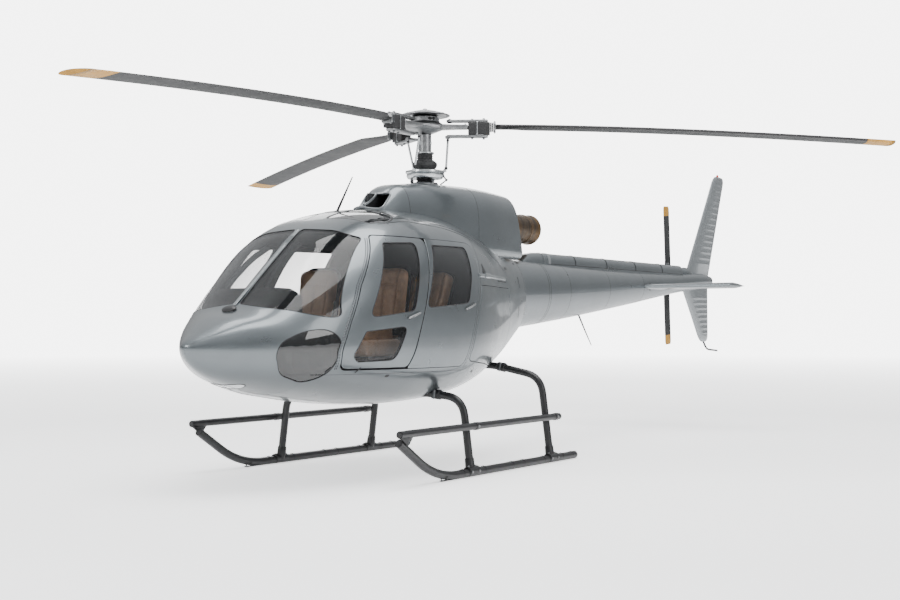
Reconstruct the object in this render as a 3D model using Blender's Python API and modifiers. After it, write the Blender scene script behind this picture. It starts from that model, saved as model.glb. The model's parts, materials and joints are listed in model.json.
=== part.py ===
"""Light single-engine helicopter on skids: three-blade main rotor, two-blade tail rotor.

Frame: metres, +X to port, -Y to the nose, +Z up, ground at z = 0.
Lengths along the fuselage are stations: the distance aft of the rotor mast, so the nose has
a negative station. The empty "airframe" puts the mast at MAST_Y and carries every piece.
"""
import math

import bmesh
import bpy
import numpy as np
from mathutils import Matrix, Vector

# Whole machine
MAST_Y = -1.645
NOSE_STATION = -3.24
HULL_END = 1.40
WALL = 0.035
PANE = 0.008
FIT = 0.0003
DOOR_GAP = 0.006

# Hull sections: station, half width, top, bottom, widest height, upper and lower roundness
HULL = (
    (-3.24, 0.000, 1.115, 1.115, 1.115, 2.00, 2.00),
    (-3.10, 0.185, 1.235, 0.940, 1.110, 2.50, 1.75),
    (-2.90, 0.375, 1.345, 0.850, 1.110, 2.50, 1.85),
    (-2.685, 0.56, 1.440, 0.790, 1.120, 2.55, 1.90),
    (-2.45, 0.695, 1.640, 0.730, 1.125, 2.60, 2.00),
    (-2.20, 0.790, 1.850, 0.690, 1.135, 2.70, 2.10),
    (-1.90, 0.865, 2.080, 0.650, 1.145, 2.90, 2.20),
    (-1.60, 0.905, 2.215, 0.620, 1.155, 2.90, 2.35),
    (-1.20, 0.930, 2.300, 0.600, 1.160, 2.70, 2.50),
    (-0.80, 0.925, 2.315, 0.605, 1.170, 2.60, 2.55),
    (-0.40, 0.885, 2.310, 0.630, 1.200, 2.60, 2.50),
    (0.00, 0.780, 2.270, 0.680, 1.260, 2.50, 2.40),
    (0.50, 0.590, 2.190, 0.780, 1.360, 2.40, 2.30),
    (1.00, 0.410, 2.090, 0.930, 1.480, 2.30, 2.20),
    (1.40, 0.310, 2.000, 1.140, 1.580, 2.20, 2.10),
)
HULL_RINGS = 21
HULL_AROUND = 24

# Cabin panels, as outlines seen from the side: station and height
SILL = 0.900
CHIN_LINE = -2.45
DOOR_FOOT = 0.930
DOOR_HEAD = 2.030
DOOR_FRONT = ((-1.75, DOOR_HEAD), (-2.06, 1.60), (-2.21, 1.30), (-2.29, 1.09), (-2.26, DOOR_FOOT))
POST_FOOT = -1.556
POST_LEAN = 0.40
REAR_FOOT = -0.735
REAR_LEAN = 0.455
HOOP = 0.060
FOOT_GAP = 0.009
BAGGAGE_FOOT = (0.975, 0.860)
BAGGAGE_HEAD = 1.65
BAGGAGE_AFT = 0.78
BAGGAGE_GAP = 0.0095

# The front door's hinge line starts here and leans forward to (0.800, -2.380, 0.930)
HINGE_TOP = (0.760, -1.830, 2.030)

# The baggage door's hinge line runs level between these points; its edges slant about a plane
BAGGAGE_HINGE = (0.885, -0.36, 1.700)
BAGGAGE_HINGE_AFT = (0.640, 0.74, 1.700)
BAGGAGE_PLANE = 0.75
BAGGAGE_DROP = 0.36

# How far out side cutters start and end
WELL = 0.30
FAR = 1.30
SIDE_REACH = ("side", WELL, FAR)

# Cabin inside: floor slab, bulkhead between two shifts of the rear line, console, seats
FLOOR_FRONT = -2.80
FLOOR_FOOT = 0.862
FLOOR_TOP = 0.898
BULKHEAD_SHIFTS = (0.006, 0.034)
CONSOLE = ((-2.50, 0.8985), (-2.08, 0.8985), (-2.08, 1.20), (-2.15, 1.56), (-2.38, 1.50), (-2.50, 1.20))
CONSOLE_HALF = 0.30
SEAT_X = 0.38
SEAT_HALF = 0.235
SEAT_FRONT = -1.75
SEAT_REAR = (-1.25, -1.15, -1.05)
BENCH_HALF = 0.62
BENCH_FRONT = -1.02
# Heights of a seat: its foot, the bend of its back's rear face, that face's top
SEAT_HEIGHTS = (0.8985, 1.20, 1.80)
CUSHION_TOP = 1.28
BACK_TOP = 1.84
BACK_THICKNESS = 0.12

# Cowling sections: station, half width, top, roundness
COWL = (
    (-1.02, 0.150, 2.34, 2.6),
    (-0.86, 0.180, 2.42, 2.8),
    (-0.72, 0.215, 2.53, 3.2),
    (-0.45, 0.290, 2.59, 3.4),
    (0.00, 0.380, 2.62, 3.6),
    (0.50, 0.410, 2.63, 3.8),
    (1.05, 0.370, 2.61, 4.0),
    (1.50, 0.320, 2.58, 4.0),
)
COWL_SKIN = 0.018
COWL_WAIST = 2.10
COWL_FOOT = 1.95
COWL_SQUARENESS = 6.0
COWL_FRONT_SEAM = -0.60
COWL_REAR_SEAM = 0.32
COWL_REAR_EDGE = ((1.30, 1.9), (1.08, 2.62))
COWL_HALF = 0.6
DECK = 1.9
INTAKE_MOUTH = ((-0.135, -1.10, 2.325), (0.135, -0.62, 2.475))
MAST_HOLE_RADIUS = 0.155

# Engine and gearbox blocks, exhaust pipe
ENGINE_FRONT = 0.36
ENGINE_REAR = 1.02
ENGINE_HALF = 0.20
ENGINE_TOP = 2.52
GEARBOX_TOP = 2.640
GEARBOX_RADIUS = 0.20
EXHAUST_Z = 2.310
EXHAUST_RADIUS = 0.150
EXHAUST_BORE = 0.136
EXHAUST_END = 2.00
EXHAUST_BAND = (1.81, 1.845)

# Boom sections: station, half width, top, bottom
BOOM = (
    (1.4003, 0.270, 1.985, 1.235),
    (2.60, 0.225, 1.965, 1.345),
    (4.35, 0.165, 1.955, 1.530),
    (6.00, 0.112, 1.975, 1.720),
    (6.90, 0.085, 1.985, 1.800),
    (7.10, 0.060, 1.965, 1.830),
)
BOOM_SKIN = 0.012
SPINE_HALF = 0.080
SPINE_TOP = 2.075
SPINE_FRONT = 1.72
SPINE_END = 6.02
SPINE_FOOT = 1.84
SPINE_WAIST = 1.95

# Fins between two level edges: leading station, trailing station, height
FIN_HALF = 0.032
FIN_UPPER = ((6.20, 7.03, 1.86), (7.30, 7.69, 3.38))
FIN_LOWER = ((6.10, 7.05, 1.86), (6.78, 7.06, 1.06))
FIN_ROUND = 0.10
# Ribs on a fin: how many, the first one's height and the last one's
UPPER_RIBS = (15, 2.13, 3.26)
LOWER_RIBS = (8, 1.66, 1.18)
RIB_WIDTH = 0.026
RIB_RISE = 0.005
BEACON_STATION = 7.44
BEACON_RADIUS = 0.018
TAILPLANE_STATION = 4.87
TAILPLANE_HALF_SPAN = 1.265
TAILPLANE_CHORD = 0.48
TAILPLANE_HALF = 0.036
TAILPLANE_Z = 1.765
TAIL_SKID = ((0.0, 6.86, 1.10), (0.0, 7.02, 0.955), (0.0, 7.40, 0.930))
TAIL_SKID_RADIUS = 0.013

# Main rotor: blades, and the head's turned profiles as radius and height
ROTOR_RADIUS = 4.40
BLADE_ROOT = 0.62
BLADE_HEIGHT = 3.172
BLADE_DROOP = 0.170
# The blade's collar and cuff as radius, chord and thickness; the plain blade starts where they end
BLADE_CUFF = ((0.62, 0.11, 0.080), (0.668, 0.11, 0.080), (0.675, 0.12, 0.050), (0.80, 0.20, 0.044))
BLADE_START = 1.00
BLADE_CHORD = 0.330
BLADE_THICKNESS = 0.040
BLADE_RINGS = 7
BLADE_ANGLES = (270.5, 30.5, 150.5)
MAST_PROFILE = (
    (0.0, 3.270), (0.052, 3.270), (0.052, 3.130), (0.060, 3.120), (0.060, 2.930), (0.086, 2.925), (0.086, 2.915),
    (0.075, 2.910), (0.078, 2.895), (0.072, 2.880), (0.078, 2.865), (0.076, 2.855), (0.110, 2.842), (0.117, 2.815),
    (0.112, 2.785), (0.095, 2.7745), (0.058, 2.7745), (0.058, 2.6405), (0.0, 2.6405))
MAST_BORE = 0.0523
STAR_RING = ((0.0, 3.265), (0.136, 3.265), (0.136, 3.217), (0.150, 3.217), (0.165, 3.177), (0.150, 3.137),
             (0.0, 3.137))
STAR_ARM = ((0.0, -0.085), (0.36, -0.050), (0.4097, -0.050), (0.4097, 0.050), (0.36, 0.050), (0.0, 0.085))
STAR_BED = (3.152, 3.192)
CAP_PROFILE = ((0.0, 3.352), (0.030, 3.352), (0.036, 3.340), (0.09, 3.328), (0.20, 3.298), (0.238, 3.284),
               (0.238, 3.2705), (0.0, 3.2705))
SLEEVE_REACH = (0.20, 0.60)
SLEEVE_HALF = 0.055
SLEEVE_PLATES = ((3.2155, 3.240), (3.070, 3.096))
SLEEVE_BLOCK = ((0.41, 3.09), (0.6197, 3.22))
SLEEVE_HORN = ((0.190, 0.048, 3.071), (0.240, 0.098, 3.095))
SLEEVE_BOLTS = (0.235, 0.45, 0.56)
BOLT_RADIUS = 0.017
BOLT_HEIGHT = 0.018
SWASHPLATE_FIXED = ((0.075, 2.722), (0.165, 2.722), (0.175, 2.700), (0.165, 2.680), (0.075, 2.680), (0.075, 2.722))
SWASHPLATE_TURNING = (
    (0.075, 2.760), (0.165, 2.760), (0.185, 2.742), (0.175, 2.7225), (0.075, 2.7225), (0.075, 2.760))
SERVO = ((0.125, 0.0, 2.69), (0.125, 0.0, 2.48))
SERVO_RADIUS = 0.014
SERVO_ANGLES = (100, 220, 340)
PITCH_LINK = ((0.170, 0.0, 2.745), (0.200, 0.02, 2.78), (0.213, 0.070, 3.02), (0.215, 0.075, 3.069))
PITCH_LINK_RADIUS = 0.011

# Tail rotor, on the starboard side, with its gearbox; radii and distances out from the boom
TAIL_HUB = (-0.250, 6.25, 1.96)
TAIL_RADIUS = 0.93
TAIL_CHORD = 0.185
TAIL_THICKNESS = 0.026
TAIL_TURN = 4.0
TAIL_GEARBOX_X = -0.045
TAIL_GEARBOX = ((0.0, 0.16), (0.055, 0.16), (0.085, 0.12), (0.095, 0.0), (0.0, 0.0))
TAIL_HUB_PROFILE = (
    (0.0, 0.06), (0.045, 0.06), (0.060, 0.045), (0.060, 0.0153), (0.030, 0.0153), (0.030, -0.0447), (0.0, -0.0447))

# Skid gear: routes as station and height, cross tubes as name, station, shoulder and knee
SKID_X = 1.060
SKID_RADIUS = 0.036
SKID_ROUTE = ((1.02, 0.036), (-1.42, 0.036), (-1.95, 0.360))
SKID_BEND = 0.32
STEP_RADIUS = 0.030
STEP_HEIGHT = 0.430
STEP_FRONT = -2.00
STEP_REAR = 0.63
BRACKET = ((-2.02, 0.425), (-1.80, 0.425), (-1.895, 0.34))
BRACKET_HALF = 0.010
TUBE_RADIUS = 0.034
TUBE_BEND = 0.16
CROSS_TUBES = (
    ("cross_tube_front", -0.86, (0.60, 0.700), (0.965, 0.660)),
    ("cross_tube_rear", 0.56, (0.42, 0.905), (0.945, 0.800)),
)
LEG_FOOT = (1.045, 0.045)

SIDES = (("left", 1.0), ("right", -1.0))


def start_empty_file():
    """Removes what the file holds, and makes the two collections."""
    for obj in list(bpy.data.objects):
        bpy.data.objects.remove(obj, do_unlink=True)
    made = []
    for name in ("helicopter", "cutters"):
        collection = bpy.data.collections.new(name)
        bpy.context.scene.collection.children.link(collection)
        made.append(collection)
    return made


PARTS, CUTTERS = start_empty_file()


# Materials

def paint(name, colour, roughness, metallic=0.0, alpha=1.0):
    """A Principled material with one colour."""
    material = bpy.data.materials.new(name)
    material.use_nodes = True
    shader = material.node_tree.nodes["Principled BSDF"]
    shader.inputs["Base Color"].default_value = (*colour, 1.0)
    shader.inputs["Roughness"].default_value = roughness
    shader.inputs["Metallic"].default_value = metallic
    shader.inputs["Alpha"].default_value = alpha
    return material


SILVER = paint("silver_paint", (0.24, 0.27, 0.28), 0.32, 0.85)
GLASS = paint("cabin_glass", (0.10, 0.11, 0.12), 0.05, 0.0, 0.35)
BLACK = paint("black_enamel", (0.018, 0.018, 0.02), 0.38)
BLADE = paint("blade_grey", (0.05, 0.052, 0.055), 0.45)
STEEL = paint("head_steel", (0.36, 0.37, 0.38), 0.35, 1.0)
BRONZE = paint("exhaust_bronze", (0.11, 0.075, 0.05), 0.42, 1.0)
LEATHER = paint("tan_leather", (0.18, 0.115, 0.075), 0.55)
TRIM = paint("cabin_trim", (0.035, 0.036, 0.04), 0.7)
RED = paint("red_lens", (0.55, 0.03, 0.01), 0.12)


# Making and placing objects

def anchor(name, place, parent=None):
    """An empty that carries pieces at a joint or a datum."""
    empty = bpy.data.objects.new(name, None)
    empty.location = place
    empty.parent = parent
    PARTS.objects.link(empty)
    return empty


AIRFRAME = anchor("airframe", (0.0, MAST_Y, 0.0))


def add(name, mesh, material, parent=None, cutter=False):
    """Links a mesh as a named piece, or as a wire cutter."""
    obj = bpy.data.objects.new(name, mesh)
    (CUTTERS if cutter else PARTS).objects.link(obj)
    obj.parent = parent or AIRFRAME
    if cutter:
        obj.hide_render = True
        obj.display_type = "WIRE"
    else:
        mesh.materials.clear()
        mesh.materials.append(material)
    return obj


def shade(mesh, angle=35.0):
    """Smooth shading with sharp edges kept."""
    mesh.shade_smooth()
    mesh.set_sharp_from_angle(angle=math.radians(angle))
    return mesh


def mesh_from(build, name, angle=35.0):
    """A mesh that the function build fills in a bmesh."""
    bm = bmesh.new()
    build(bm)
    bmesh.ops.recalc_face_normals(bm, faces=bm.faces)
    mesh = bpy.data.meshes.new(name)
    bm.to_mesh(mesh)
    bm.free()
    return shade(mesh, angle)


def settled(obj):
    """The object's evaluated mesh, with its modifiers in it; the object is removed."""
    bpy.context.view_layer.update()
    graph = bpy.context.evaluated_depsgraph_get()
    mesh = bpy.data.meshes.new_from_object(obj.evaluated_get(graph), depsgraph=graph)
    mesh.name = obj.name
    bpy.data.objects.remove(obj, do_unlink=True)
    return mesh


def cut(obj, cutter, operation="DIFFERENCE"):
    """An exact Boolean with a cutter object."""
    modifier = obj.modifiers.new(operation.lower(), "BOOLEAN")
    modifier.operation = operation
    modifier.solver = "EXACT"
    modifier.object = cutter
    return obj


def mirror_image(mesh):
    """A copy of the mesh on the other side of the machine."""
    other = mesh.copy()
    other.transform(Matrix.Scale(-1.0, 4, (1.0, 0.0, 0.0)))
    other.flip_normals()
    return other


def both_sides(name, mesh, material, holders=None):
    """The piece to port and its mirror image to starboard."""
    images = {"left": mesh, "right": mirror_image(mesh)}
    for side, image in images.items():
        piece = add(f"{name}_{side}", image, material)
        if holders:
            carry(piece, holders[side])


def carry(piece, empty):
    """Hangs a piece on an empty without moving it."""
    piece.data.transform(Matrix.Translation(-empty.location))
    piece.parent = empty


def symmetric(obj):
    """Keeps the port half of a piece and mirrors it."""
    modifier = obj.modifiers.new("mirror", "MIRROR")
    modifier.use_axis = (True, False, False)
    modifier.use_bisect_axis = (True, False, False)
    modifier.use_mirror_merge = True
    modifier.merge_threshold = 0.0001
    return obj


def joined(name, first, others):
    """One mesh from solids that overlap."""
    body = add(name, first, STEEL, cutter=True)
    for index, mesh in enumerate(others):
        cut(body, add(f"{name}_with_{index}", mesh, STEEL, cutter=True), "UNION")
    return shade(settled(body))


# Outlines and plates

def rounded(points, radius, steps=4):
    """The outline with each corner turned into an arc."""
    count = len(points)
    radii = radius if isinstance(radius, (tuple, list)) else [radius] * count
    outline = []
    for index, corner in enumerate(points):
        here = Vector(corner)
        back = Vector(points[index - 1]) - here
        ahead = Vector(points[(index + 1) % count]) - here
        half = back.angle(ahead) / 2.0
        reach = min(radii[index] / math.tan(half), 0.49 * back.length, 0.49 * ahead.length)
        if reach < 0.002:
            outline.append(tuple(here))
            continue
        start = here + back.normalized() * reach
        end = here + ahead.normalized() * reach
        for step in range(steps + 1):
            t = step / steps
            point = start * (1 - t) ** 2 + here * (2 * t * (1 - t)) + end * t ** 2
            outline.append(tuple(point))
    return outline


def inset(points, amount):
    """The outline moved inwards by an amount, or outwards where it is negative."""
    area = sum(a[0] * b[1] - b[0] * a[1] for a, b in zip(points, points[1:] + points[:1]))
    turn = 1.0 if area > 0 else -1.0
    moved = []
    for index, point in enumerate(points):
        here = Vector(point)
        back = (here - Vector(points[index - 1])).normalized()
        ahead = (Vector(points[(index + 1) % len(points)]) - here).normalized()
        normal = Vector((-back.y - ahead.y, back.x + ahead.x)).normalized() * turn
        lean = max(normal.dot(Vector((-back.y, back.x)) * turn), 0.5)
        moved.append(tuple(here + normal * (amount / lean)))
    return moved


VIEWS = {
    "side": Matrix(((0, 0, 1, 0), (1, 0, 0, 0), (0, 1, 0, 0), (0, 0, 0, 1))),
    "front": Matrix(((1, 0, 0, 0), (0, 0, -1, 0), (0, 1, 0, 0), (0, 0, 0, 1))),
    "top": Matrix.Identity(4),
}


def outward(mesh):
    """The mesh with its doubles merged and its faces pointing out."""
    bm = bmesh.new()
    bm.from_mesh(mesh)
    bmesh.ops.remove_doubles(bm, verts=bm.verts, dist=0.00005)
    bmesh.ops.recalc_face_normals(bm, faces=bm.faces)
    bm.to_mesh(mesh)
    bm.free()
    return mesh


def plate_mesh(name, outline, view, low, high):
    """A flat outline, seen from the side, front or top, filled between two depths."""
    curve = bpy.data.curves.new(name, "CURVE")
    curve.dimensions = "2D"
    curve.fill_mode = "BOTH"
    curve.extrude = (high - low) / 2.0
    spline = curve.splines.new("POLY")
    spline.points.add(len(outline) - 1)
    for point, (across, up) in zip(spline.points, outline):
        point.co = (across, up, 0.0, 1.0)
    spline.use_cyclic_u = True
    holder = bpy.data.objects.new(name, curve)
    CUTTERS.objects.link(holder)
    mesh = settled(holder)
    bpy.data.curves.remove(curve)
    middle = (low + high) / 2.0
    if view == "front":
        middle = -middle
    mesh.transform(VIEWS[view] @ Matrix.Translation((0.0, 0.0, middle)))
    return shade(outward(mesh))


def plate_cutter(name, outline, view, low, high, parent=None):
    """A plate kept as a cutter."""
    return add(name, plate_mesh(name, outline, view, low, high), BLACK, parent, cutter=True)


def box_mesh(name, low, high, bevel=0.0):
    """A box between two corners, with its edges rounded."""
    def build(bm):
        bmesh.ops.create_cube(bm, size=1.0)
        size = [b - a for a, b in zip(low, high)]
        bmesh.ops.scale(bm, vec=size, verts=bm.verts)
        bmesh.ops.translate(bm, vec=[(a + b) / 2 for a, b in zip(low, high)], verts=bm.verts)
        if bevel:
            bmesh.ops.bevel(bm, geom=list(bm.edges), offset=bevel, segments=2, profile=0.5, affect="EDGES")
    return mesh_from(build, name)


def turned_mesh(name, profile, centre=(0.0, 0.0, 0.0), axis="Z", steps=20):
    """A turned solid from a profile of radius and height, top to bottom on its outer side."""
    mesh = bpy.data.meshes.new(name)
    closed = profile[0] == profile[-1]
    points = [(radius, 0.0, height) for radius, height in (profile[:-1] if closed else profile)]
    edges = [(i, i + 1) for i in range(len(points) - 1)]
    if closed:
        edges.append((len(points) - 1, 0))
    mesh.from_pydata(points, edges, [])
    holder = bpy.data.objects.new(name, mesh)
    CUTTERS.objects.link(holder)
    screw = holder.modifiers.new("screw", "SCREW")
    screw.steps = steps
    screw.render_steps = steps
    screw.use_merge_vertices = True
    screw.merge_threshold = 0.0001
    mesh = outward(settled(holder))
    if axis == "X":
        mesh.transform(Matrix.Rotation(math.pi / 2.0, 4, "Y"))
    if axis == "Y":
        mesh.transform(Matrix.Rotation(-math.pi / 2.0, 4, "X"))
    mesh.transform(Matrix.Translation(centre))
    return shade(mesh)


def tube_mesh(name, points, radius, resolution=2):
    """A tube with filled ends along a run of points."""
    curve = bpy.data.curves.new(name, "CURVE")
    curve.dimensions = "3D"
    curve.bevel_depth = radius
    curve.bevel_resolution = resolution
    curve.use_fill_caps = True
    spline = curve.splines.new("POLY")
    spline.points.add(len(points) - 1)
    for target, point in zip(spline.points, points):
        target.co = (*point, 1.0)
    holder = bpy.data.objects.new(name, curve)
    CUTTERS.objects.link(holder)
    mesh = outward(settled(holder))
    bpy.data.curves.remove(curve)
    return shade(mesh, 50.0)


def bent(points, radius, steps=5):
    """The route with its inner corners rounded."""
    route = [Vector(points[0])]
    for back, here, ahead in zip(points, points[1:], points[2:]):
        here = Vector(here)
        start = here + (Vector(back) - here).normalized() * radius
        end = here + (Vector(ahead) - here).normalized() * radius
        for step in range(steps + 1):
            t = step / steps
            route.append(start * (1 - t) ** 2 + here * (2 * t * (1 - t)) + end * t ** 2)
    route.append(Vector(points[-1]))
    return [tuple(point) for point in route]


def loft_mesh(name, rings, angle=40.0):
    """A closed body through rings with the same number of points; a ring may be one point.

    Each patch is split along the same diagonal, mirrored on the other side, so that a skin and
    the neighbour that is cut by a slightly larger copy of it never cross.
    """
    def build(bm):
        rows = [[bm.verts.new(point) for point in ring] for ring in rings]
        for low, high in zip(rows, rows[1:]):
            count = max(len(low), len(high))
            for index in range(count):
                after = (index + 1) % count
                if len(low) == 1:
                    bm.faces.new((low[0], high[index], high[after]))
                elif len(high) == 1:
                    bm.faces.new((low[index], low[after], high[0]))
                else:
                    corners = [low[index], low[after], high[after], high[index]]
                    if sum(vert.co.x for vert in corners) < 0.0:
                        corners = corners[1:] + corners[:1]
                    bm.faces.new(corners[:3])
                    bm.faces.new((corners[2], corners[3], corners[0]))
        for row in (rows[0], rows[-1]):
            if len(row) > 2:
                bm.faces.new(row)
    return mesh_from(build, name, angle)


# Hull

def smooth(xs, ys, x):
    """A cubic through points, with each slope taken from the neighbours."""
    step = np.diff(xs)
    slope = np.diff(ys) / step
    inner = (slope[:-1] * step[1:] + slope[1:] * step[:-1]) / (step[1:] + step[:-1])
    tangent = np.concatenate([[slope[0]], inner, [slope[-1]]])
    i = int(np.clip(np.searchsorted(xs, x, side="right") - 1, 0, len(xs) - 2))
    t = (x - xs[i]) / step[i]
    return float((2 * t ** 3 - 3 * t ** 2 + 1) * ys[i] + (t ** 3 - 2 * t ** 2 + t) * step[i] * tangent[i]
                 + (3 * t ** 2 - 2 * t ** 3) * ys[i + 1] + (t ** 3 - t ** 2) * step[i] * tangent[i + 1])


HULL_TABLE = np.array(HULL)
HULL_REACH = np.sqrt(HULL_TABLE[:, 0] - NOSE_STATION)
HULL_STATIONS = NOSE_STATION + np.linspace(0.0, HULL_REACH[-1], HULL_RINGS) ** 2


def hull_section(station):
    """Half width, top, bottom, widest height and two roundnesses at a station."""
    reach = math.sqrt(max(station - NOSE_STATION, 0.0))
    return [smooth(HULL_REACH, HULL_TABLE[:, column], reach) for column in range(1, 7)]


def oval(half_width, top, bottom, waist, upper, lower, station, count):
    """A ring of points on a superellipse with unlike halves."""
    ring = []
    for index in range(count):
        angle = 2.0 * math.pi * index / count
        across, up = math.cos(angle), math.sin(angle)
        power = upper if up > 0 else lower
        height = top - waist if up > 0 else waist - bottom
        x = half_width * math.copysign(abs(across) ** (2.0 / power), across)
        z = waist + height * math.copysign(abs(up) ** (2.0 / power), up)
        ring.append((x, station, z))
    return ring


def hull_mesh(name, depth):
    """The hull's closed form, a depth inside its outer skin."""
    first = NOSE_STATION + max(depth, 0.0)
    last = HULL_END - depth
    between = [station for station in HULL_STATIONS[1:-1] if first + 0.005 < station < last - 0.005]
    rings = []
    for station in [first] + between + [last]:
        if station == NOSE_STATION:
            rings.append([(0.0, station, hull_section(station)[1])])
            continue
        width, top, bottom, waist, upper, lower = hull_section(station)
        slope = depth
        if station < CHIN_LINE:
            slope = depth * (1.0 + 0.9 * (CHIN_LINE - station))
        narrow = max(width - slope, 0.01)
        high = max(top - slope, waist + 0.01)
        low = min(bottom + slope, waist - 0.01)
        rings.append(oval(narrow, high, low, waist, upper, lower, station, HULL_AROUND))
    return loft_mesh(name, rings)


def shell_mesh(name, outer_depth, inner_depth):
    """A skin between two depths inside the hull's surface."""
    outer = add(name, hull_mesh(name, outer_depth), SILVER, cutter=True)
    cut(outer, add(name + "_inside", hull_mesh(name + "_inside", inner_depth), SILVER, cutter=True))
    return settled(outer)


WALL_SHELL = shell_mesh("wall_shell", 0.0, WALL)
PANE_SHELL = shell_mesh("pane_shell", 0.004, 0.004 + PANE)
JAMB_SHELL = shell_mesh("jamb_shell", 0.020, 0.075)
SEAT_SHELL = shell_mesh("seat_shell", 0.0, WALL + FIT)


def hull_piece(name, shell, region, material, parent=None):
    """The part of a shell inside a cutter."""
    return cut(add(name, shell.copy(), material, parent), region, "INTERSECT")


def rear_line(height, shift=0.0):
    """Station of the leaning line behind the rear door."""
    return REAR_FOOT + shift + (height - DOOR_FOOT) * REAR_LEAN


def post_line(height, shift=0.0):
    """Station of the leaning line between the front and the rear door."""
    return POST_FOOT + shift + (height - DOOR_FOOT) * POST_LEAN


FRONT_FOOT = DOOR_FOOT + FOOT_GAP
FRONT_DOOR = rounded(
    list(DOOR_FRONT[:-1]) + [(DOOR_FRONT[-1][0], FRONT_FOOT), (post_line(DOOR_FOOT), FRONT_FOOT),
                             (post_line(DOOR_HEAD), DOOR_HEAD)],
    (0.07, 0.25, 0.25, 0.15, 0.09, 0.06, 0.06))
DOORWAY = rounded(
    list(DOOR_FRONT) + [(rear_line(DOOR_FOOT), DOOR_FOOT), (rear_line(DOOR_HEAD), DOOR_HEAD)],
    (0.07, 0.25, 0.25, 0.15, 0.09, 0.10, 0.12))
REAR_DOOR = rounded(
    [(post_line(DOOR_HEAD), DOOR_HEAD), (post_line(DOOR_FOOT), DOOR_FOOT),
     (rear_line(DOOR_FOOT), DOOR_FOOT), (rear_line(DOOR_HEAD), DOOR_HEAD)],
    (0.02, 0.02, 0.10, 0.12))
FRONT_UPPER = rounded(
    [(-1.69, 1.965), (-2.03, 1.345), (-1.50, 1.405), (-1.345, 1.80), (-1.285, 1.985)],
    (0.05, 0.05, 0.08, 0.5, 0.05))
FRONT_LOWER = rounded(
    [(-2.065, 1.240), (-2.185, 1.05), (-2.125, 0.995), (-1.74, 1.005), (-1.585, 1.285)],
    (0.03, 0.10, 0.06, 0.10, 0.05))
REAR_PANE = rounded(
    [(-1.055, 1.975), (-1.345, 1.430), (-0.655, 1.480), (-0.515, 1.745), (-0.46, 1.985)],
    (0.05, 0.05, 0.10, 0.5, 0.05))
BAGGAGE_DOOR = rounded(
    [(rear_line(BAGGAGE_HEAD, HOOP), BAGGAGE_HEAD), (rear_line(BAGGAGE_FOOT[0], HOOP), BAGGAGE_FOOT[0]),
     (BAGGAGE_AFT, BAGGAGE_FOOT[1]), (BAGGAGE_AFT, BAGGAGE_HEAD)], 0.05)
CHIN_PANE = rounded(
    [(-2.77, 1.06), (-2.68, 0.91), (-2.44, 0.83), (-2.325, 0.90), (-2.285, 1.18), (-2.40, 1.262),
     (-2.58, 1.250), (-2.74, 1.16)], (0.5, 0.5, 0.5, 0.5, 0.12, 0.5, 0.5, 0.5), 3)
WINDSHIELD = rounded([(0.030, 1.455), (0.50, 1.400), (0.755, 1.335), (0.605, 2.000), (0.36, 2.070), (0.030, 2.092)],
                     (0.03, 0.4, 0.04, 0.06, 0.4, 0.03), 3)
ROOF_PANE = rounded([(0.10, -1.68), (0.10, -1.25), (0.50, -1.22), (0.57, -1.38), (0.53, -1.62)],
                    (0.06, 0.06, 0.12, 0.2, 0.08), 3)


def window(name, outline, view, low, high, holders):
    """Cuts a pane's hole in what holds it, and gives the pane's mesh."""
    hole = plate_cutter(name + "_hole", outline, view, low, high)
    for holder in holders:
        cut(holder, hole)
    seat = plate_cutter(name + "_seat", inset(outline, FIT), view, low, high)
    return settled(hull_piece(name, PANE_SHELL, seat, GLASS))


def jamb(name, line, shifts, heights, opening):
    """A leaning post inside the skin, with a seat where the doors' inner faces rest on it."""
    ahead, aft = shifts
    low, high = heights
    strip = [(line(low, ahead), low), (line(low, aft), low), (line(high, aft), high), (line(high, ahead), high)]
    post = add(name, JAMB_SHELL.copy(), SILVER, cutter=True)
    cut(post, plate_cutter(name + "_strip", strip, *SIDE_REACH), "INTERSECT")
    seat = add(name + "_seat", SEAT_SHELL.copy(), SILVER, cutter=True)
    cut(seat, plate_cutter(name + "_seat_region", opening, *SIDE_REACH), "INTERSECT")
    return cut(post, seat)


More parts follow.
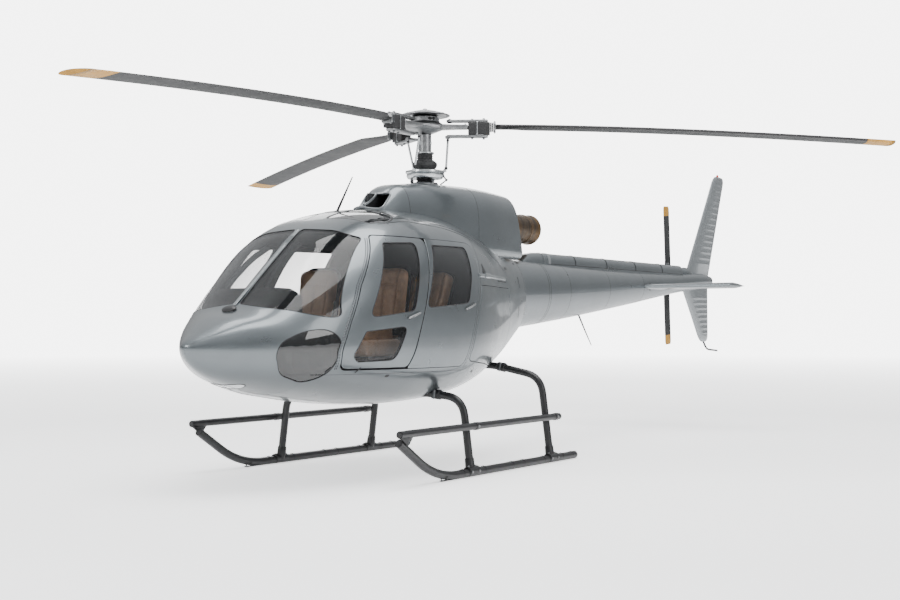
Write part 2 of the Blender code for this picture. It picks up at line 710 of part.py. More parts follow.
def build_hull():
    """Cabin frame, belly pan, rear fuselage, and the fixed panes and doors in them."""
    nose = -3.4
    split = rear_line(SILL, HOOP / 2)
    cabin = hull_piece("cabin_frame", WALL_SHELL, plate_cutter("frame_region", [
        (nose, 0.3), (CHIN_LINE, 0.3), (CHIN_LINE, SILL), (split, SILL), (rear_line(2.5, HOOP / 2), 2.5),
        (nose, 2.5)], "side", -FAR, FAR), SILVER)
    belly = hull_piece("belly_pan", WALL_SHELL, plate_cutter("belly_region", [
        (CHIN_LINE + FIT, 0.3), (split, 0.3), (split, SILL - FIT), (CHIN_LINE + FIT, SILL - FIT)],
        "side", -FAR, FAR), SILVER)
    rear = hull_piece("rear_fuselage", WALL_SHELL, plate_cutter("rear_region", [
        (split + FIT, 0.3), (1.6, 0.3), (1.6, 2.6), (rear_line(2.6, HOOP / 2) + FIT, 2.6), (split + FIT, SILL)],
        "side", -FAR, FAR), SILVER)

    cut(cabin, plate_cutter("doorway", DOORWAY, *SIDE_REACH))
    cut(cabin, jamb("door_post", post_line, (-0.045, 0.045), (SILL + 0.002, DOOR_HEAD + 0.04), DOORWAY), "UNION")
    cut(rear, baggage_cutter("baggage_door_opening", BAGGAGE_DOOR))
    cut(rear, jamb("baggage_jamb", rear_line, (HOOP - 0.020, HOOP + 0.040),
                   (BAGGAGE_FOOT[0] + 0.03, BAGGAGE_HEAD - 0.05), BAGGAGE_DOOR), "UNION")
    both_sides("windshield", window("windshield", WINDSHIELD, "front", -3.0, -1.62, [cabin]), GLASS)
    both_sides("roof_window", window("roof_window", ROOF_PANE, "top", 1.9, 2.6, [cabin]), GLASS)
    both_sides("chin_window", window("chin_window", CHIN_PANE, *SIDE_REACH, [cabin, belly]), GLASS)
    region = plate_cutter("door_rear_region", inset(REAR_DOOR, FIT), *SIDE_REACH)
    door = hull_piece("door_rear", WALL_SHELL, region, SILVER)
    pane = window("door_rear_window", REAR_PANE, *SIDE_REACH, [door])
    both_sides("door_rear", settled(door), SILVER)
    both_sides("door_rear_window", pane, GLASS)
    for piece in (cabin, belly, rear):
        symmetric(piece)


def hinge_pair(name, place):
    """Empties at a joint to port and to starboard."""
    return {side: anchor(f"{name}_{side}_hinge", (sign * place[0], place[1], place[2]), AIRFRAME)
            for side, sign in SIDES}


def build_front_doors():
    """Front doors with their two panes, each on its leaning hinge line."""
    hinges = hinge_pair("door_front", HINGE_TOP)
    region = plate_cutter("door_front_region", inset(FRONT_DOOR, DOOR_GAP), *SIDE_REACH)
    door = hull_piece("door_front", WALL_SHELL, region, SILVER)
    upper = window("door_front_upper_window", FRONT_UPPER, *SIDE_REACH, [door])
    lower = window("door_front_lower_window", FRONT_LOWER, *SIDE_REACH, [door])
    both_sides("door_front", settled(door), SILVER, hinges)
    both_sides("door_front_upper_window", upper, GLASS, hinges)
    both_sides("door_front_lower_window", lower, GLASS, hinges)


def baggage_cutter(name, outline):
    """A plate whose edges slant the way the baggage door swings out: aft and down."""
    cutter = plate_cutter(name, outline, *SIDE_REACH)
    aft = (BAGGAGE_HINGE[0] - BAGGAGE_HINGE_AFT[0]) / (BAGGAGE_HINGE_AFT[1] - BAGGAGE_HINGE[1])
    slant = Matrix.Identity(4)
    slant[1][0] = aft
    slant[1][3] = -aft * BAGGAGE_PLANE
    slant[2][0] = -BAGGAGE_DROP
    slant[2][3] = BAGGAGE_DROP * BAGGAGE_PLANE
    cutter.data.transform(slant)
    return cutter


def build_baggage_doors():
    """Side baggage doors, hinged along their heads."""
    region = baggage_cutter("baggage_door_region", inset(BAGGAGE_DOOR, BAGGAGE_GAP))
    door = settled(hull_piece("baggage_door", WALL_SHELL, region, SILVER))
    both_sides("baggage_door", door, SILVER, hinge_pair("baggage_door", BAGGAGE_HINGE))


build_hull()
build_front_doors()
build_baggage_doors()


# Cabin inside

def build_cabin_inside():
    """Floor, rear bulkhead, instrument console and seats."""
    room = add("cabin_room", hull_mesh("cabin_room", WALL + 2 * FIT), TRIM, cutter=True)
    end = rear_line(SILL)
    slab = [(FLOOR_FRONT, FLOOR_FOOT), (end, FLOOR_FOOT), (end, FLOOR_TOP), (FLOOR_FRONT, FLOOR_TOP)]
    cut(add("cabin_floor", plate_mesh("cabin_floor", slab, "side", -1.0, 1.0), TRIM), room, "INTERSECT")
    ahead, aft = BULKHEAD_SHIFTS
    foot = SEAT_HEIGHTS[0]
    wall = [(rear_line(foot, ahead), foot), (rear_line(foot, aft), foot), (rear_line(2.5, aft), 2.5),
            (rear_line(2.5, ahead), 2.5)]
    cut(add("rear_bulkhead", plate_mesh("rear_bulkhead", wall, "side", -1.0, 1.0), TRIM), room, "INTERSECT")
    pod = plate_mesh("console", rounded(CONSOLE, 0.03, 2), "side", -CONSOLE_HALF, CONSOLE_HALF)
    add("console", pod, TRIM)

    for name, x in (("seat_pilot", -SEAT_X), ("seat_copilot", SEAT_X)):
        add(name, seat_mesh(name, x, SEAT_HALF, SEAT_FRONT, SEAT_REAR), LEATHER)
    behind = [rear_line(height, 0.003) for height in SEAT_HEIGHTS]
    add("rear_bench", seat_mesh("rear_bench", 0.0, BENCH_HALF, BENCH_FRONT, behind), LEATHER)


def seat_mesh(name, x, half, front, behind):
    """A cushion and a leaning back in one body; behind has the rear face's stations, upwards."""
    foot, bend, top = SEAT_HEIGHTS
    share = (CUSHION_TOP - bend) / (top - bend)
    crease = behind[1] + (behind[2] - behind[1]) * share - BACK_THICKNESS
    outline = rounded([
        (front, foot), (behind[0], foot), (behind[1], bend), (behind[2], top),
        (behind[2] - 0.8 * BACK_THICKNESS, BACK_TOP), (crease, CUSHION_TOP + 0.02), (front, CUSHION_TOP)],
        (0.02, 0.02, 0.06, 0.04, 0.05, 0.06, 0.06), 3)
    return plate_mesh(name, outline, "side", x - half, x + half)


# Engine deck and cowling

def cowl_mesh(name, depth):
    """The cowling's closed form, a depth inside its skin."""
    table = np.array(COWL)
    rings = []
    for station in np.linspace(COWL[0][0] + depth, COWL[-1][0] - depth, 13):
        width, top, power = [smooth(table[:, 0], table[:, column], station) for column in (1, 2, 3)]
        rings.append(oval(width - depth, top - depth, COWL_FOOT + depth, COWL_WAIST, power, COWL_SQUARENESS,
                          station, HULL_AROUND))
    return loft_mesh(name, rings)


def gearbox_mesh(name, grown):
    """The main gearbox as one turned block, grown by an amount."""
    wide = GEARBOX_RADIUS + grown
    return turned_mesh(name, [(0.0, GEARBOX_TOP + grown), (0.6 * GEARBOX_RADIUS + grown, GEARBOX_TOP + grown),
                              (wide, GEARBOX_TOP - 0.14 + grown), (wide, DECK), (0.0, DECK)])


def rod_cutter(name, radius, low, high, centre=(0.0, 0.0, 0.0), axis="Z"):
    """A round cutter between two heights along its axis."""
    profile = [(0.0, high), (radius, high), (radius, low), (0.0, low)]
    return add(name, turned_mesh(name, profile, centre, axis), SILVER, cutter=True)


def exhaust_profile():
    """The pipe's section: bore, end lip, raised band and plain front."""
    lip = EXHAUST_RADIUS + 0.010
    band = EXHAUST_RADIUS + 0.007
    ahead, aft = EXHAUST_BAND
    front = ENGINE_REAR + FIT
    return [(EXHAUST_BORE, EXHAUST_END), (lip, EXHAUST_END), (lip, EXHAUST_END - 0.02),
            (EXHAUST_RADIUS, EXHAUST_END - 0.04), (EXHAUST_RADIUS, aft + 0.005), (band, aft), (band, ahead),
            (EXHAUST_RADIUS, ahead - 0.005), (EXHAUST_RADIUS, front), (EXHAUST_BORE, front),
            (EXHAUST_BORE, EXHAUST_END)]


def build_cowling():
    """Cowls, exhaust, engine and gearbox blocks."""
    skin = add("cowl_skin", cowl_mesh("cowl_skin", 0.0), SILVER, cutter=True)
    cut(skin, add("cowl_room", cowl_mesh("cowl_room", COWL_SKIN), SILVER, cutter=True))
    cut(skin, add("intake_mouth", box_mesh("intake_mouth", *INTAKE_MOUTH, 0.02), SILVER, cutter=True))
    cut(skin, rod_cutter("mast_hole", MAST_HOLE_RADIUS, 2.50, 2.80))
    hull_form = add("hull_form", hull_mesh("hull_form", -FIT), SILVER, cutter=True)
    shell = settled(symmetric(cut(skin, hull_form)))
    pipe_hole = rod_cutter("pipe_hole", EXHAUST_RADIUS + FIT, 0.5, 2.3, (0.0, 0.0, EXHAUST_Z), "Y")
    high = 2.8
    front, rear = COWL_FRONT_SEAM, COWL_REAR_SEAM
    foot, head = COWL_REAR_EDGE
    spans = (("cowl_front", [(-1.2, DECK), (front, DECK), (front, high), (-1.2, high)]),
             ("cowl_middle", [(front + FIT, DECK), (rear, DECK), (rear, high), (front + FIT, high)]),
             ("cowl_rear", [(rear + FIT, DECK), foot, head, (head[0], high), (rear + FIT, high)]))
    for name, outline in spans:
        region = plate_cutter(name + "_region", outline, "side", -COWL_HALF, COWL_HALF)
        piece = cut(add(name, shell.copy(), SILVER), region, "INTERSECT")
        if name == "cowl_rear":
            cut(piece, pipe_hole)

    block = box_mesh("engine_block", (-ENGINE_HALF, ENGINE_FRONT, DECK), (ENGINE_HALF, ENGINE_REAR, ENGINE_TOP))
    cut(add("engine_block", block, STEEL), hull_form)
    cut(add("gearbox_block", gearbox_mesh("gearbox_block", 0.0), STEEL), hull_form)
    add("gearbox_form", gearbox_mesh("gearbox_form", FIT), STEEL, cutter=True)
    pipe = turned_mesh("exhaust_pipe", exhaust_profile(), (0.0, 0.0, EXHAUST_Z), "Y")
    add("exhaust_pipe", pipe, BRONZE)


# Tail

def boom_mesh(name, depth):
    """The boom's closed form, a depth inside its skin, open length at its front."""
    table = np.array(BOOM)
    stations = np.linspace(BOOM[0][0], BOOM[-1][0], 8)
    stations[-1] -= depth
    if depth:
        stations = np.concatenate([[BOOM[0][0] - 0.1], stations])
    rings = []
    for station in stations:
        inside = max(station, BOOM[0][0])
        width, top, bottom = [smooth(table[:, 0], table[:, column], inside) for column in (1, 2, 3)]
        rings.append(oval(width - depth, top - depth, bottom + depth, (top + bottom) / 2, 2.1, 2.0, station, 16))
    return loft_mesh(name, rings)


def wing_section(chord, thickness, count=6):
    """Points of a symmetrical aerofoil, leading edge at 0, as chord place and half thickness."""
    places = [0.5 * chord * (1 - math.cos(math.pi * index / count)) for index in range(count + 1)]
    upper = [(place, thickness * 2.55 * math.sqrt(place / chord) * (1 - 0.97 * place / chord))
             for place in places]
    lower = [(place, -height) for place, height in upper[1:]]
    return upper + lower[::-1]


def fin_rings(root, tip, ribs):
    """Shares of the way from root to tip where rings lie, with each one's swelling and pinch."""
    rise = tip[2] - root[2]
    rings = [(0.0, 0.0, 0.0)]
    if ribs:
        count, first, last = ribs
        width = RIB_WIDTH / abs(rise)
        for index in range(count):
            middle = (first + (last - first) * index / (count - 1) - root[2]) / rise
            rings += [(middle - width / 2, 0.0, 0.0), (middle - width / 5, 1.0, 0.0),
                      (middle + width / 5, 1.0, 0.0), (middle + width / 2, 0.0, 0.0)]
    for degrees in (0, 30, 60, 90):
        turn = math.radians(degrees)
        rings.append((1.0 - FIN_ROUND * (1.0 - math.sin(turn)) / abs(rise), 0.0, 1.0 - math.cos(turn)))
    return rings


def fin_mesh(name, edges, half, ribs=None):
    """A fin with a rounded end, and ribs raised between its spar and its trailing edge."""
    root, tip = edges
    rings = []
    for share, swelling, pinch in fin_rings(root, tip, ribs):
        lead, trail, height = [a + (b - a) * share for a, b in zip(root, tip)]
        lead += 0.7 * FIN_ROUND * pinch
        chord = trail - 0.9 * FIN_ROUND * pinch - lead
        ring = []
        for along, up in wing_section(chord, half * (1.0 - 0.5 * pinch)):
            place = along / chord
            reach = max(0.0, min((place - 0.28) / 0.10, (1.0 - place) / 0.08, 1.0))
            ring.append((up + math.copysign(RIB_RISE * swelling * reach, up), lead + along, height))
        rings.append(ring)
    return loft_mesh(name, rings)


def turned_to_starboard(name, profile, place):
    """A turned solid that points to starboard from a place."""
    mesh = turned_mesh(name, profile, (0.0, 0.0, 0.0), "X")
    mesh.transform(Matrix.Translation(place) @ Matrix.Scale(-1.0, 4, (1.0, 0.0, 0.0)))
    mesh.flip_normals()
    return mesh


def build_boom():
    """Boom with the tailplane through it, and the drive shaft fairing on it."""
    boom = add("tail_boom", boom_mesh("tail_boom", 0.0), SILVER)
    cut(boom, add("boom_room", boom_mesh("boom_room", BOOM_SKIN), SILVER, cutter=True))
    boom_form = add("boom_form", boom_mesh("boom_form", -FIT), SILVER, cutter=True)
    for name, grown, reach in (("tailplane", 0.0, TAILPLANE_HALF_SPAN), ("tailplane_slot", FIT, 1.0)):
        front = TAILPLANE_STATION - TAILPLANE_CHORD / 2 - grown
        section = wing_section(TAILPLANE_CHORD + 2 * grown, TAILPLANE_HALF + grown)
        wing = loft_mesh(name, [[(x, front + along, TAILPLANE_Z + up) for along, up in section]
                                for x in (-reach, reach)])
        if grown:
            cut(boom, add(name, wing, SILVER, cutter=True))
        else:
            add(name, wing, SILVER)
    spine = [oval(SPINE_HALF, SPINE_TOP, SPINE_FOOT, SPINE_WAIST, 2.4, 4.0, station, 16)
             for station in np.linspace(SPINE_FRONT, SPINE_END, 6)]
    cut(add("driveshaft_fairing", loft_mesh("driveshaft_fairing", spine), SILVER), boom_form)
    return boom_form


def build_tail():
    """Boom, fins, beacon, tail skid and tail gearbox."""
    boom_form = build_boom()
    cut(add("fin_upper", fin_mesh("fin_upper", FIN_UPPER, FIN_HALF, UPPER_RIBS), SILVER), boom_form)
    cut(add("fin_lower", fin_mesh("fin_lower", FIN_LOWER, FIN_HALF, LOWER_RIBS), SILVER), boom_form)
    lens = turned_mesh("beacon", [(0.0, 0.035), (0.4 * BEACON_RADIUS, 0.033), (0.9 * BEACON_RADIUS, 0.018),
                                  (BEACON_RADIUS, 0.0), (0.0, 0.0)], (0.0, BEACON_STATION, FIN_UPPER[1][2] + FIT))
    add("beacon", lens, RED)

    root, (lead, trail, foot) = FIN_LOWER
    fin_form = fin_mesh("lower_fin_form", (root, (lead, trail, foot - FIT)), FIN_HALF)
    cut(add("tail_skid", tube_mesh("tail_skid", bent(TAIL_SKID, 0.06), TAIL_SKID_RADIUS), BLACK),
        add("lower_fin_form", fin_form, SILVER, cutter=True))

    gearbox = turned_to_starboard("tail_gearbox", TAIL_GEARBOX, (TAIL_GEARBOX_X, TAIL_HUB[1], TAIL_HUB[2]))
    gearbox = cut(add("tail_gearbox", gearbox, STEEL), boom_form)
    cut(gearbox, add("fin_form", fin_mesh("fin_form", FIN_UPPER, FIN_HALF + FIT), SILVER, cutter=True))


# Rotors

def blade_mesh(name, stations, height, droop):
    """A blade along +X through stations of radius, chord and thickness, hanging towards its tip."""
    root, tip = stations[0][0], stations[-1][0]
    rings = []
    for radius, chord, thickness in stations:
        z = height - droop * ((radius - root) / (tip - root)) ** 1.6
        rings.append([(radius, along - 0.3 * chord, z + up) for along, up in wing_section(chord, thickness / 2)])
    return loft_mesh(name, rings)


def even_stations(start, end, chord, thickness):
    """Blade stations at even steps with one chord and thickness."""
    return [(float(radius), chord, thickness) for radius in np.linspace(start, end, BLADE_RINGS)]


def at_angle(mesh, angle):
    """The mesh turned about the mast."""
    mesh.transform(Matrix.Rotation(math.radians(angle), 4, "Z"))
    return mesh


def sleeve_mesh():
    """A blade's two sleeve plates with the elastic block between them and their bolts."""
    inner, outer = SLEEVE_REACH
    (near, low), (far, high) = SLEEVE_BLOCK
    pieces = [box_mesh("sleeve", (near, -SLEEVE_HALF, low), (far, SLEEVE_HALF, high)),
              box_mesh("horn", *SLEEVE_HORN)]
    for foot, top in SLEEVE_PLATES:
        pieces.append(box_mesh("sleeve", (inner, -SLEEVE_HALF, foot), (outer, SLEEVE_HALF, top), 0.006))
    (_, above), (below, _) = SLEEVE_PLATES
    for radius in SLEEVE_BOLTS:
        for foot in (above - 0.002, below + 0.002 - BOLT_HEIGHT):
            profile = [(0.0, foot + BOLT_HEIGHT), (BOLT_RADIUS, foot + BOLT_HEIGHT), (BOLT_RADIUS, foot),
                       (0.0, foot)]
            pieces.append(turned_mesh("bolt", profile, (radius, 0.0, 0.0), steps=8))
    return joined("sleeve", pieces[0], pieces[1:])


def build_head(hub):
    """Mast, star and cap."""
    add("rotor_mast", turned_mesh("rotor_mast", MAST_PROFILE), STEEL, hub)
    arms = [at_angle(plate_mesh("rotor_star", rounded(STAR_ARM, 0.02, 2), "top", *STAR_BED), angle)
            for angle in BLADE_ANGLES]
    ring = turned_mesh("rotor_star", STAR_RING)
    star = add("rotor_star", joined("rotor_star", ring, arms), STEEL, hub)
    cut(star, rod_cutter("star_bore", MAST_BORE, 3.0, 3.4))
    add("rotor_cap", turned_mesh("rotor_cap", CAP_PROFILE), STEEL, hub)


def build_main_rotor():
    """Head, three sleeves and blades, and the swashplates."""
    hub = anchor("main_rotor_axis", (0.0, 0.0, 0.0), AIRFRAME)
    build_head(hub)
    stations = list(BLADE_CUFF) + even_stations(BLADE_START, ROTOR_RADIUS, BLADE_CHORD, BLADE_THICKNESS)
    for number, angle in enumerate(BLADE_ANGLES, 1):
        blade = blade_mesh("blade", stations, BLADE_HEIGHT, BLADE_DROOP)
        add(f"main_blade_{number}", at_angle(blade, angle), BLADE, hub)
        add(f"blade_sleeve_{number}", at_angle(sleeve_mesh(), angle), STEEL, hub)

    legs = [at_angle(tube_mesh("servo", SERVO, SERVO_RADIUS), angle) for angle in SERVO_ANGLES]
    fixed = turned_mesh("swashplate_fixed", SWASHPLATE_FIXED)
    plate = add("swashplate_fixed", joined("swashplate_fixed", fixed, legs), STEEL)
    cut(plate, bpy.data.objects["gearbox_form"])
    links = [at_angle(tube_mesh("pitch_link", PITCH_LINK, PITCH_LINK_RADIUS), angle) for angle in BLADE_ANGLES]
    turning = turned_mesh("swashplate_turning", SWASHPLATE_TURNING)
    add("swashplate_turning", joined("swashplate_turning", turning, links), STEEL, hub)


def build_tail_rotor():
    """Tail rotor hub and its two blades in one piece."""
    axis = anchor("tail_rotor_axis", TAIL_HUB, AIRFRAME)
    middle = (0.0, 0.0, 0.0)
    add("tail_rotor_hub", turned_to_starboard("tail_rotor_hub", TAIL_HUB_PROFILE, middle), STEEL, axis)
    pair = blade_mesh("tail_rotor_blades", even_stations(-TAIL_RADIUS, TAIL_RADIUS, TAIL_CHORD, TAIL_THICKNESS),
                      0.0, 0.0)
    pair.transform(Matrix.Rotation(math.radians(TAIL_TURN), 4, "X") @ Matrix.Rotation(-math.pi / 2, 4, "Y"))
    blades = add("tail_rotor_blades", pair, BLADE, axis)
    wide, narrow = TAIL_HUB_PROFILE[2][0] + FIT, TAIL_HUB_PROFILE[4][0] + FIT
    step = TAIL_HUB_PROFILE[3][1] - FIT
    form = [(0.0, 0.07), (wide, 0.07), (wide, step), (narrow, step), (narrow, -0.05), (0.0, -0.05)]
    cut(blades, add("tail_hub_form", turned_to_starboard("tail_hub_form", form, middle), STEEL, axis, cutter=True))


# Skid gear

def leg_route(station, shoulder, knee):
    """The cross tube from foot to foot."""
    half = [LEG_FOOT, knee, shoulder]
    across = half + [(-x, z) for x, z in half[::-1]]
    return bent([(x, station, z) for x, z in across], TUBE_BEND)


def leg_outside(height):
    """How far out the front cross tube's outer face lies at a height."""
    knee = CROSS_TUBES[0][3]
    run = Vector((knee[0] - LEG_FOOT[0], knee[1] - LEG_FOOT[1]))
    middle = LEG_FOOT[0] + run.x * (height - LEG_FOOT[1]) / run.y
    return middle + TUBE_RADIUS * run.length / run.y


def build_gear():
    """Cross tubes, skids and steps."""
    belly = bpy.data.objects["belly_pan"]
    rear = bpy.data.objects["rear_fuselage"]
    skids = {}
    for name, side in SIDES:
        route = bent([(side * SKID_X, station, z) for station, z in SKID_ROUTE], SKID_BEND)
        add("skid_" + name, tube_mesh("skid", route, SKID_RADIUS), BLACK)
        form = tube_mesh("skid_form", route, SKID_RADIUS + 2 * FIT)
        skids[name] = add("skid_form_" + name, form, BLACK, cutter=True)
    for tube, station, shoulder, knee in CROSS_TUBES:
        route = leg_route(station, shoulder, knee)
        piece = add(tube, tube_mesh(tube, route, TUBE_RADIUS), BLACK)
        for form in skids.values():
            cut(piece, form)
        hole = add(tube + "_form", tube_mesh(tube, route, TUBE_RADIUS + FIT), BLACK, cutter=True)
        holder = cut(belly if station < 0 else rear, hole)
        # The hole is cut before the half is mirrored
        last = len(holder.modifiers) - 1
        holder.modifiers.move(last, last - 1)
    step_x = leg_outside(STEP_HEIGHT) + STEP_RADIUS + FIT
    for name, side in SIDES:
        x = side * step_x
        step = tube_mesh("step", [(x, STEP_FRONT, STEP_HEIGHT), (x, STEP_REAR, STEP_HEIGHT)], STEP_RADIUS)
        bracket = plate_mesh("bracket", rounded(BRACKET, 0.015, 2), "side", x - BRACKET_HALF, x + BRACKET_HALF)
        cut(add("step_" + name, joined("step", step, [bracket]), BLACK), skids[name])


build_cabin_inside()
build_cowling()
build_tail()
build_main_rotor()
build_tail_rotor()
build_gear()
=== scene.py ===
"""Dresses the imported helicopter: metal skins, glazing, cabin, rotor head, tail, gear and finishes.

Frame: metres, +X to port, -Y to the nose, +Z up, ground at z = 0. Forms are made in stations,
the distance aft of the rotor mast, and are moved to the frame when a piece is made.
"""
import json
import logging
import math
from dataclasses import dataclass
from enum import Enum
from typing import Callable, Iterable, Sequence

import bmesh
import bpy
import numpy as np
from mathutils import Matrix, Vector, geometry


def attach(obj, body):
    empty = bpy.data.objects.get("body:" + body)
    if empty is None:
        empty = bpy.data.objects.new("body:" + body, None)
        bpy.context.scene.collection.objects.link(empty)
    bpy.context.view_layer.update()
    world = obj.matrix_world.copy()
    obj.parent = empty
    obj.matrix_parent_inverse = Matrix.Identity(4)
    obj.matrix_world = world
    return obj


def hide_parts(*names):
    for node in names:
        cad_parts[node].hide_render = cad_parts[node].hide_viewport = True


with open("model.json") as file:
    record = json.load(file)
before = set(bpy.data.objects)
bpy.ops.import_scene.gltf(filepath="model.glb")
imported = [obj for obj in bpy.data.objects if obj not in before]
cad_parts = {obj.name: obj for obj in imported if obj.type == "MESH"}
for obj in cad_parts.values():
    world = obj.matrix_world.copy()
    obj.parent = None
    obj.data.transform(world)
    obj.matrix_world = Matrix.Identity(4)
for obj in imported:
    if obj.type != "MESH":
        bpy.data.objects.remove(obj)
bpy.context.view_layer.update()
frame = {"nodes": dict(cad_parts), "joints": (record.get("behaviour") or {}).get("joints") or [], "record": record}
LOG = logging.getLogger("helicopter")

Point2 = tuple[float, float]
Point3 = tuple[float, float, float]

MAST_Y = next(joint["pos_m"][1] for joint in frame["joints"] if joint["name"] == "main_rotor_turn")
WALL = 0.035
PANE_DEPTH = 0.004
PANE = 0.008
FIT = 0.0003
HALF_TURN = math.pi / 2.0


class Side(Enum):
    """Port or starboard, with the sign of its X."""

    LEFT = 1.0
    RIGHT = -1.0

    @property
    def label(self) -> str:
        """The ending of a piece's name."""
        return self.name.lower()


class View(Enum):
    """The direction an outline is drawn from."""

    SIDE = "side"
    FRONT = "front"
    TOP = "top"


# Finishes

class NodeSheet:
    """A material's node tree with a Principled shader at its end."""

    def __init__(self, name: str) -> None:
        """Starts an empty sheet.

        Args:
            name: the material's name.
        """
        self.material = bpy.data.materials.new(name)
        self.material.use_nodes = True
        self.tree = self.material.node_tree
        self.shader = self.tree.nodes["Principled BSDF"]
        self.place = self.add("ShaderNodeTexCoord").outputs["Object"]

    def add(self, kind: str, **inputs: object) -> bpy.types.Node:
        """Adds a node.

        Args:
            kind: the node's type.
            **inputs: socket values or links by socket name, with spaces as underscores.

        Returns:
            The new node.
        """
        node = self.tree.nodes.new(kind)
        for name, value in inputs.items():
            socket = node.inputs[name.replace("_", " ")]
            if isinstance(value, bpy.types.NodeSocket):
                self.tree.links.new(value, socket)
            else:
                socket.default_value = value
        return node

    def set(self, **values: object) -> None:
        """Sets or links the Principled shader's own sockets by name."""
        for name, value in values.items():
            socket = self.shader.inputs[name.replace("_", " ")]
            if isinstance(value, bpy.types.NodeSocket):
                self.tree.links.new(value, socket)
            else:
                socket.default_value = value

    def stretched(self, scale: Point3) -> bpy.types.NodeSocket:
        """Object coordinates scaled along each axis."""
        return self.add("ShaderNodeMapping", Vector=self.place, Scale=scale).outputs["Vector"]

    def noise(self, scale: float, detail: float = 4.0, at: bpy.types.NodeSocket | None = None,
              roughness: float = 0.5) -> bpy.types.NodeSocket:
        """A noise value.

        Args:
            scale: how fine the noise is.
            detail: octaves.
            at: where it is read, or None for object coordinates.
            roughness: the share of the finer octaves.

        Returns:
            The noise's value socket.
        """
        node = self.add("ShaderNodeTexNoise", Scale=scale, Detail=detail, Roughness=roughness,
                        Vector=at or self.place)
        return node.outputs["Fac"]

    def ramp(self, value: bpy.types.NodeSocket,
             stops: Sequence[tuple[float, Sequence[float]]]) -> bpy.types.NodeSocket:
        """Turns a value into a colour.

        Args:
            value: the socket that is read.
            stops: places from 0 to 1, each with its colour.

        Returns:
            The colour socket.
        """
        node = self.add("ShaderNodeValToRGB", Fac=value)
        ramp = node.color_ramp
        while len(ramp.elements) < len(stops):
            ramp.elements.new(0.5)
        for element, (place, colour) in zip(ramp.elements, stops):
            element.position = place
            element.color = (*colour, 1.0)
        return node.outputs["Color"]

    def range(self, value: bpy.types.NodeSocket, low: float, high: float,
              source: Point2 = (0.3, 0.7)) -> bpy.types.NodeSocket:
        """Maps a value to a range.

        Args:
            value: the socket that is read.
            low: the result at the lower end.
            high: the result at the upper end.
            source: the value's own lower and upper end.

        Returns:
            The result socket.
        """
        node = self.add("ShaderNodeMapRange", Value=value)
        for name, number in (("From Min", source[0]), ("From Max", source[1]), ("To Min", low), ("To Max", high)):
            node.inputs[name].default_value = number
        return node.outputs["Result"]

    def bump(self, height: bpy.types.NodeSocket, strength: float, distance: float,
             over: bpy.types.NodeSocket | None = None) -> bpy.types.NodeSocket:
        """A bump from a height, on top of another one where that is given.

        Args:
            height: the height socket.
            strength: from 0 to 1.
            distance: the height in metres.
            over: a normal from another bump.

        Returns:
            The normal socket.
        """
        node = self.add("ShaderNodeBump", Height=height, Strength=strength, Distance=distance)
        if over is not None:
            self.tree.links.new(over, node.inputs["Normal"])
        return node.outputs["Normal"]


@dataclass(frozen=True)
class Finish:
    """A surface finish: its name, the record's slot, and its base values."""

    name: str
    slot: str
    colour: Point3
    roughness: float
    metallic: float = 0.0

    def shades(self, low: float, high: float) -> list[tuple[float, Point3]]:
        """Two stops of the colour, made darker and lighter by factors."""
        return [(place, tuple(min(channel * factor, 1.0) for channel in self.colour))
                for place, factor in ((0.30, low), (0.72, high))]

    def dress(self, sheet: NodeSheet) -> None:
        """Fills the node sheet; each kind of finish has its own way.

        Args:
            sheet: the material's node sheet.
        """
        sheet.set(Base_Color=sheet.ramp(sheet.noise(14.0), self.shades(0.93, 1.05)))
        sheet.set(Roughness=sheet.range(sheet.noise(60.0), self.roughness - 0.04, self.roughness + 0.06))

    def material(self) -> bpy.types.Material:
        """The material of this finish, made once."""
        found = bpy.data.materials.get(self.name)
        if found:
            return found
        sheet = NodeSheet(self.name)
        sheet.set(Metallic=self.metallic)
        self.dress(sheet)
        return sheet.material


@dataclass(frozen=True)
class MetallicPaint(Finish):
    """Silver paint: fine flakes under a clear coat, with a faint unevenness of the sheet."""

    def dress(self, sheet: NodeSheet) -> None:
        """Fills the sheet with flakes, tone and gentle panel waves."""
        flake = sheet.noise(1500.0, 1.0)
        tone = sheet.noise(1.7, 3.0)
        mix = sheet.add("ShaderNodeMath", Value=tone)
        mix.operation = "MULTIPLY_ADD"
        mix.inputs[1].default_value = 0.55
        sheet.tree.links.new(sheet.range(flake, 0.10, 0.32), mix.inputs[2])
        sheet.set(Base_Color=sheet.ramp(mix.outputs["Value"], self.shades(0.90, 1.12)))
        sheet.set(Roughness=sheet.range(sheet.noise(5.0, 5.0), self.roughness - 0.03, self.roughness + 0.05))
        sheet.set(Coat_Weight=0.65, Coat_Roughness=0.07)
        wave = sheet.bump(sheet.noise(1.6, 1.0), 0.12, 0.004)
        sheet.set(Normal=sheet.bump(flake, 0.03, 0.0004, wave))


@dataclass(frozen=True)
class Enamel(Finish):
    """Satin enamel with a slight orange peel and faint dust."""

    def dress(self, sheet: NodeSheet) -> None:
        """Fills the sheet with peel, dust and gloss changes."""
        dust = sheet.noise(7.0, 6.0, roughness=0.65)
        sheet.set(Base_Color=sheet.ramp(dust, self.shades(0.82, 1.35)))
        sheet.set(Roughness=sheet.range(dust, self.roughness - 0.05, self.roughness + 0.10))
        sheet.set(Normal=sheet.bump(sheet.noise(220.0, 2.0), 0.10, 0.0006))


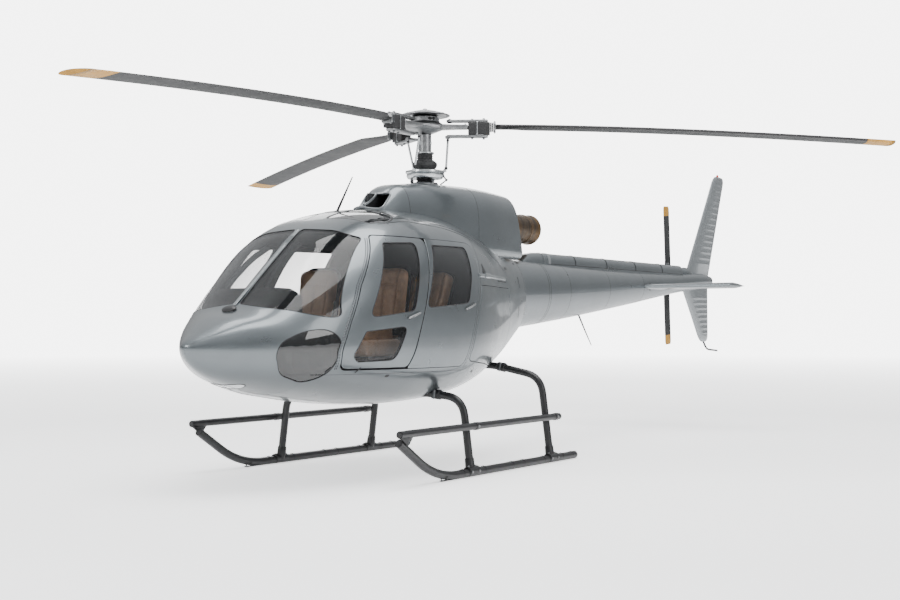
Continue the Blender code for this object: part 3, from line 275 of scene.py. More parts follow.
@dataclass(frozen=True)
class Machined(Finish):
    """Bare or anodised metal with tool marks and handling stains."""

    grain: Point3 = (12.0, 12.0, 260.0)

    def dress(self, sheet: NodeSheet) -> None:
        """Fills the sheet with drawn grain and stains."""
        lines = sheet.noise(1.0, 3.0, sheet.stretched(self.grain))
        stain = sheet.noise(24.0, 5.0, roughness=0.6)
        sheet.set(Base_Color=sheet.ramp(stain, self.shades(0.72, 1.12)))
        sheet.set(Roughness=sheet.range(lines, self.roughness - 0.07, self.roughness + 0.12))
        sheet.set(Normal=sheet.bump(lines, 0.15, 0.0005))


@dataclass(frozen=True)
class HeatedMetal(Finish):
    """Exhaust steel: bronze, blue and soot in bands along the pipe."""

    def dress(self, sheet: NodeSheet) -> None:
        """Fills the sheet with heat bands and soot."""
        bands = sheet.noise(1.0, 4.0, sheet.stretched((3.0, 16.0, 3.0)), 0.6)
        soot = sheet.noise(30.0, 6.0, roughness=0.7)
        red, green, blue = self.colour
        stops = [(0.25, (red * 0.45, green * 0.45, blue * 0.5)), (0.45, self.colour),
                 (0.62, (red * 1.5, green * 1.25, blue * 0.9)), (0.80, (red * 0.8, green * 0.95, blue * 1.6))]
        sheet.set(Base_Color=sheet.ramp(bands, stops))
        sheet.set(Roughness=sheet.range(soot, self.roughness - 0.08, self.roughness + 0.22))
        sheet.set(Normal=sheet.bump(soot, 0.2, 0.0008))


@dataclass(frozen=True)
class Glazing(Finish):
    """Tinted acrylic: clear ahead, and more of a mirror at a glance."""

    clearness: float = 0.82

    def dress(self, sheet: NodeSheet) -> None:
        """Fills the sheet with tint, gloss and fine wiping marks."""
        facing = sheet.add("ShaderNodeLayerWeight", Blend=0.25).outputs["Facing"]
        sheet.set(Alpha=sheet.range(facing, 1.0 - self.clearness, 0.88, (0.20, 1.0)))
        marks = sheet.noise(1.0, 4.0, sheet.stretched((9.0, 5.0, 30.0)), 0.7)
        sheet.set(Base_Color=sheet.ramp(marks, self.shades(0.9, 1.1)))
        sheet.set(Roughness=sheet.range(marks, self.roughness, self.roughness + 0.025))
        sheet.set(Coat_Weight=1.0, Coat_Roughness=0.01, IOR=1.5, Specular_IOR_Level=0.8)
        sheet.material.use_backface_culling = False


@dataclass(frozen=True)
class Leather(Finish):
    """Grained hide with darker creases and polished high spots."""

    def dress(self, sheet: NodeSheet) -> None:
        """Fills the sheet with grain cells, creases and wear."""
        cells = sheet.add("ShaderNodeTexVoronoi", Scale=310.0, Vector=sheet.place)
        cells.feature = "DISTANCE_TO_EDGE"
        folds = sheet.noise(26.0, 6.0, roughness=0.65)
        wear = sheet.noise(5.0, 3.0)
        mix = sheet.add("ShaderNodeMath", Value=folds)
        mix.operation = "MULTIPLY_ADD"
        mix.inputs[1].default_value = 0.5
        sheet.tree.links.new(sheet.range(wear, 0.12, 0.36), mix.inputs[2])
        sheet.set(Base_Color=sheet.ramp(mix.outputs["Value"], self.shades(0.62, 1.22)))
        sheet.set(Roughness=sheet.range(wear, self.roughness - 0.10, self.roughness + 0.08))
        sheet.set(Specular_IOR_Level=0.4)
        grain = sheet.bump(cells.outputs["Distance"], 0.12, 0.0003)
        sheet.set(Normal=sheet.bump(sheet.noise(22.0, 2.0), 0.25, 0.003, grain))


@dataclass(frozen=True)
class Carpet(Finish):
    """Short pile or moulded trim with a fine pebble."""

    pebble: float = 420.0

    def dress(self, sheet: NodeSheet) -> None:
        """Fills the sheet with pebble and tone."""
        cells = sheet.add("ShaderNodeTexVoronoi", Scale=self.pebble, Vector=sheet.place)
        sheet.set(Base_Color=sheet.ramp(sheet.noise(11.0, 5.0), self.shades(0.8, 1.25)))
        sheet.set(Roughness=sheet.range(sheet.noise(40.0), self.roughness - 0.05, self.roughness + 0.08),
                  Specular_IOR_Level=0.22)
        sheet.set(Normal=sheet.bump(cells.outputs["Distance"], 0.06, 0.0003))


@dataclass(frozen=True)
class Lamp(Finish):
    """A coloured or clear lamp lens."""

    def dress(self, sheet: NodeSheet) -> None:
        """Fills the sheet with fine ribs under a gloss."""
        ribs = sheet.noise(1.0, 1.0, sheet.stretched((60.0, 60.0, 400.0)))
        sheet.set(Base_Color=sheet.ramp(ribs, self.shades(0.85, 1.15)), Roughness=self.roughness)
        sheet.set(Coat_Weight=1.0, Coat_Roughness=0.03, Normal=sheet.bump(ribs, 0.2, 0.0006))


SILVER = MetallicPaint("silver_metallic", "silver_paint", (0.145, 0.163, 0.173), 0.30, 0.85)
LIGHT_SILVER = MetallicPaint("light_silver", "silver_paint", (0.27, 0.29, 0.30), 0.36, 0.75)
GLASS = Glazing("tinted_acrylic", "cabin_glass", (0.016, 0.018, 0.020), 0.02)
DARK_GLASS = Glazing("dark_acrylic", "cabin_glass", (0.008, 0.009, 0.010), 0.02, 0.0, 0.22)
RUBBER = Enamel("black_rubber", "black_enamel", (0.014, 0.014, 0.015), 0.55)
BLACK = Enamel("satin_black", "black_enamel", (0.008, 0.008, 0.009), 0.33)
# Grey line inside each window seal: painted highlight where the pane's edge catches the light.
PANE_EDGE_HIGHLIGHT = Enamel("grey_trim_line", "black_enamel", (0.22, 0.23, 0.24), 0.40)
BLADE = Enamel("blade_grey_coat", "blade_grey", (0.016, 0.017, 0.018), 0.62)
BLADE_EDGE = Machined("blade_edge_strip", "blade_grey", (0.016, 0.016, 0.017), 0.42, 0.4)
TIP = Enamel("ochre_tip", "blade_grey", (0.42, 0.21, 0.025), 0.55)
STEEL = Machined("machined_steel", "head_steel", (0.30, 0.305, 0.31), 0.36, 1.0)
DARK_STEEL = Machined("dark_steel", "head_steel", (0.11, 0.115, 0.12), 0.38, 0.9)
PIPE = HeatedMetal("heated_pipe", "exhaust_bronze", (0.082, 0.063, 0.047), 0.42, 1.0)
HIDE = Leather("tan_hide", "tan_leather", (0.37, 0.228, 0.138), 0.50)
LINING = Carpet("cabin_lining", "cabin_trim", (0.030, 0.031, 0.034), 0.72)
GREY_LINING = Carpet("grey_post_lining", "cabin_trim", (0.16, 0.165, 0.17), 0.62)
FLOORING = Carpet("cabin_carpet", "cabin_trim", (0.035, 0.034, 0.034), 0.90, 0.0, 260.0)
MOULDED = Carpet("moulded_black", "cabin_trim", (0.009, 0.009, 0.010), 0.58)
BEACON = Lamp("ribbed_red_lens", "red_lens", (0.55, 0.03, 0.01), 0.12)
LENS = Lamp("clear_lens", "cabin_glass", (0.60, 0.62, 0.64), 0.08)
SCREEN = Lamp("dark_screen", "cabin_glass", (0.010, 0.014, 0.018), 0.06)
DIAL = Enamel("dial_white", "cabin_trim", (0.55, 0.55, 0.53), 0.45)
THREAD = Enamel("seam_thread", "tan_leather", (0.115, 0.066, 0.038), 0.60)
ALUMINIUM = Machined("bright_aluminium", "head_steel", (0.62, 0.64, 0.65), 0.28, 1.0)


# Facets

@dataclass
class Facets:
    """A run of faces, with a normal for each point where the form gives one."""

    points: np.ndarray
    faces: list[tuple[int, ...]]
    normals: np.ndarray | None = None

    def moved(self, matrix: Matrix) -> "Facets":
        """The faces after a rigid move, a turn or a mirroring.

        Args:
            matrix: the move.

        Returns:
            New facets, still facing outwards.
        """
        grid = np.array(matrix)
        faces = self.faces
        if np.linalg.det(grid[:3, :3]) < 0:
            faces = [face[::-1] for face in faces]
        normals = None if self.normals is None else self.normals @ grid[:3, :3].T
        return Facets(self.points @ grid[:3, :3].T + grid[:3, 3], faces, normals)

    def mirrored(self) -> "Facets":
        """The same form on the other side of the machine."""
        return self.moved(Matrix.Scale(-1.0, 4, (1.0, 0.0, 0.0)))

    def on(self, side: Side) -> "Facets":
        """The form, drawn to port, on the given side."""
        return self if side is Side.LEFT else self.mirrored()

    def outward(self) -> "Facets":
        """The closed form with its faces pointing out."""
        volume = 0.0
        for face in self.faces:
            first = self.points[face[0]]
            for second, third in zip(face[1:], face[2:]):
                volume += first.dot(np.cross(self.points[second], self.points[third]))
        if volume < 0.0:
            return Facets(self.points, [face[::-1] for face in self.faces], self.normals)
        return self


def joined(parts: Iterable[Facets]) -> Facets:
    """Several runs of facets as one.

    Args:
        parts: the runs, all with normals or all without.

    Returns:
        One run.
    """
    parts = list(parts)
    faces: list[tuple[int, ...]] = []
    start = 0
    for part in parts:
        faces.extend(tuple(index + start for index in face) for face in part.faces)
        start += len(part.points)
    normals = None
    if all(part.normals is not None for part in parts):
        normals = np.concatenate([part.normals for part in parts])
    return Facets(np.concatenate([part.points for part in parts]), faces, normals)


Coat = tuple[Finish, Facets]


def merge_close(points: np.ndarray,
                faces: list[tuple[int, ...]]) -> tuple[np.ndarray, list[int], list[tuple[int, ...]]]:
    """Welds points that share a place and drops what has no area.

    Args:
        points: all points.
        faces: faces by index.

    Returns:
        The welded points, the new index of each old point, and for each face the corners kept.
    """
    keys, first, back = np.unique(np.round(points / 2e-5).astype(np.int64), axis=0, return_index=True,
                                  return_inverse=True)
    back = back.reshape(-1)
    kept = []
    for face in faces:
        corners = [corner for place, corner in enumerate(face) if back[corner] != back[face[place - 1]]]
        distinct = len({int(back[corner]) for corner in corners})
        kept.append(tuple(corners) if len(corners) > 2 and distinct == len(corners) else ())
    return points[first], back.tolist(), kept


def make_piece(name: str, body: str, coats: Sequence[Coat], replaces: Sequence[str] = (),
               sharp: float = 38.0) -> bpy.types.Object:
    """Makes a shown piece, in the frame's place, riding on a body.

    Args:
        name: the piece's name.
        body: the body it rides on.
        coats: each finish with its facets, in stations.
        replaces: the CAD nodes that it stands for.
        sharp: the angle over which an edge is shaded sharp, in degrees.

    Returns:
        The new object.
    """
    finishes = list(dict.fromkeys(finish for finish, _ in coats))
    points = np.concatenate([facets.points for _, facets in coats]) + np.array((0.0, MAST_Y, 0.0))
    normals = np.concatenate([np.full_like(facets.points, np.nan) if facets.normals is None else facets.normals
                              for _, facets in coats])
    faces: list[tuple[int, ...]] = []
    tags: list[int] = []
    start = 0
    for finish, facets in coats:
        faces.extend(tuple(index + start for index in face) for face in facets.faces)
        tags.extend([finishes.index(finish)] * len(facets.faces))
        start += len(facets.points)
    welded, back, kept = merge_close(points, faces)
    shown = [index for index, face in enumerate(kept) if face]
    corners = [[back[corner] for corner in kept[index]] for index in shown]
    used = sorted({corner for face in corners for corner in face})
    place = {corner: index for index, corner in enumerate(used)}
    mesh = bpy.data.meshes.new(name)
    mesh.from_pydata(welded[used].tolist(), [], [[place[corner] for corner in face] for face in corners])
    mesh.polygons.foreach_set("material_index", [tags[index] for index in shown])
    mesh.shade_smooth()
    mesh.set_sharp_from_angle(angle=math.radians(sharp))
    given = normals[np.concatenate([kept[index] for index in shown])]
    if not np.isnan(given).all():
        shaded = np.zeros(len(mesh.loops) * 3, np.float32)
        mesh.corner_normals.foreach_get("vector", shaded)
        shaded = shaded.reshape(-1, 3)
        mesh.normals_split_custom_set(np.where(np.isnan(given), shaded, given).tolist())
    for finish in finishes:
        mesh.materials.append(finish.material())
    obj = bpy.data.objects.new(name, mesh)
    bpy.context.scene.collection.objects.link(obj)
    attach(obj, body)
    if replaces:
        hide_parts(*replaces)
    LOG.info("%s rides on %s: %d faces", name, body, len(mesh.polygons))
    return obj


def rows_to_facets(rows: np.ndarray, around: bool = True, along: bool = False, caps: bool = True) -> Facets:
    """Quads between rows of points.

    Args:
        rows: an array of rows, points and coordinates.
        around: whether each row closes on itself.
        along: whether the last row joins the first.
        caps: whether open end rows are filled.

    Returns:
        The facets.
    """
    count, width = rows.shape[:2]
    faces: list[tuple[int, ...]] = []
    for row in range(count if along else count - 1):
        after = (row + 1) % count
        for place in range(width if around else width - 1):
            side = (place + 1) % width
            faces.append((row * width + place, row * width + side, after * width + side, after * width + place))
    if caps and around and not along:
        faces.append(tuple(range(width))[::-1])
        faces.append(tuple(range((count - 1) * width, count * width)))
    return Facets(rows.reshape(-1, 3).astype(float), faces)


def arc(radius: float, steps: int, start: float = 0.0, turn: float = 2.0 * math.pi) -> np.ndarray:
    """Points on a circle in a plane.

    Args:
        radius: the circle's radius.
        steps: the number of points.
        start: the first angle.
        turn: the whole angle.

    Returns:
        An array of two coordinates a point.
    """
    angles = start + np.arange(steps) * turn / (steps if abs(turn) > 6.28 else steps - 1)
    return np.stack([radius * np.cos(angles), radius * np.sin(angles)], axis=1)


def transport(path: np.ndarray, closed: bool = False, up: Point3 | None = None) -> tuple[np.ndarray, np.ndarray]:
    """Two directions square to a path at each of its points, turning as little as they can.

    Args:
        path: points along the path.
        closed: whether the path is a loop.
        up: the first direction's wish, or None for any.

    Returns:
        The two arrays of directions.
    """
    if closed:
        tangents = np.roll(path, -1, axis=0) - np.roll(path, 1, axis=0)
    else:
        tangents = np.gradient(path, axis=0)
    tangents /= np.linalg.norm(tangents, axis=1)[:, None]
    side = np.array(up if up is not None else np.eye(3)[np.argmin(np.abs(tangents[0]))], float)
    first, second = [], []
    for tangent in tangents:
        side = side - tangent * tangent.dot(side)
        side /= np.linalg.norm(side)
        first.append(side)
        second.append(np.cross(tangent, side))
    return np.array(first), np.array(second)


def tube(path: Sequence[Point3], radius: float | Sequence[float], sides: int = 16,
         closed: bool = False, dome: bool = False) -> Facets:
    """A round tube along a path.

    Args:
        path: points along the middle.
        radius: one radius, or one for each point.
        sides: faces around.
        closed: whether the path is a loop.
        dome: whether the ends are rounded off.

    Returns:
        The facets.
    """
    middle = np.array(path, float)
    radii = np.full(len(middle), radius) if np.isscalar(radius) else np.array(radius, float)
    if dome:
        ahead = (middle[-1] - middle[-2]) / np.linalg.norm(middle[-1] - middle[-2])
        back = (middle[0] - middle[1]) / np.linalg.norm(middle[0] - middle[1])
        rise = np.sin(np.linspace(0.0, 1.0, 5)[1:] * 1.45)
        shrink = np.cos(np.linspace(0.0, 1.0, 5)[1:] * 1.45)
        middle = np.concatenate([middle[0] + back * (rise * radii[0])[::-1, None], middle,
                                 middle[-1] + ahead * (rise * radii[-1])[:, None]])
        radii = np.concatenate([radii[0] * shrink[::-1], radii, radii[-1] * shrink])
    first, second = transport(middle, closed)
    circle = arc(1.0, sides)
    spread = first[:, None] * circle[None, :, :1] + second[:, None] * circle[None, :, 1:]
    rows = middle[:, None] + radii[:, None, None] * spread
    return rows_to_facets(rows, along=closed, caps=not closed).outward()


def sweep(path: Sequence[Point3], profile: Sequence[Point2], up: Point3, closed: bool = False) -> Facets:
    """A closed profile carried along a path.

    Args:
        path: points along the path.
        profile: points across and up.
        up: the profile's up direction at the start.
        closed: whether the path is a loop.

    Returns:
        The facets.
    """
    middle = np.array(path, float)
    above, across = transport(middle, closed, up)
    shape = np.array(profile, float)
    rows = middle[:, None] + across[:, None] * shape[None, :, :1] + above[:, None] * shape[None, :, 1:]
    return rows_to_facets(rows, along=closed, caps=not closed).outward()


def filleted(points: Sequence[Point3], radius: float, steps: int = 8) -> list[Point3]:
    """The route with its inner corners rounded.

    Args:
        points: the route's corners.
        radius: how far from each corner the bend starts.
        steps: points in a bend.

    Returns:
        The new route.
    """
    route = [np.array(points[0], float)]
    for back, here, ahead in zip(points, points[1:], points[2:]):
        here = np.array(here, float)
        start = here + (np.array(back) - here) * min(radius / np.linalg.norm(np.array(back) - here), 0.49)
        end = here + (np.array(ahead) - here) * min(radius / np.linalg.norm(np.array(ahead) - here), 0.49)
        for step in range(steps + 1):
            share = step / steps
            route.append(start * (1 - share) ** 2 + here * (2 * share * (1 - share)) + end * share ** 2)
    route.append(np.array(points[-1], float))
    return [tuple(point) for point in route]


def lathe(profile: Sequence[Point2], steps: int = 40, centre: Point3 = (0.0, 0.0, 0.0),
          axis: str = "Z") -> Facets:
    """A turned form from a profile of radius and height.

    Args:
        profile: the profile, closed through the axis or on itself.
        steps: faces around.
        centre: the place of the profile's origin.
        axis: X, Y or Z.

    Returns:
        The facets.
    """
    circle = arc(1.0, steps)
    rows = np.array([[(radius * across, radius * along, height) for across, along in circle]
                     for radius, height in profile])
    facets = rows_to_facets(rows, caps=profile[0] != profile[-1]).outward()
    turns = {"X": Matrix.Rotation(HALF_TURN, 4, "Y"), "Y": Matrix.Rotation(-HALF_TURN, 4, "X"),
             "Z": Matrix.Identity(4)}
    return facets.moved(Matrix.Translation(centre) @ turns[axis])


def block(low: Point3, high: Point3, bevel: float = 0.002, segments: int = 2) -> Facets:
    """A box between two corners with rounded edges.

    Args:
        low: the lowest corner.
        high: the highest corner.
        bevel: the rounding.
        segments: faces across an edge.

    Returns:
        The facets.
    """
    bm = bmesh.new()
    bmesh.ops.create_cube(bm, size=1.0)
    for vert in bm.verts:
        vert.co = [a + (b - a) * (share + 0.5) for a, b, share in zip(low, high, vert.co)]
    bmesh.ops.bevel(bm, geom=list(bm.edges), offset=bevel, segments=segments, affect="EDGES", profile=0.5)
    bm.verts.index_update()
    points = np.array([vert.co[:] for vert in bm.verts])
    faces = [tuple(vert.index for vert in face.verts) for face in bm.faces]
    bm.free()
    return Facets(points, faces)


# Flat outlines

def rounded(points: Sequence[Point2], radius: float | Sequence[float], steps: int = 8) -> list[Point2]:
    """The outline with each corner turned into an arc.

    Args:
        points: the corners.
        radius: one radius, or one a corner.
        steps: points in an arc.

    Returns:
        The new outline.
    """
    count = len(points)
    radii = [radius] * count if np.isscalar(radius) else list(radius)
    outline = []
    for index, corner in enumerate(points):
        here = Vector(corner)
        back = Vector(points[index - 1]) - here
        ahead = Vector(points[(index + 1) % count]) - here
        reach = min(radii[index] / math.tan(back.angle(ahead) / 2.0), 0.49 * back.length, 0.49 * ahead.length)
        if reach < 0.0005:
            outline.append(tuple(here))
            continue
        start = here + back.normalized() * reach
        end = here + ahead.normalized() * reach
        for step in range(steps + 1):
            share = step / steps
            outline.append(tuple(start * (1 - share) ** 2 + here * (2 * share * (1 - share)) + end * share ** 2))
    return outline


def inset(points: Sequence[Point2], amount: float) -> list[Point2]:
    """The outline moved inwards, or outwards where the amount is negative.

    Args:
        points: the outline.
        amount: how far.

    Returns:
        The new outline.
    """
    loop = np.array(points, float)
    ahead = np.roll(loop, -1, axis=0)
    turn = 1.0 if np.sum(loop[:, 0] * ahead[:, 1] - ahead[:, 0] * loop[:, 1]) > 0 else -1.0
    onward = ahead - loop
    onward /= np.linalg.norm(onward, axis=1)[:, None]
    before = np.roll(onward, 1, axis=0)
    normal = np.stack([-before[:, 1] - onward[:, 1], before[:, 0] + onward[:, 0]], axis=1)
    normal *= turn / np.linalg.norm(normal, axis=1)[:, None]
    lean = np.maximum(np.einsum("ij,ij->i", normal, np.stack([-before[:, 1], before[:, 0]], axis=1)) * turn, 0.5)
    return [tuple(point) for point in loop + normal * (amount / lean)[:, None]]


def traced(points: Sequence[Point2], spacing: float = 0.018, closed: bool = True) -> np.ndarray:
    """The outline with points added along its long edges.

    Args:
        points: the outline.
        spacing: the longest step.
        closed: whether it is a loop.

    Returns:
        An array of points.
    """
    loop = list(points) + ([points[0]] if closed else [])
    result = []
    for start, end in zip(loop, loop[1:]):
        steps = max(1, math.ceil(math.dist(start, end) / spacing))
        result.extend(np.array(start) + (np.array(end) - np.array(start)) * step / steps for step in range(steps))
    if not closed:
        result.append(np.array(loop[-1]))
    return np.array(result)


LAYOUT = {
    View.SIDE: Matrix(((0, 0, 1, 0), (1, 0, 0, 0), (0, 1, 0, 0), (0, 0, 0, 1))),
    View.FRONT: Matrix(((1, 0, 0, 0), (0, 0, -1, 0), (0, 1, 0, 0), (0, 0, 0, 1))),
    View.TOP: Matrix.Identity(4),
}


def plate(outline: Sequence[Point2], low: float, high: float, view: View = View.SIDE,
          bevel: float = 0.002) -> Facets:
    """A flat outline filled between two depths, with rounded edges.

    Args:
        outline: the outline as drawn in the view.
        low: the nearer depth along the view's axis.
        high: the further depth.
        view: where the outline is drawn from.
        bevel: the rounding of the edges.

    Returns:
        The facets.
    """
    rows = []
    for angle in np.linspace(0.0, HALF_TURN, 4):
        shape = inset(outline, bevel * (1.0 - math.sin(angle)))
        rows.append([(a, b, low + bevel * (1.0 - math.cos(angle))) for a, b in shape])
    for angle in np.linspace(HALF_TURN, 0.0, 4):
        shape = inset(outline, bevel * (1.0 - math.sin(angle)))
        rows.append([(a, b, high - bevel * (1.0 - math.cos(angle))) for a, b in shape])
    facets = rows_to_facets(np.array(rows)).outward()
    layout = LAYOUT[view]
    if view is View.FRONT:
        facets = Facets(facets.points * np.array((1.0, 1.0, -1.0)), [face[::-1] for face in facets.faces])
    return facets.moved(layout)


# Curved skins

def cubic(knots: np.ndarray, values: np.ndarray, places: np.ndarray) -> np.ndarray:
    """A smooth curve through knots, each slope taken from the neighbours.

    Args:
        knots: where the values are given.
        values: the values there.
        places: where the curve is read.

    Returns:
        The curve's values.
    """
    step = np.diff(knots)
    slope = np.diff(values) / step
    inner = (slope[:-1] * step[1:] + slope[1:] * step[:-1]) / (step[1:] + step[:-1])
    tangent = np.concatenate([[slope[0]], inner, [slope[-1]]])
    index = np.clip(np.searchsorted(knots, places, side="right") - 1, 0, len(knots) - 2)
    t = (places - knots[index]) / step[index]
    return ((2 * t ** 3 - 3 * t ** 2 + 1) * values[index]
            + (t ** 3 - 2 * t ** 2 + t) * step[index] * tangent[index]
            + (3 * t ** 2 - 2 * t ** 3) * values[index + 1]
            + (t ** 3 - t ** 2) * step[index] * tangent[index + 1])


def inside_loops(loop_points: np.ndarray, loop_ends: np.ndarray, places: np.ndarray) -> np.ndarray:
    """Whether places lie inside closed edges, by counting crossings.

    Args:
        loop_points: where each edge starts.
        loop_ends: where each edge ends.
        places: the places asked about.

    Returns:
        A flag for each place.
    """
    result = np.zeros(len(places), bool)
    for start in range(0, len(places), 4000):
        px, py = places[start:start + 4000, 0][:, None], places[start:start + 4000, 1][:, None]
        ax, ay, bx, by = loop_points[:, 0], loop_points[:, 1], loop_ends[:, 0], loop_ends[:, 1]
        spans = (ay > py) != (by > py)
        with np.errstate(divide="ignore", invalid="ignore"):
            crossing = ax + (py - ay) * (bx - ax) / (by - ay)
        result[start:start + 4000] = (np.sum(spans & (px < crossing), axis=1) % 2) == 1
    return result


@dataclass
class Panel:
    """A closed sheet on a skin, in three runs of facets."""

    face: Facets
    edge: Facets
    back: Facets

    def coats(self, face: Finish, edge: Finish, back: Finish, side: Side | None = None) -> list[Coat]:
        """The runs with their finishes; without a side, both halves are given."""
        sides = [side] if side else list(Side)
        return [(finish, run.on(each)) for each in sides
                for finish, run in ((face, self.face), (edge, self.edge), (back, self.back)) if len(run.faces)]


class Skin:
    """A body of superellipse sections; a place on it is a polar angle and a reach aft."""

    def __init__(self, table: Sequence[Sequence[float]], pointed: bool = False, cell: Point2 = (0.075, 0.030),
                 widest: float = -0.95) -> None:
        """Reads the sections.

        Args:
            table: station, half width, top, bottom, widest height, upper and lower roundness.
            pointed: whether the front closes in a round nose.
            cell: the mesh step in angle and reach.
            widest: the station up to which the body grows, for outlines drawn from the front.
        """
        self.widest = widest
        self.table = np.array(table, float)
        self.pointed = pointed
        self.origin = self.table[0, 0]
        self.knots = self.reach(self.table[:, 0])
        self.cell = np.array(cell)

    def reach(self, station: np.ndarray | float) -> np.ndarray:
        """The reach of a station."""
        along = np.clip(np.asarray(station, float) - self.origin, 0.0, self.table[-1, 0] - self.origin)
        return np.sqrt(along) if self.pointed else along

    def station(self, reach: np.ndarray) -> np.ndarray:
        """The station of a reach."""
        return self.origin + (reach ** 2 if self.pointed else reach)

    def section(self, reach: np.ndarray) -> list[np.ndarray]:
        """Half width, top, bottom, widest height and two roundnesses at each reach."""
        return [cubic(self.knots, self.table[:, column], np.asarray(reach, float)) for column in range(1, 7)]

    def point(self, spots: np.ndarray) -> np.ndarray:
        """Points in stations for places of angle and reach.

        Args:
            spots: an array of angle and reach.

        Returns:
            An array of points.
        """
        angle, reach = spots[:, 0], spots[:, 1]
        width, top, bottom, waist, upper, lower = self.section(reach)
        across, up = np.cos(angle), np.sin(angle)
        power = np.where(up >= 0, upper, lower)
        height = np.where(up >= 0, top - waist, waist - bottom)
        radius = (np.abs(across) ** power + np.abs(up) ** power) ** (-1.0 / power)
        return np.stack([width * radius * across, self.station(reach), waist + height * radius * up], axis=1)

    def frame(self, spots: np.ndarray) -> tuple[np.ndarray, np.ndarray]:
        """Points and outward normals for places of angle and reach.

        Args:
            spots: an array of angle and reach.

        Returns:
            The points and the normals.
        """
        tiny = 2e-4
        low = spots - (0.0, tiny)
        low[:, 1] = np.maximum(low[:, 1], 0.0)
        high = spots + (0.0, tiny)
        high[:, 1] = np.minimum(high[:, 1], self.knots[-1])
        aft = self.point(high) - self.point(low)
        round_it = self.point(spots + (tiny, 0.0)) - self.point(spots - (tiny, 0.0))
        normal = np.cross(aft, round_it)
        length = np.linalg.norm(normal, axis=1)
        blunt = length < 1e-12
        normal = normal / np.where(blunt, 1.0, length)[:, None]
        normal[blunt] = (0.0, -1.0, 0.0)
        if self.pointed:
            normal[spots[:, 1] < 1e-6] = (0.0, -1.0, 0.0)
        middle = np.abs(np.abs(spots[:, 0]) - HALF_TURN) < 1e-7
        normal[middle, 0] = 0.0
        points = self.point(spots)
        points[middle, 0] = 0.0
        return points, normal

    def spots(self, outline: Sequence[Point2] | np.ndarray, view: View = View.SIDE) -> np.ndarray:
        """The port side's places under an outline drawn in a view.

        Args:
            outline: points across and up in the view.
            view: where it is drawn from.

        Returns:
            An array of angle and reach.
        """
        drawn = np.array(outline, float)
        if view is View.FRONT:
            return self.spots_ahead(drawn)
        reach = self.reach(drawn[:, 0] if view is View.SIDE else drawn[:, 1])
        width, top, bottom, waist, upper, lower = self.section(reach)
        if view is View.TOP:
            across = np.clip(drawn[:, 0] / np.maximum(width, 1e-9), 0.0, 1.0)
            up = (1.0 - across ** upper) ** (1.0 / upper)
            return np.stack([np.arctan2(up, across), reach], axis=1)
        rise = drawn[:, 1] - waist
        power = np.where(rise >= 0, upper, lower)
        height = np.maximum(np.where(rise >= 0, top - waist, waist - bottom), 1e-9)
        up = np.clip(np.abs(rise) / height, 0.0, 1.0)
        across = (1.0 - up ** power) ** (1.0 / power)
        return np.stack([np.arctan2(np.sign(rise) * up, across), reach], axis=1)

    def spots_ahead(self, drawn: np.ndarray) -> np.ndarray:
        """Places under points drawn from the front, found by halving.

        Args:
            drawn: an array of points across and up.

        Returns:
            An array of angle and reach.
        """
        low = np.zeros(len(drawn))
        high = np.full(len(drawn), float(self.reach(self.widest)))
        for _ in range(40):
            middle = (low + high) / 2.0
            width, top, bottom, waist, upper, lower = self.section(middle)
            rise = drawn[:, 1] - waist
            power = np.where(rise >= 0, upper, lower)
            height = np.maximum(np.where(rise >= 0, top - waist, waist - bottom), 1e-9)
            outside = (np.abs(drawn[:, 0]) / np.maximum(width, 1e-9)) ** power + (np.abs(rise) / height) ** power > 1.0
            low = np.where(outside, middle, low)
            high = np.where(outside, high, middle)
        return np.stack([np.arctan2(rise / height, np.abs(drawn[:, 0]) / np.maximum(width, 1e-9)), high], axis=1)

    def panel(self, outline: np.ndarray, holes: Sequence[np.ndarray] = (), outer: float = 0.0, inner: float = WALL,
              roll: float = 0.0015, halved: bool = False, finer: float = 1.0) -> Panel:
        """A closed sheet under an outline, between two depths, with rolled edges.

        Args:
            outline: the outline's places.
            holes: outlines that are cut out; they may cross the first one.
            outer: the depth of its outer face.
            inner: the depth of its inner face.
            roll: the rounding of its outer edge.
            halved: whether it is the port half of a sheet that crosses the middle.
            finer: divides the mesh step.

        Returns:
            The panel.
        """
        cell = self.cell / finer
        loops = [without_repeats(loop) / cell for loop in (outline, *holes)]
        starts = np.concatenate(loops)
        ends = np.concatenate([np.roll(loop, -1, axis=0) for loop in loops])
        low, high = np.floor(loops[0].min(axis=0)), np.ceil(loops[0].max(axis=0))
        grid = np.array([(u + 0.5 * (int(v) % 2), v) for v in np.arange(low[1], high[1] + 1)
                         for u in np.arange(low[0], high[0] + 1)])
        grid = grid[self.covered(loops, grid)]
        if len(grid):
            near = np.array([np.min(np.sum((starts - place) ** 2, axis=1)) for place in grid])
            grid = grid[near > 0.30]
        edges = []
        first = 0
        for loop in loops:
            edges.extend((first + place, first + (place + 1) % len(loop)) for place in range(len(loop)))
            first += len(loop)
        net = geometry.delaunay_2d_cdt([Vector(place) for place in np.concatenate([starts, grid])],
                                       edges, [], 0, 1e-6)
        places = np.array([tuple(vert) for vert in net[0]])
        triangles = np.array(net[2])
        middles = places[triangles].mean(axis=1)
        triangles = triangles[self.covered(loops, middles)]
        used, triangles = np.unique(triangles, return_inverse=True)
        triangles = triangles.reshape(-1, 3)
        places = places[used]
        a, b, c = places[triangles[:, 0]], places[triangles[:, 1]], places[triangles[:, 2]]
        area = (b[:, 0] - a[:, 0]) * (c[:, 1] - a[:, 1]) - (b[:, 1] - a[:, 1]) * (c[:, 0] - a[:, 0])
        triangles[area < 0] = triangles[area < 0][:, ::-1]
        return self.sheet(places * cell, triangles, outer, inner, roll, halved)

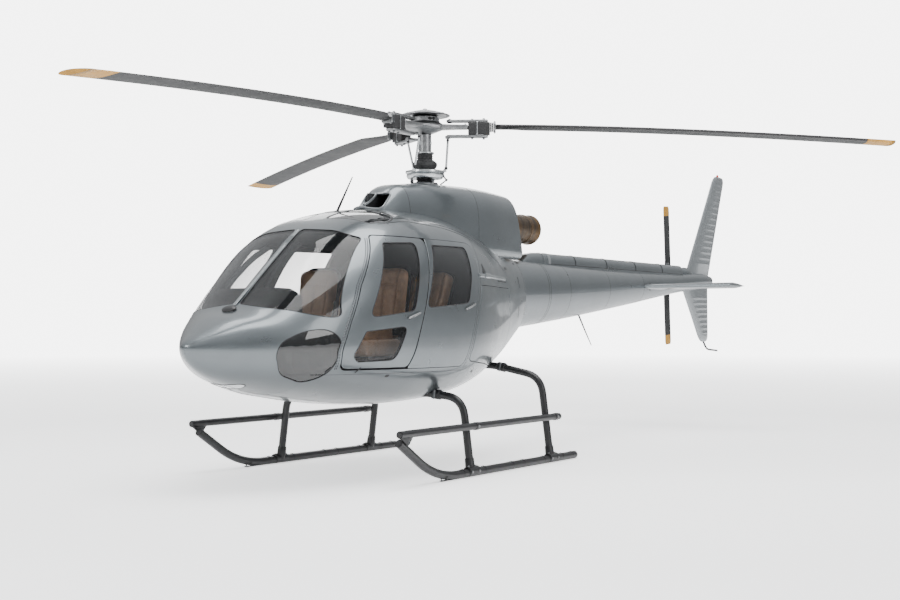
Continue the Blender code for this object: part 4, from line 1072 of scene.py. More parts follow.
    @staticmethod
    def covered(loops: Sequence[np.ndarray], places: np.ndarray) -> np.ndarray:
        """Whether places lie in the first loop and in none of the others."""
        result = inside_loops(loops[0], np.roll(loops[0], -1, axis=0), places)
        for loop in loops[1:]:
            result &= ~inside_loops(loop, np.roll(loop, -1, axis=0), places)
        return result

    def sheet(self, spots: np.ndarray, triangles: np.ndarray, outer: float, inner: float,
              roll: float, halved: bool) -> Panel:
        """Lifts a flat net to the skin and gives it edges and a back.

        Args:
            spots: the net's places.
            triangles: its triangles, counter-clockwise in angle and reach.
            outer: the depth of the outer face.
            inner: the depth of the inner face.
            roll: the rounding of the outer edge.
            halved: whether the middle line is left open.

        Returns:
            The panel.
        """
        surface, normal = self.frame(spots)
        directed = {(int(t[i]), int(t[(i + 1) % 3])) for t in triangles for i in range(3)}
        rim = [(i, j) for i, j in directed if (j, i) not in directed]
        seam = np.zeros(len(spots), bool)
        if halved:
            seam |= np.abs(np.abs(spots[:, 0]) - HALF_TURN) < 1e-5
        if self.pointed:
            seam |= spots[:, 1] < 1e-6
        after = dict(rim)
        before = {j: i for i, j in rim}
        flip = np.array((-1.0, 1.0, 1.0))
        outwards = np.zeros_like(surface)
        for here in after:
            if here not in before:
                continue
            ahead, back = surface[after[here]], surface[before[here]]
            if seam[here]:
                if seam[after[here]] and seam[before[here]]:
                    continue
                if seam[before[here]]:
                    back = surface[after[here]] * flip
                else:
                    ahead = surface[before[here]] * flip
            side = np.cross(normal[here], ahead - back)
            outwards[here] = side / max(np.linalg.norm(side), 1e-12)
        top = surface - normal * outer
        face_points = top - outwards * roll
        free = [(i, j) for i, j in rim if not (seam[i] and seam[j])]
        run = np.array(free).reshape(-1, 2)
        rows, bends = [], []
        for angle in np.linspace(0.0, HALF_TURN, 4):
            rows.append(top - outwards * roll * (1 - math.sin(angle)) - normal * roll * (1 - math.cos(angle)))
            bends.append(normal * math.cos(angle) + outwards * math.sin(angle))
        face = Facets(face_points, [tuple(t[::-1]) for t in triangles.tolist()], normal)
        curl = [self.strip(rows[i], rows[i + 1], bends[i], bends[i + 1], run) for i in range(3)]
        floor = surface - normal * inner
        edge = self.strip(rows[-1], floor, bends[-1], outwards, run)
        back = Facets(floor, triangles.tolist(), -normal)
        return Panel(joined([face, *curl]), edge, back)

    @staticmethod
    def strip(upper: np.ndarray, lower: np.ndarray, upper_bend: np.ndarray,
              lower_bend: np.ndarray, run: np.ndarray) -> Facets:
        """Quads down from one line of points to the next.

        Args:
            upper: the upper points.
            lower: the lower points.
            upper_bend: normals at the upper points.
            lower_bend: normals at the lower points.
            run: pairs of indices along the rim.

        Returns:
            The facets.
        """
        points = np.concatenate([upper, lower])
        shift = len(upper)
        faces = [(i, j, j + shift, i + shift) for i, j in run.tolist()]
        return Facets(points, faces, np.concatenate([upper_bend, lower_bend]))

    def bead(self, spots: np.ndarray, profile: Sequence[Point2], closed: bool = True) -> Facets:
        """A profile carried along a line on the skin.

        Args:
            spots: the line's places.
            profile: points across, to the left of the way, and up from the skin.
            closed: whether the line is a loop.

        Returns:
            The facets.
        """
        spots = without_repeats(spots) if closed else spots
        surface, normal = self.frame(spots)
        if closed:
            tangent = np.roll(surface, -1, axis=0) - np.roll(surface, 1, axis=0)
        else:
            tangent = np.gradient(surface, axis=0)
        left = np.cross(normal, tangent)
        left /= np.linalg.norm(left, axis=1)[:, None]
        shape = np.array(profile, float)
        rows = surface[:, None] + left[:, None] * shape[None, :, :1] + normal[:, None] * shape[None, :, 1:]
        return rows_to_facets(rows, along=closed, caps=not closed).outward()


def without_repeats(spots: np.ndarray) -> np.ndarray:
    """The loop without points that repeat the one before."""
    gap = np.linalg.norm(spots - np.roll(spots, 1, axis=0), axis=1)
    return spots[gap > 1e-6]


def band(width: float, height: float, sink: float = 0.001) -> list[Point2]:
    """A low band's profile with rounded shoulders.

    Args:
        width: the band's whole width.
        height: how far it stands up.
        sink: how far its foot lies under the skin.

    Returns:
        The profile.
    """
    half = width / 2.0
    soft = min(height * 0.8, half * 0.5)
    return [(-half, -sink), (half, -sink), (half, height - soft), (half - soft * 0.4, height - soft * 0.25),
            (half - soft, height), (-half + soft, height),
            (-half + soft * 0.4, height - soft * 0.25), (-half, height - soft)]


# Geometry Nodes

class Item(Enum):
    """What a tree repeats along lines."""

    RIVET = "rivet"
    KNUCKLE = "knuckle"
    BAR = "bar"


class Tree:
    """A Geometry Nodes tree that is built node by node, with named inputs."""

    def __init__(self, name: str, **inputs: float) -> None:
        """Starts a tree.

        Args:
            name: the tree's name.
            **inputs: the named sizes with their default values.
        """
        self.group = bpy.data.node_groups.new(name, "GeometryNodeTree")
        face = self.group.interface
        face.new_socket("Geometry", in_out="INPUT", socket_type="NodeSocketGeometry")
        self.identifiers = {}
        for label, value in inputs.items():
            socket = face.new_socket(label, in_out="INPUT", socket_type="NodeSocketFloat")
            socket.default_value = value
            self.identifiers[label] = socket.identifier
        face.new_socket("Geometry", in_out="OUTPUT", socket_type="NodeSocketGeometry")
        self.given = self.group.nodes.new("NodeGroupInput").outputs
        self.result = self.group.nodes.new("NodeGroupOutput").inputs[0]

    def fill(self, socket: bpy.types.NodeSocket, value: object) -> None:
        """Links a socket to another one, or sets its value."""
        if isinstance(value, bpy.types.NodeSocket):
            self.group.links.new(value, socket)
        else:
            socket.default_value = value

    def add(self, kind: str, settings: dict[str, object] | None = None, **inputs: object) -> bpy.types.NodeSocket:
        """Adds a node.

        Args:
            kind: the node's type.
            settings: the node's own properties.
            **inputs: values or links by socket name, with spaces as underscores.

        Returns:
            The node's first output that is on.
        """
        node = self.group.nodes.new(kind)
        for name, value in (settings or {}).items():
            setattr(node, name, value)
        for name, value in inputs.items():
            self.fill(node.inputs[name.replace("_", " ")], value)
        return next(socket for socket in node.outputs if socket.enabled)

    def math(self, operation: str, *values: object) -> bpy.types.NodeSocket:
        """A math node's result, with its values in order."""
        node = self.group.nodes.new("ShaderNodeMath")
        node.operation = operation
        for socket, value in zip(node.inputs, values):
            self.fill(socket, value)
        return node.outputs[0]

    def close(self, shape: bpy.types.NodeSocket, coats: Sequence[tuple[Finish, object]]) -> None:
        """Realizes the shape and sets its materials.

        Args:
            shape: the geometry.
            coats: finishes in order, each with the faces it goes on, or None for all.
        """
        shape = self.add("GeometryNodeRealizeInstances", Geometry=shape)
        for finish, where in coats:
            shape = self.add("GeometryNodeSetMaterial", Geometry=shape, Material=finish.material(),
                             **({} if where is None else {"Selection": where}))
        self.group.links.new(shape, self.result)

    def grow(self, finishes: Sequence[Finish], lines: Sequence[tuple[np.ndarray, np.ndarray, bool]] = (),
             **values: float) -> list[Coat]:
        """Runs the tree once and takes the result as plain facets.

        Args:
            finishes: the finishes that the tree sets.
            lines: the lines it starts from, as points, directions out of the surface, and whether they close.
            **values: the named inputs.

        Returns:
            The facets by finish.
        """
        points, out, edges = [], [], []
        for path, away, closed in lines:
            first, count = len(points), len(path)
            points.extend(np.array(path, float).tolist())
            out.extend(np.broadcast_to(np.array(away, float), (count, 3)).ravel().tolist())
            edges.extend((first + place, first + (place + 1) % count)
                         for place in range(count if closed else count - 1))
        mesh = bpy.data.meshes.new("lines")
        mesh.from_pydata(points, edges, [])
        if points:
            mesh.attributes.new("out", "FLOAT_VECTOR", "POINT").data.foreach_set("vector", out)
        holder = bpy.data.objects.new("lines", mesh)
        bpy.context.scene.collection.objects.link(holder)
        modifier = holder.modifiers.new("tree", "NODES")
        modifier.node_group = self.group
        for label, value in values.items():
            modifier[self.identifiers[label]] = float(value)
        graph = bpy.context.evaluated_depsgraph_get()
        grown = bpy.data.meshes.new_from_object(holder.evaluated_get(graph), depsgraph=graph)
        holder.modifiers.remove(modifier)
        bpy.data.objects.remove(holder, do_unlink=True)
        places = np.array([vert.co[:] for vert in grown.vertices])
        names = [material.name if material else "" for material in grown.materials]
        coats = []
        for finish in finishes:
            faces = [tuple(face.vertices) for face in grown.polygons
                     if names and names[face.material_index] == finish.name]
            if faces:
                coats.append((finish, Facets(places, faces)))
        bpy.data.meshes.remove(grown)
        return coats


def repeat_tree(item: Item, finish: Finish) -> Tree:
    """A tree that sets one small item at even steps along lines on a surface.

    Args:
        item: what is repeated.
        finish: its finish.

    Returns:
        The tree, with the inputs spacing, size, width and height.
    """
    tree = Tree(f"{item.value}_{finish.name}", spacing=0.04, size=0.004, width=0.004, height=0.002)
    curve = tree.add("GeometryNodeMeshToCurve", Mesh=tree.given["Geometry"])
    steps = tree.add("GeometryNodeResampleCurve", {"mode": "LENGTH"}, Curve=curve, Length=tree.given["spacing"])
    out = tree.add("GeometryNodeInputNamedAttribute", {"data_type": "FLOAT_VECTOR"}, Name="out")
    upright = tree.add("FunctionNodeAlignRotationToVector", {"axis": "Z"}, Vector=out)
    turned = tree.add("FunctionNodeAlignRotationToVector", {"axis": "X", "pivot_axis": "Z"}, Rotation=upright,
                      Vector=tree.add("GeometryNodeInputTangent"))
    size, width, height = (tree.given[label] for label in ("size", "width", "height"))
    if item is Item.RIVET:
        shape = tree.add("GeometryNodeMeshCone", Vertices=8, Radius_Bottom=size, Depth=height,
                         Radius_Top=tree.math("MULTIPLY", size, 0.55))
    elif item is Item.KNUCKLE:
        rod = tree.add("GeometryNodeMeshCylinder", Vertices=8, Radius=width, Depth=size)
        shape = tree.add("GeometryNodeTransform", Geometry=rod, Rotation=(0.0, HALF_TURN, 0.0))
    else:
        shape = tree.add("GeometryNodeMeshCube", Size=tree.add("ShaderNodeCombineXYZ", X=size, Y=width, Z=height))
    spread = tree.add("GeometryNodeInstanceOnPoints", Points=steps, Instance=shape, Rotation=turned)
    tree.close(spread, [(finish, None)])
    return tree


def pipe_tree(finish: Finish) -> Tree:
    """A tree that carries a circle along lines and caps its ends, with the inputs radius and sides."""
    tree = Tree(f"pipe_{finish.name}", radius=0.01, sides=16)
    curve = tree.add("GeometryNodeMeshToCurve", Mesh=tree.given["Geometry"])
    circle = tree.add("GeometryNodeCurvePrimitiveCircle", Resolution=tree.given["sides"],
                      Radius=tree.given["radius"])
    shape = tree.add("GeometryNodeCurveToMesh", Curve=curve, Profile_Curve=circle, Fill_Caps=True)
    tree.close(shape, [(finish, None)])
    return tree


TREES: dict[tuple[Item | None, Finish], Tree] = {}


def repeats(item: Item, finish: Finish, lines: Sequence[tuple[np.ndarray, np.ndarray, bool]],
            **values: float) -> list[Coat]:
    """Small items along lines, made by one tree for each item and finish."""
    if (item, finish) not in TREES:
        TREES[item, finish] = repeat_tree(item, finish)
    return TREES[item, finish].grow([finish], lines, **values)


def pipes(finish: Finish, routes: Sequence[Sequence[Point3]], radius: float, sides: int = 16) -> list[Coat]:
    """Round pipes along routes, made by one tree for each finish."""
    if (None, finish) not in TREES:
        TREES[None, finish] = pipe_tree(finish)
    lines = [(np.array(route, float), np.zeros(3), False) for route in routes]
    return TREES[None, finish].grow([finish], lines, radius=radius, sides=sides)


# Hull and doors

HULL = Skin((
    (-3.24, 0.000, 1.115, 1.115, 1.115, 2.00, 2.00),
    (-3.10, 0.185, 1.235, 0.940, 1.110, 2.50, 1.75),
    (-2.90, 0.375, 1.345, 0.850, 1.110, 2.50, 1.85),
    (-2.685, 0.56, 1.440, 0.790, 1.120, 2.55, 1.90),
    (-2.45, 0.695, 1.640, 0.730, 1.125, 2.60, 2.00),
    (-2.20, 0.790, 1.850, 0.690, 1.135, 2.70, 2.10),
    (-1.90, 0.865, 2.080, 0.650, 1.145, 2.90, 2.20),
    (-1.60, 0.905, 2.215, 0.620, 1.155, 2.90, 2.35),
    (-1.20, 0.930, 2.300, 0.600, 1.160, 2.70, 2.50),
    (-0.80, 0.925, 2.315, 0.605, 1.170, 2.60, 2.55),
    (-0.40, 0.885, 2.310, 0.630, 1.200, 2.60, 2.50),
    (0.00, 0.780, 2.270, 0.680, 1.260, 2.50, 2.40),
    (0.50, 0.590, 2.190, 0.780, 1.360, 2.40, 2.30),
    (1.00, 0.410, 2.090, 0.930, 1.480, 2.30, 2.20),
    (1.40, 0.310, 2.000, 1.140, 1.580, 2.20, 2.10)), pointed=True)

SEAL = ((-0.0115, -0.0062), (-0.0115, -0.0030), (-0.0060, -0.0016), (0.0, 0.0006), (0.0032, 0.0014),
        (0.0052, 0.0004), (0.0052, -0.0020), (0.0, -0.0062))
# Profile of the grey line that paints the highlight on a pane's edge.
PANE_HIGHLIGHT_PROFILE = ((-0.0155, -0.0045), (-0.0155, -0.0033), (-0.0142, -0.0029), (-0.0128, -0.0033), (-0.0128, -0.0045))


@dataclass(frozen=True)
class Lines:
    """The cabin's panel lines, drawn in stations and heights."""

    nose: float = -3.40
    chin: float = -2.45
    sill: float = 0.900
    foot: float = 0.930
    head: float = 2.030
    foot_gap: float = 0.009
    gap: float = 0.006
    hoop: float = 0.060
    baggage_head: float = 1.65
    baggage_aft: float = 0.78
    baggage_gap: float = 0.0095
    leading: tuple[Point2, ...] = ((-1.75, 2.030), (-2.06, 1.60), (-2.21, 1.30), (-2.29, 1.09), (-2.26, 0.930))

    def post(self, height: float, shift: float = 0.0) -> float:
        """Station of the line between the front and the rear door."""
        return -1.556 + shift + (height - self.foot) * 0.40

    def rear(self, height: float, shift: float = 0.0) -> float:
        """Station of the line behind the rear door."""
        return -0.735 + shift + (height - self.foot) * 0.455

    def strip(self, line: Callable[[float, float], float], shifts: Point2, heights: Point2) -> list[Point2]:
        """A leaning strip between two shifts of a line and two heights."""
        (ahead, aft), (low, high) = shifts, heights
        return [(line(low, ahead), low), (line(low, aft), low), (line(high, aft), high), (line(high, ahead), high)]

    def front_door(self) -> list[Point2]:
        """The front door's opening."""
        foot = self.foot + self.foot_gap
        return rounded([*self.leading[:-1], (self.leading[-1][0], foot), (self.post(self.foot), foot),
                        (self.post(self.head), self.head)], (0.07, 0.25, 0.25, 0.15, 0.09, 0.06, 0.06))

    def doorway(self) -> list[Point2]:
        """The opening that both doors of a side fill."""
        return rounded([*self.leading, (self.rear(self.foot), self.foot), (self.rear(self.head), self.head)],
                       (0.07, 0.25, 0.25, 0.15, 0.09, 0.10, 0.12))

    def rear_door(self) -> list[Point2]:
        """The rear door's outline."""
        return rounded([(self.post(self.head), self.head), (self.post(self.foot), self.foot),
                        (self.rear(self.foot), self.foot), (self.rear(self.head), self.head)],
                       (0.02, 0.02, 0.10, 0.12))

    def baggage(self) -> list[Point2]:
        """The baggage door's opening."""
        return rounded([(self.rear(self.baggage_head, self.hoop), self.baggage_head),
                        (self.rear(0.975, self.hoop), 0.975),
                        (self.baggage_aft, 0.860), (self.baggage_aft, self.baggage_head)], 0.05)


@dataclass(frozen=True)
class Pane:
    """A pane's outline in the view it is drawn from."""

    corners: tuple[Point2, ...]
    radii: tuple[float, ...]
    view: View = View.SIDE

    def spots(self, shrink: float = 0.0) -> np.ndarray:
        """The pane's places on the hull, shrunk by an amount."""
        return HULL.spots(traced(inset(rounded(self.corners, self.radii, 7), shrink), 0.014), self.view)

    def glass(self) -> Panel:
        """The pane as a sheet in its hole."""
        return HULL.panel(self.spots(FIT), outer=PANE_DEPTH, inner=PANE_DEPTH + PANE, roll=0.0008)

    def seal(self) -> list[Coat]:
        """The black seal and, inside it, a thin grey line that paints the highlight on the pane's edge, to port."""
        return [(RUBBER, HULL.bead(self.spots(), SEAL)), (PANE_EDGE_HIGHLIGHT, HULL.bead(self.spots(), PANE_HIGHLIGHT_PROFILE))]


FRONT_UPPER = Pane(((-1.69, 1.965), (-2.03, 1.345), (-1.50, 1.405), (-1.345, 1.80), (-1.285, 1.985)),
                   (0.05, 0.05, 0.08, 0.5, 0.05))
FRONT_LOWER = Pane(((-2.065, 1.240), (-2.185, 1.05), (-2.125, 0.995), (-1.74, 1.005), (-1.585, 1.285)),
                   (0.03, 0.10, 0.06, 0.10, 0.05))
REAR_PANE = Pane(((-1.055, 1.975), (-1.345, 1.430), (-0.655, 1.480), (-0.515, 1.745), (-0.46, 1.985)),
                 (0.05, 0.05, 0.10, 0.5, 0.05))
CHIN_PANE = Pane(((-2.77, 1.06), (-2.68, 0.91), (-2.44, 0.83), (-2.325, 0.90), (-2.285, 1.18), (-2.40, 1.262),
                  (-2.58, 1.250), (-2.74, 1.16)), (0.5, 0.5, 0.5, 0.5, 0.12, 0.5, 0.5, 0.5))
WINDSHIELD = Pane(((0.030, 1.455), (0.50, 1.400), (0.755, 1.335), (0.605, 2.000), (0.36, 2.070), (0.030, 2.092)),
                  (0.03, 0.4, 0.04, 0.06, 0.4, 0.03), View.FRONT)
ROOF_PANE = Pane(((0.10, -1.68), (0.10, -1.25), (0.50, -1.22), (0.57, -1.38), (0.53, -1.62)),
                 (0.06, 0.06, 0.12, 0.2, 0.08), View.TOP)


def mirrored_coats(coats: Iterable[Coat]) -> list[Coat]:
    """Coats drawn to port, with their mirror images."""
    return [(finish, facets.on(side)) for side in Side for finish, facets in coats]


def coats_on(coats: Iterable[Coat], side: Side) -> list[Coat]:
    """Coats drawn to port, put on a side."""
    return [(finish, facets.on(side)) for finish, facets in coats]


@dataclass
class Hull:
    """Cabin frame, belly, rear fuselage, their fixed panes and the doors."""

    lines: Lines = Lines()

    def region(self, corners: Sequence[Point2]) -> np.ndarray:
        """The port half's places under a side outline."""
        return HULL.spots(traced(corners, 0.02))

    def build(self) -> None:
        """Makes the skins, the panes and the doors."""
        lines = self.lines
        split = lines.rear(lines.sill, lines.hoop / 2)
        top = 2.5
        doorway = HULL.spots(traced(lines.doorway()))
        cabin = HULL.panel(self.region([(lines.nose, 0.3), (lines.chin, 0.3), (lines.chin, lines.sill),
                                        (split, lines.sill),
                                        (lines.rear(top, lines.hoop / 2), top), (lines.nose, top)]),
                           [doorway, WINDSHIELD.spots(), ROOF_PANE.spots(), CHIN_PANE.spots()], halved=True)
        coats = cabin.coats(SILVER, RUBBER, LINING)
        post = HULL.panel(HULL.spots(traced(lines.strip(lines.post, (-0.045, 0.045), (0.902, 2.07)))),
                          outer=0.036, inner=0.075, roll=0.004)
        for side in Side:
            coats += post.coats(GREY_LINING, GREY_LINING, GREY_LINING, side)
        for pane in (WINDSHIELD, ROOF_PANE, CHIN_PANE):
            coats += mirrored_coats(pane.seal())
        make_piece("cabin_skin", "airframe", coats, ["cabin_frame"])

        belly = HULL.panel(self.region([(lines.chin + FIT, 0.3), (split, 0.3), (split, lines.sill - FIT),
                                        (lines.chin + FIT, lines.sill - FIT)]), [CHIN_PANE.spots()], halved=True)
        make_piece("belly_skin", "airframe", belly.coats(SILVER, RUBBER, LINING), ["belly_pan"])

        opening = HULL.spots(traced(lines.baggage()))
        rear = HULL.panel(self.region([(split + FIT, 0.3), (1.6, 0.3), (1.6, 2.6),
                                       (lines.rear(2.6, lines.hoop / 2) + FIT, 2.6),
                                       (split + FIT, lines.sill)]), [opening], halved=True)
        make_piece("rear_fuselage_skin", "airframe", rear.coats(SILVER, RUBBER, LINING), ["rear_fuselage"])
        for name, pane, tint in (("windshield", WINDSHIELD, GLASS), ("roof_window", ROOF_PANE, DARK_GLASS),
                                 ("chin_window", CHIN_PANE, DARK_GLASS)):
            sheet = pane.glass()
            for side in Side:
                make_piece(f"{name}_pane_{side.label}", "airframe", sheet.coats(tint, tint, tint, side),
                           [f"{name}_{side.label}"])
        self.build_doors()

    def build_doors(self) -> None:
        """Makes the front, rear and baggage doors with their panes."""
        lines = self.lines
        panes = (("upper", FRONT_UPPER), ("lower", FRONT_LOWER))
        front = HULL.panel(HULL.spots(traced(inset(lines.front_door(), lines.gap))),
                           [pane.spots() for _, pane in panes], roll=0.003)
        rear = HULL.panel(HULL.spots(traced(inset(lines.rear_door(), lines.gap / 2))),
                          [REAR_PANE.spots()], roll=0.003)
        baggage = HULL.panel(HULL.spots(traced(inset(lines.baggage(), lines.baggage_gap * 0.6))), roll=0.003)
        for side in Side:
            body = f"door_front_{side.label}"
            seals = [coat for _, pane in panes for coat in pane.seal()]
            make_piece(f"front_door_{side.label}", body,
                       front.coats(SILVER, RUBBER, LINING, side) + coats_on(seals, side), [body])
            for name, pane in panes:
                make_piece(f"front_door_{name}_pane_{side.label}", body,
                           pane.glass().coats(GLASS, GLASS, GLASS, side),
                           [f"door_front_{name}_window_{side.label}"])
            make_piece(f"rear_door_{side.label}", "airframe",
                       rear.coats(SILVER, RUBBER, LINING, side) + coats_on(REAR_PANE.seal(), side),
                       [f"door_rear_{side.label}"])
            make_piece(f"rear_door_pane_{side.label}", "airframe", REAR_PANE.glass().coats(GLASS, GLASS, GLASS, side),
                       [f"door_rear_window_{side.label}"])
            make_piece(f"baggage_lid_{side.label}", f"baggage_door_{side.label}",
                       baggage.coats(SILVER, RUBBER, LINING, side), [f"baggage_door_{side.label}"])
            make_piece(f"front_door_handle_{side.label}", body,
                       coats_on(self.handle((0.903, -1.593, 1.347), (0.914, -1.451, 1.391)), side))
            make_piece(f"rear_door_handle_{side.label}", "airframe",
                       coats_on(self.handle((0.914, -0.735, 1.426), (0.898, -0.565, 1.475)), side))
        self.build_fittings()

    @staticmethod
    def handle(start: Point3, end: Point3) -> list[Coat]:
        """A slim lever on two feet, with a black ring around it that paints the shade under the lever, on the port
        side.

        Args:
            start: the lever's forward end on the skin.
            end: its rear end on the skin.

        Returns:
            The coats.
        """
        first, last = np.array(start), np.array(end)
        out = np.array((0.014, 0.0, 0.0))
        coats = [(STEEL, tube([tuple(first + out), tuple((first + last) / 2 + out * 1.25), tuple(last + out)],
                              (0.0075, 0.0090, 0.0070), 14, dome=True))]
        for place in (first * 0.85 + last * 0.15, first * 0.15 + last * 0.85):
            coats.append((DARK_STEEL, tube([tuple(place - out * 0.5), tuple(place + out)], 0.0060, 12)))
        shift, rise = 0.5 * (last - first)[1:] * 1.10
        middle = (first + last)[1:] / 2.0
        # A thin black band around the lever paints the shade that falls under it.
        painted_shade_ring = rounded([(middle[0] - shift, middle[1] - rise - 0.016),
                          (middle[0] + shift, middle[1] + rise - 0.016),
                          (middle[0] + shift, middle[1] + rise + 0.016),
                          (middle[0] - shift, middle[1] - rise + 0.016)], 0.014, 5)
        coats.append((RUBBER, HULL.bead(HULL.spots(traced(painted_shade_ring, 0.012)), band(0.0028, 0.0007))))
        return coats

    def build_fittings(self) -> None:
        """Seams, rivets, hinge strips, rails, vents, lamps and aerials on the fixed skin."""
        lines = self.lines
        gutter = [(-1.55, 2.160), (-1.19, 2.209), (-0.65, 2.185), (-0.14, 2.106), (0.40, 1.980), (0.78, 1.800)]
        hinge = [(-1.80, 1.990), (-2.085, 1.600), (-2.235, 1.300), (-2.315, 1.090), (-2.290, 0.950)]
        hoop = [(lines.rear(z, lines.hoop / 2), z) for z in (0.92, 1.30, 1.70, 2.05, 2.20)]
        ring = [(1.372, z) for z in (1.20, 1.45, 1.70, 1.98)]
        coats: list[Coat] = []
        for finish, width, height, points in (
                (RUBBER, 0.005, 0.0007, gutter), (RUBBER, 0.005, 0.0007, [(s, z - 0.030) for s, z in gutter]),
                (RUBBER, 0.004, 0.0006, hoop), (RUBBER, 0.004, 0.0006, ring), (SILVER, 0.026, 0.0012, hinge),
                (RUBBER, 0.0035, 0.0006, [(-2.45, lines.sill), (-1.60, lines.sill), (-0.72, lines.sill)]),
                (LIGHT_SILVER, 0.032, 0.014, [(-0.36, 1.735), (0.13, 1.735), (0.62, 1.735)]),
                (LIGHT_SILVER, 0.046, 0.022, [(-0.22, 1.737), (-0.06, 1.737)]),
                (RUBBER, 0.010, 0.0030, [(0.27, 1.702), (0.66, 1.702)])):
            coats.append((finish, self.strip_on(points, width, height)))
        for points, spacing in ((gutter, 0.055), (hoop, 0.045), (ring, 0.045)):
            shifted = [(s + 0.016, z) for s, z in points]
            coats += self.dotted(Item.RIVET, DARK_STEEL, shifted, spacing, size=0.0034, height=0.0014)
        for shift in (-0.0075, 0.0075):
            coats += self.dotted(Item.KNUCKLE, BLACK, [(s + shift, z) for s, z in hinge], 0.024, lift=0.001,
                                 size=0.016, width=0.0032)
        for outline, radius in (
                (((-0.239, 1.760), (-0.133, 1.754), (-0.200, 1.856)), 0.012),
                (((0.775, 1.830), (0.868, 1.830), (0.868, 1.858), (0.775, 1.858)), 0.013),
                (((1.222, 1.902), (1.270, 1.902), (1.270, 1.922), (1.222, 1.922)), 0.009),
                (((1.188, 1.665), (1.197, 1.665), (1.197, 1.775), (1.188, 1.775)), 0.004),
                (((1.151, 1.360), (1.160, 1.360), (1.160, 1.470), (1.151, 1.470)), 0.004),
                (((-2.345, 0.915), (-2.320, 0.960), (-2.333, 0.962), (-2.358, 0.917)), 0.005),
                (((-2.084, 0.910), (-2.060, 0.955), (-2.073, 0.957), (-2.097, 0.912)), 0.005),
                (((-1.760, 0.868), (-1.722, 0.868), (-1.714, 0.887), (-1.752, 0.887)), 0.008),
                (((-0.476, 0.868), (-0.440, 0.868), (-0.440, 0.887), (-0.476, 0.887)), 0.008),
                (((0.205, 0.900), (0.245, 0.900), (0.252, 0.920), (0.212, 0.920)), 0.008)):
            spots = HULL.spots(traced(rounded(outline, radius, 5), 0.012))
            patch = HULL.panel(spots, outer=-0.0016, inner=0.004, roll=0.0008, finer=2.0)
            coats += patch.coats(BLACK, BLACK, BLACK, Side.LEFT)
        coats = mirrored_coats(coats)
        around = np.linspace(-HALF_TURN, HALF_TURN, 25)
        lamp = np.stack([-HALF_TURN + 0.34 * np.cos(around), HULL.reach(-2.76) + 0.045 * np.sin(around)], axis=1)
        lens = HULL.panel(lamp, outer=-0.001, inner=0.005, roll=0.001, halved=True, finer=2.0)
        coats += lens.coats(LENS, RUBBER, RUBBER)
        coats += mirrored_coats([(RUBBER, HULL.bead(lamp, band(0.007, 0.003), closed=False))])
        post = [(-2.690, 1.440), (-2.45, 1.638), (-2.20, 1.848), (-1.90, 2.079)]
        bar = [(0.0, s, z + 0.002) for s, z in post]
        coats.append((LIGHT_SILVER, sweep(filleted(bar, 0.10), band(0.034, 0.006), (0.0, -0.6, 0.8))))
        screws = np.array([(0.011, s, z + 0.0085) for _, s, z in filleted(bar, 0.10)])
        for side in (1.0, -1.0):
            row = (screws * np.array((side, 1.0, 1.0)), np.array((0.0, -0.64, 0.77)), False)
            coats += repeats(Item.RIVET, DARK_STEEL, [row], spacing=0.055, size=0.0034, height=0.0018)
        cover = lathe([(0.0, 0.016), (0.030, 0.014), (0.044, 0.006), (0.046, 0.0), (0.0, 0.0)], 28)
        lie = (Matrix.Translation((0.0, -2.745, 1.416)) @ Matrix.Rotation(math.radians(33.0), 4, "X")
               @ Matrix.Scale(1.5, 4, (1.0, 0.0, 0.0)))
        coats.append((BLACK, cover.moved(lie)))
        for route, radii in ((((0.0, -1.37, 2.270), (0.0, -1.26, 2.430), (0.0, -1.15, 2.590)), (0.012, 0.009, 0.005)),
                             (((0.0, 3.17, 1.405), (0.0, 3.33, 1.225), (0.0, 3.49, 1.055)), (0.011, 0.008, 0.005))):
            coats.append((BLACK, tube(route, radii, 14, dome=True)))
        coats.append((BLACK, lathe([(0.0, 0.020), (0.016, 0.018), (0.030, 0.004), (0.032, 0.0), (0.0, 0.0)], 22,
                                   (0.0, -1.37, 2.262))))
        make_piece("hull_fittings", "airframe", coats)

    @staticmethod
    def strip_on(points: Sequence[Point2], width: float, height: float) -> Facets:
        """A low band along a smooth line on the hull's port side."""
        curve = [(s, z) for _, s, z in filleted([(0.0, s, z) for s, z in points], 0.12, 6)]
        return HULL.bead(HULL.spots(traced(curve, 0.022, closed=False)), band(width, height), closed=False)

    @staticmethod
    def dotted(item: Item, finish: Finish, points: Sequence[Point2], spacing: float,
               lift: float = 0.0, **sizes: float) -> list[Coat]:
        """Small items along a line on the hull's port side."""
        surface, normal = HULL.frame(HULL.spots(traced(points, 0.03, closed=False)))
        return repeats(item, finish, [(surface + normal * lift, normal, False)], spacing=spacing, **sizes)


# Engine deck

COWL_WAIST = 2.10
COWL_FOOT = 1.95
COWL = Skin([(station, half, top, COWL_FOOT, COWL_WAIST, power, 6.0) for station, half, top, power in (
    (-1.02, 0.150, 2.34, 2.6), (-0.86, 0.180, 2.42, 2.8), (-0.72, 0.215, 2.53, 3.2), (-0.45, 0.290, 2.59, 3.4),
    (0.00, 0.380, 2.62, 3.6), (0.50, 0.410, 2.63, 3.8), (1.05, 0.370, 2.61, 4.0), (1.50, 0.320, 2.58, 4.0))],
    cell=(0.09, 0.04), widest=-0.62)


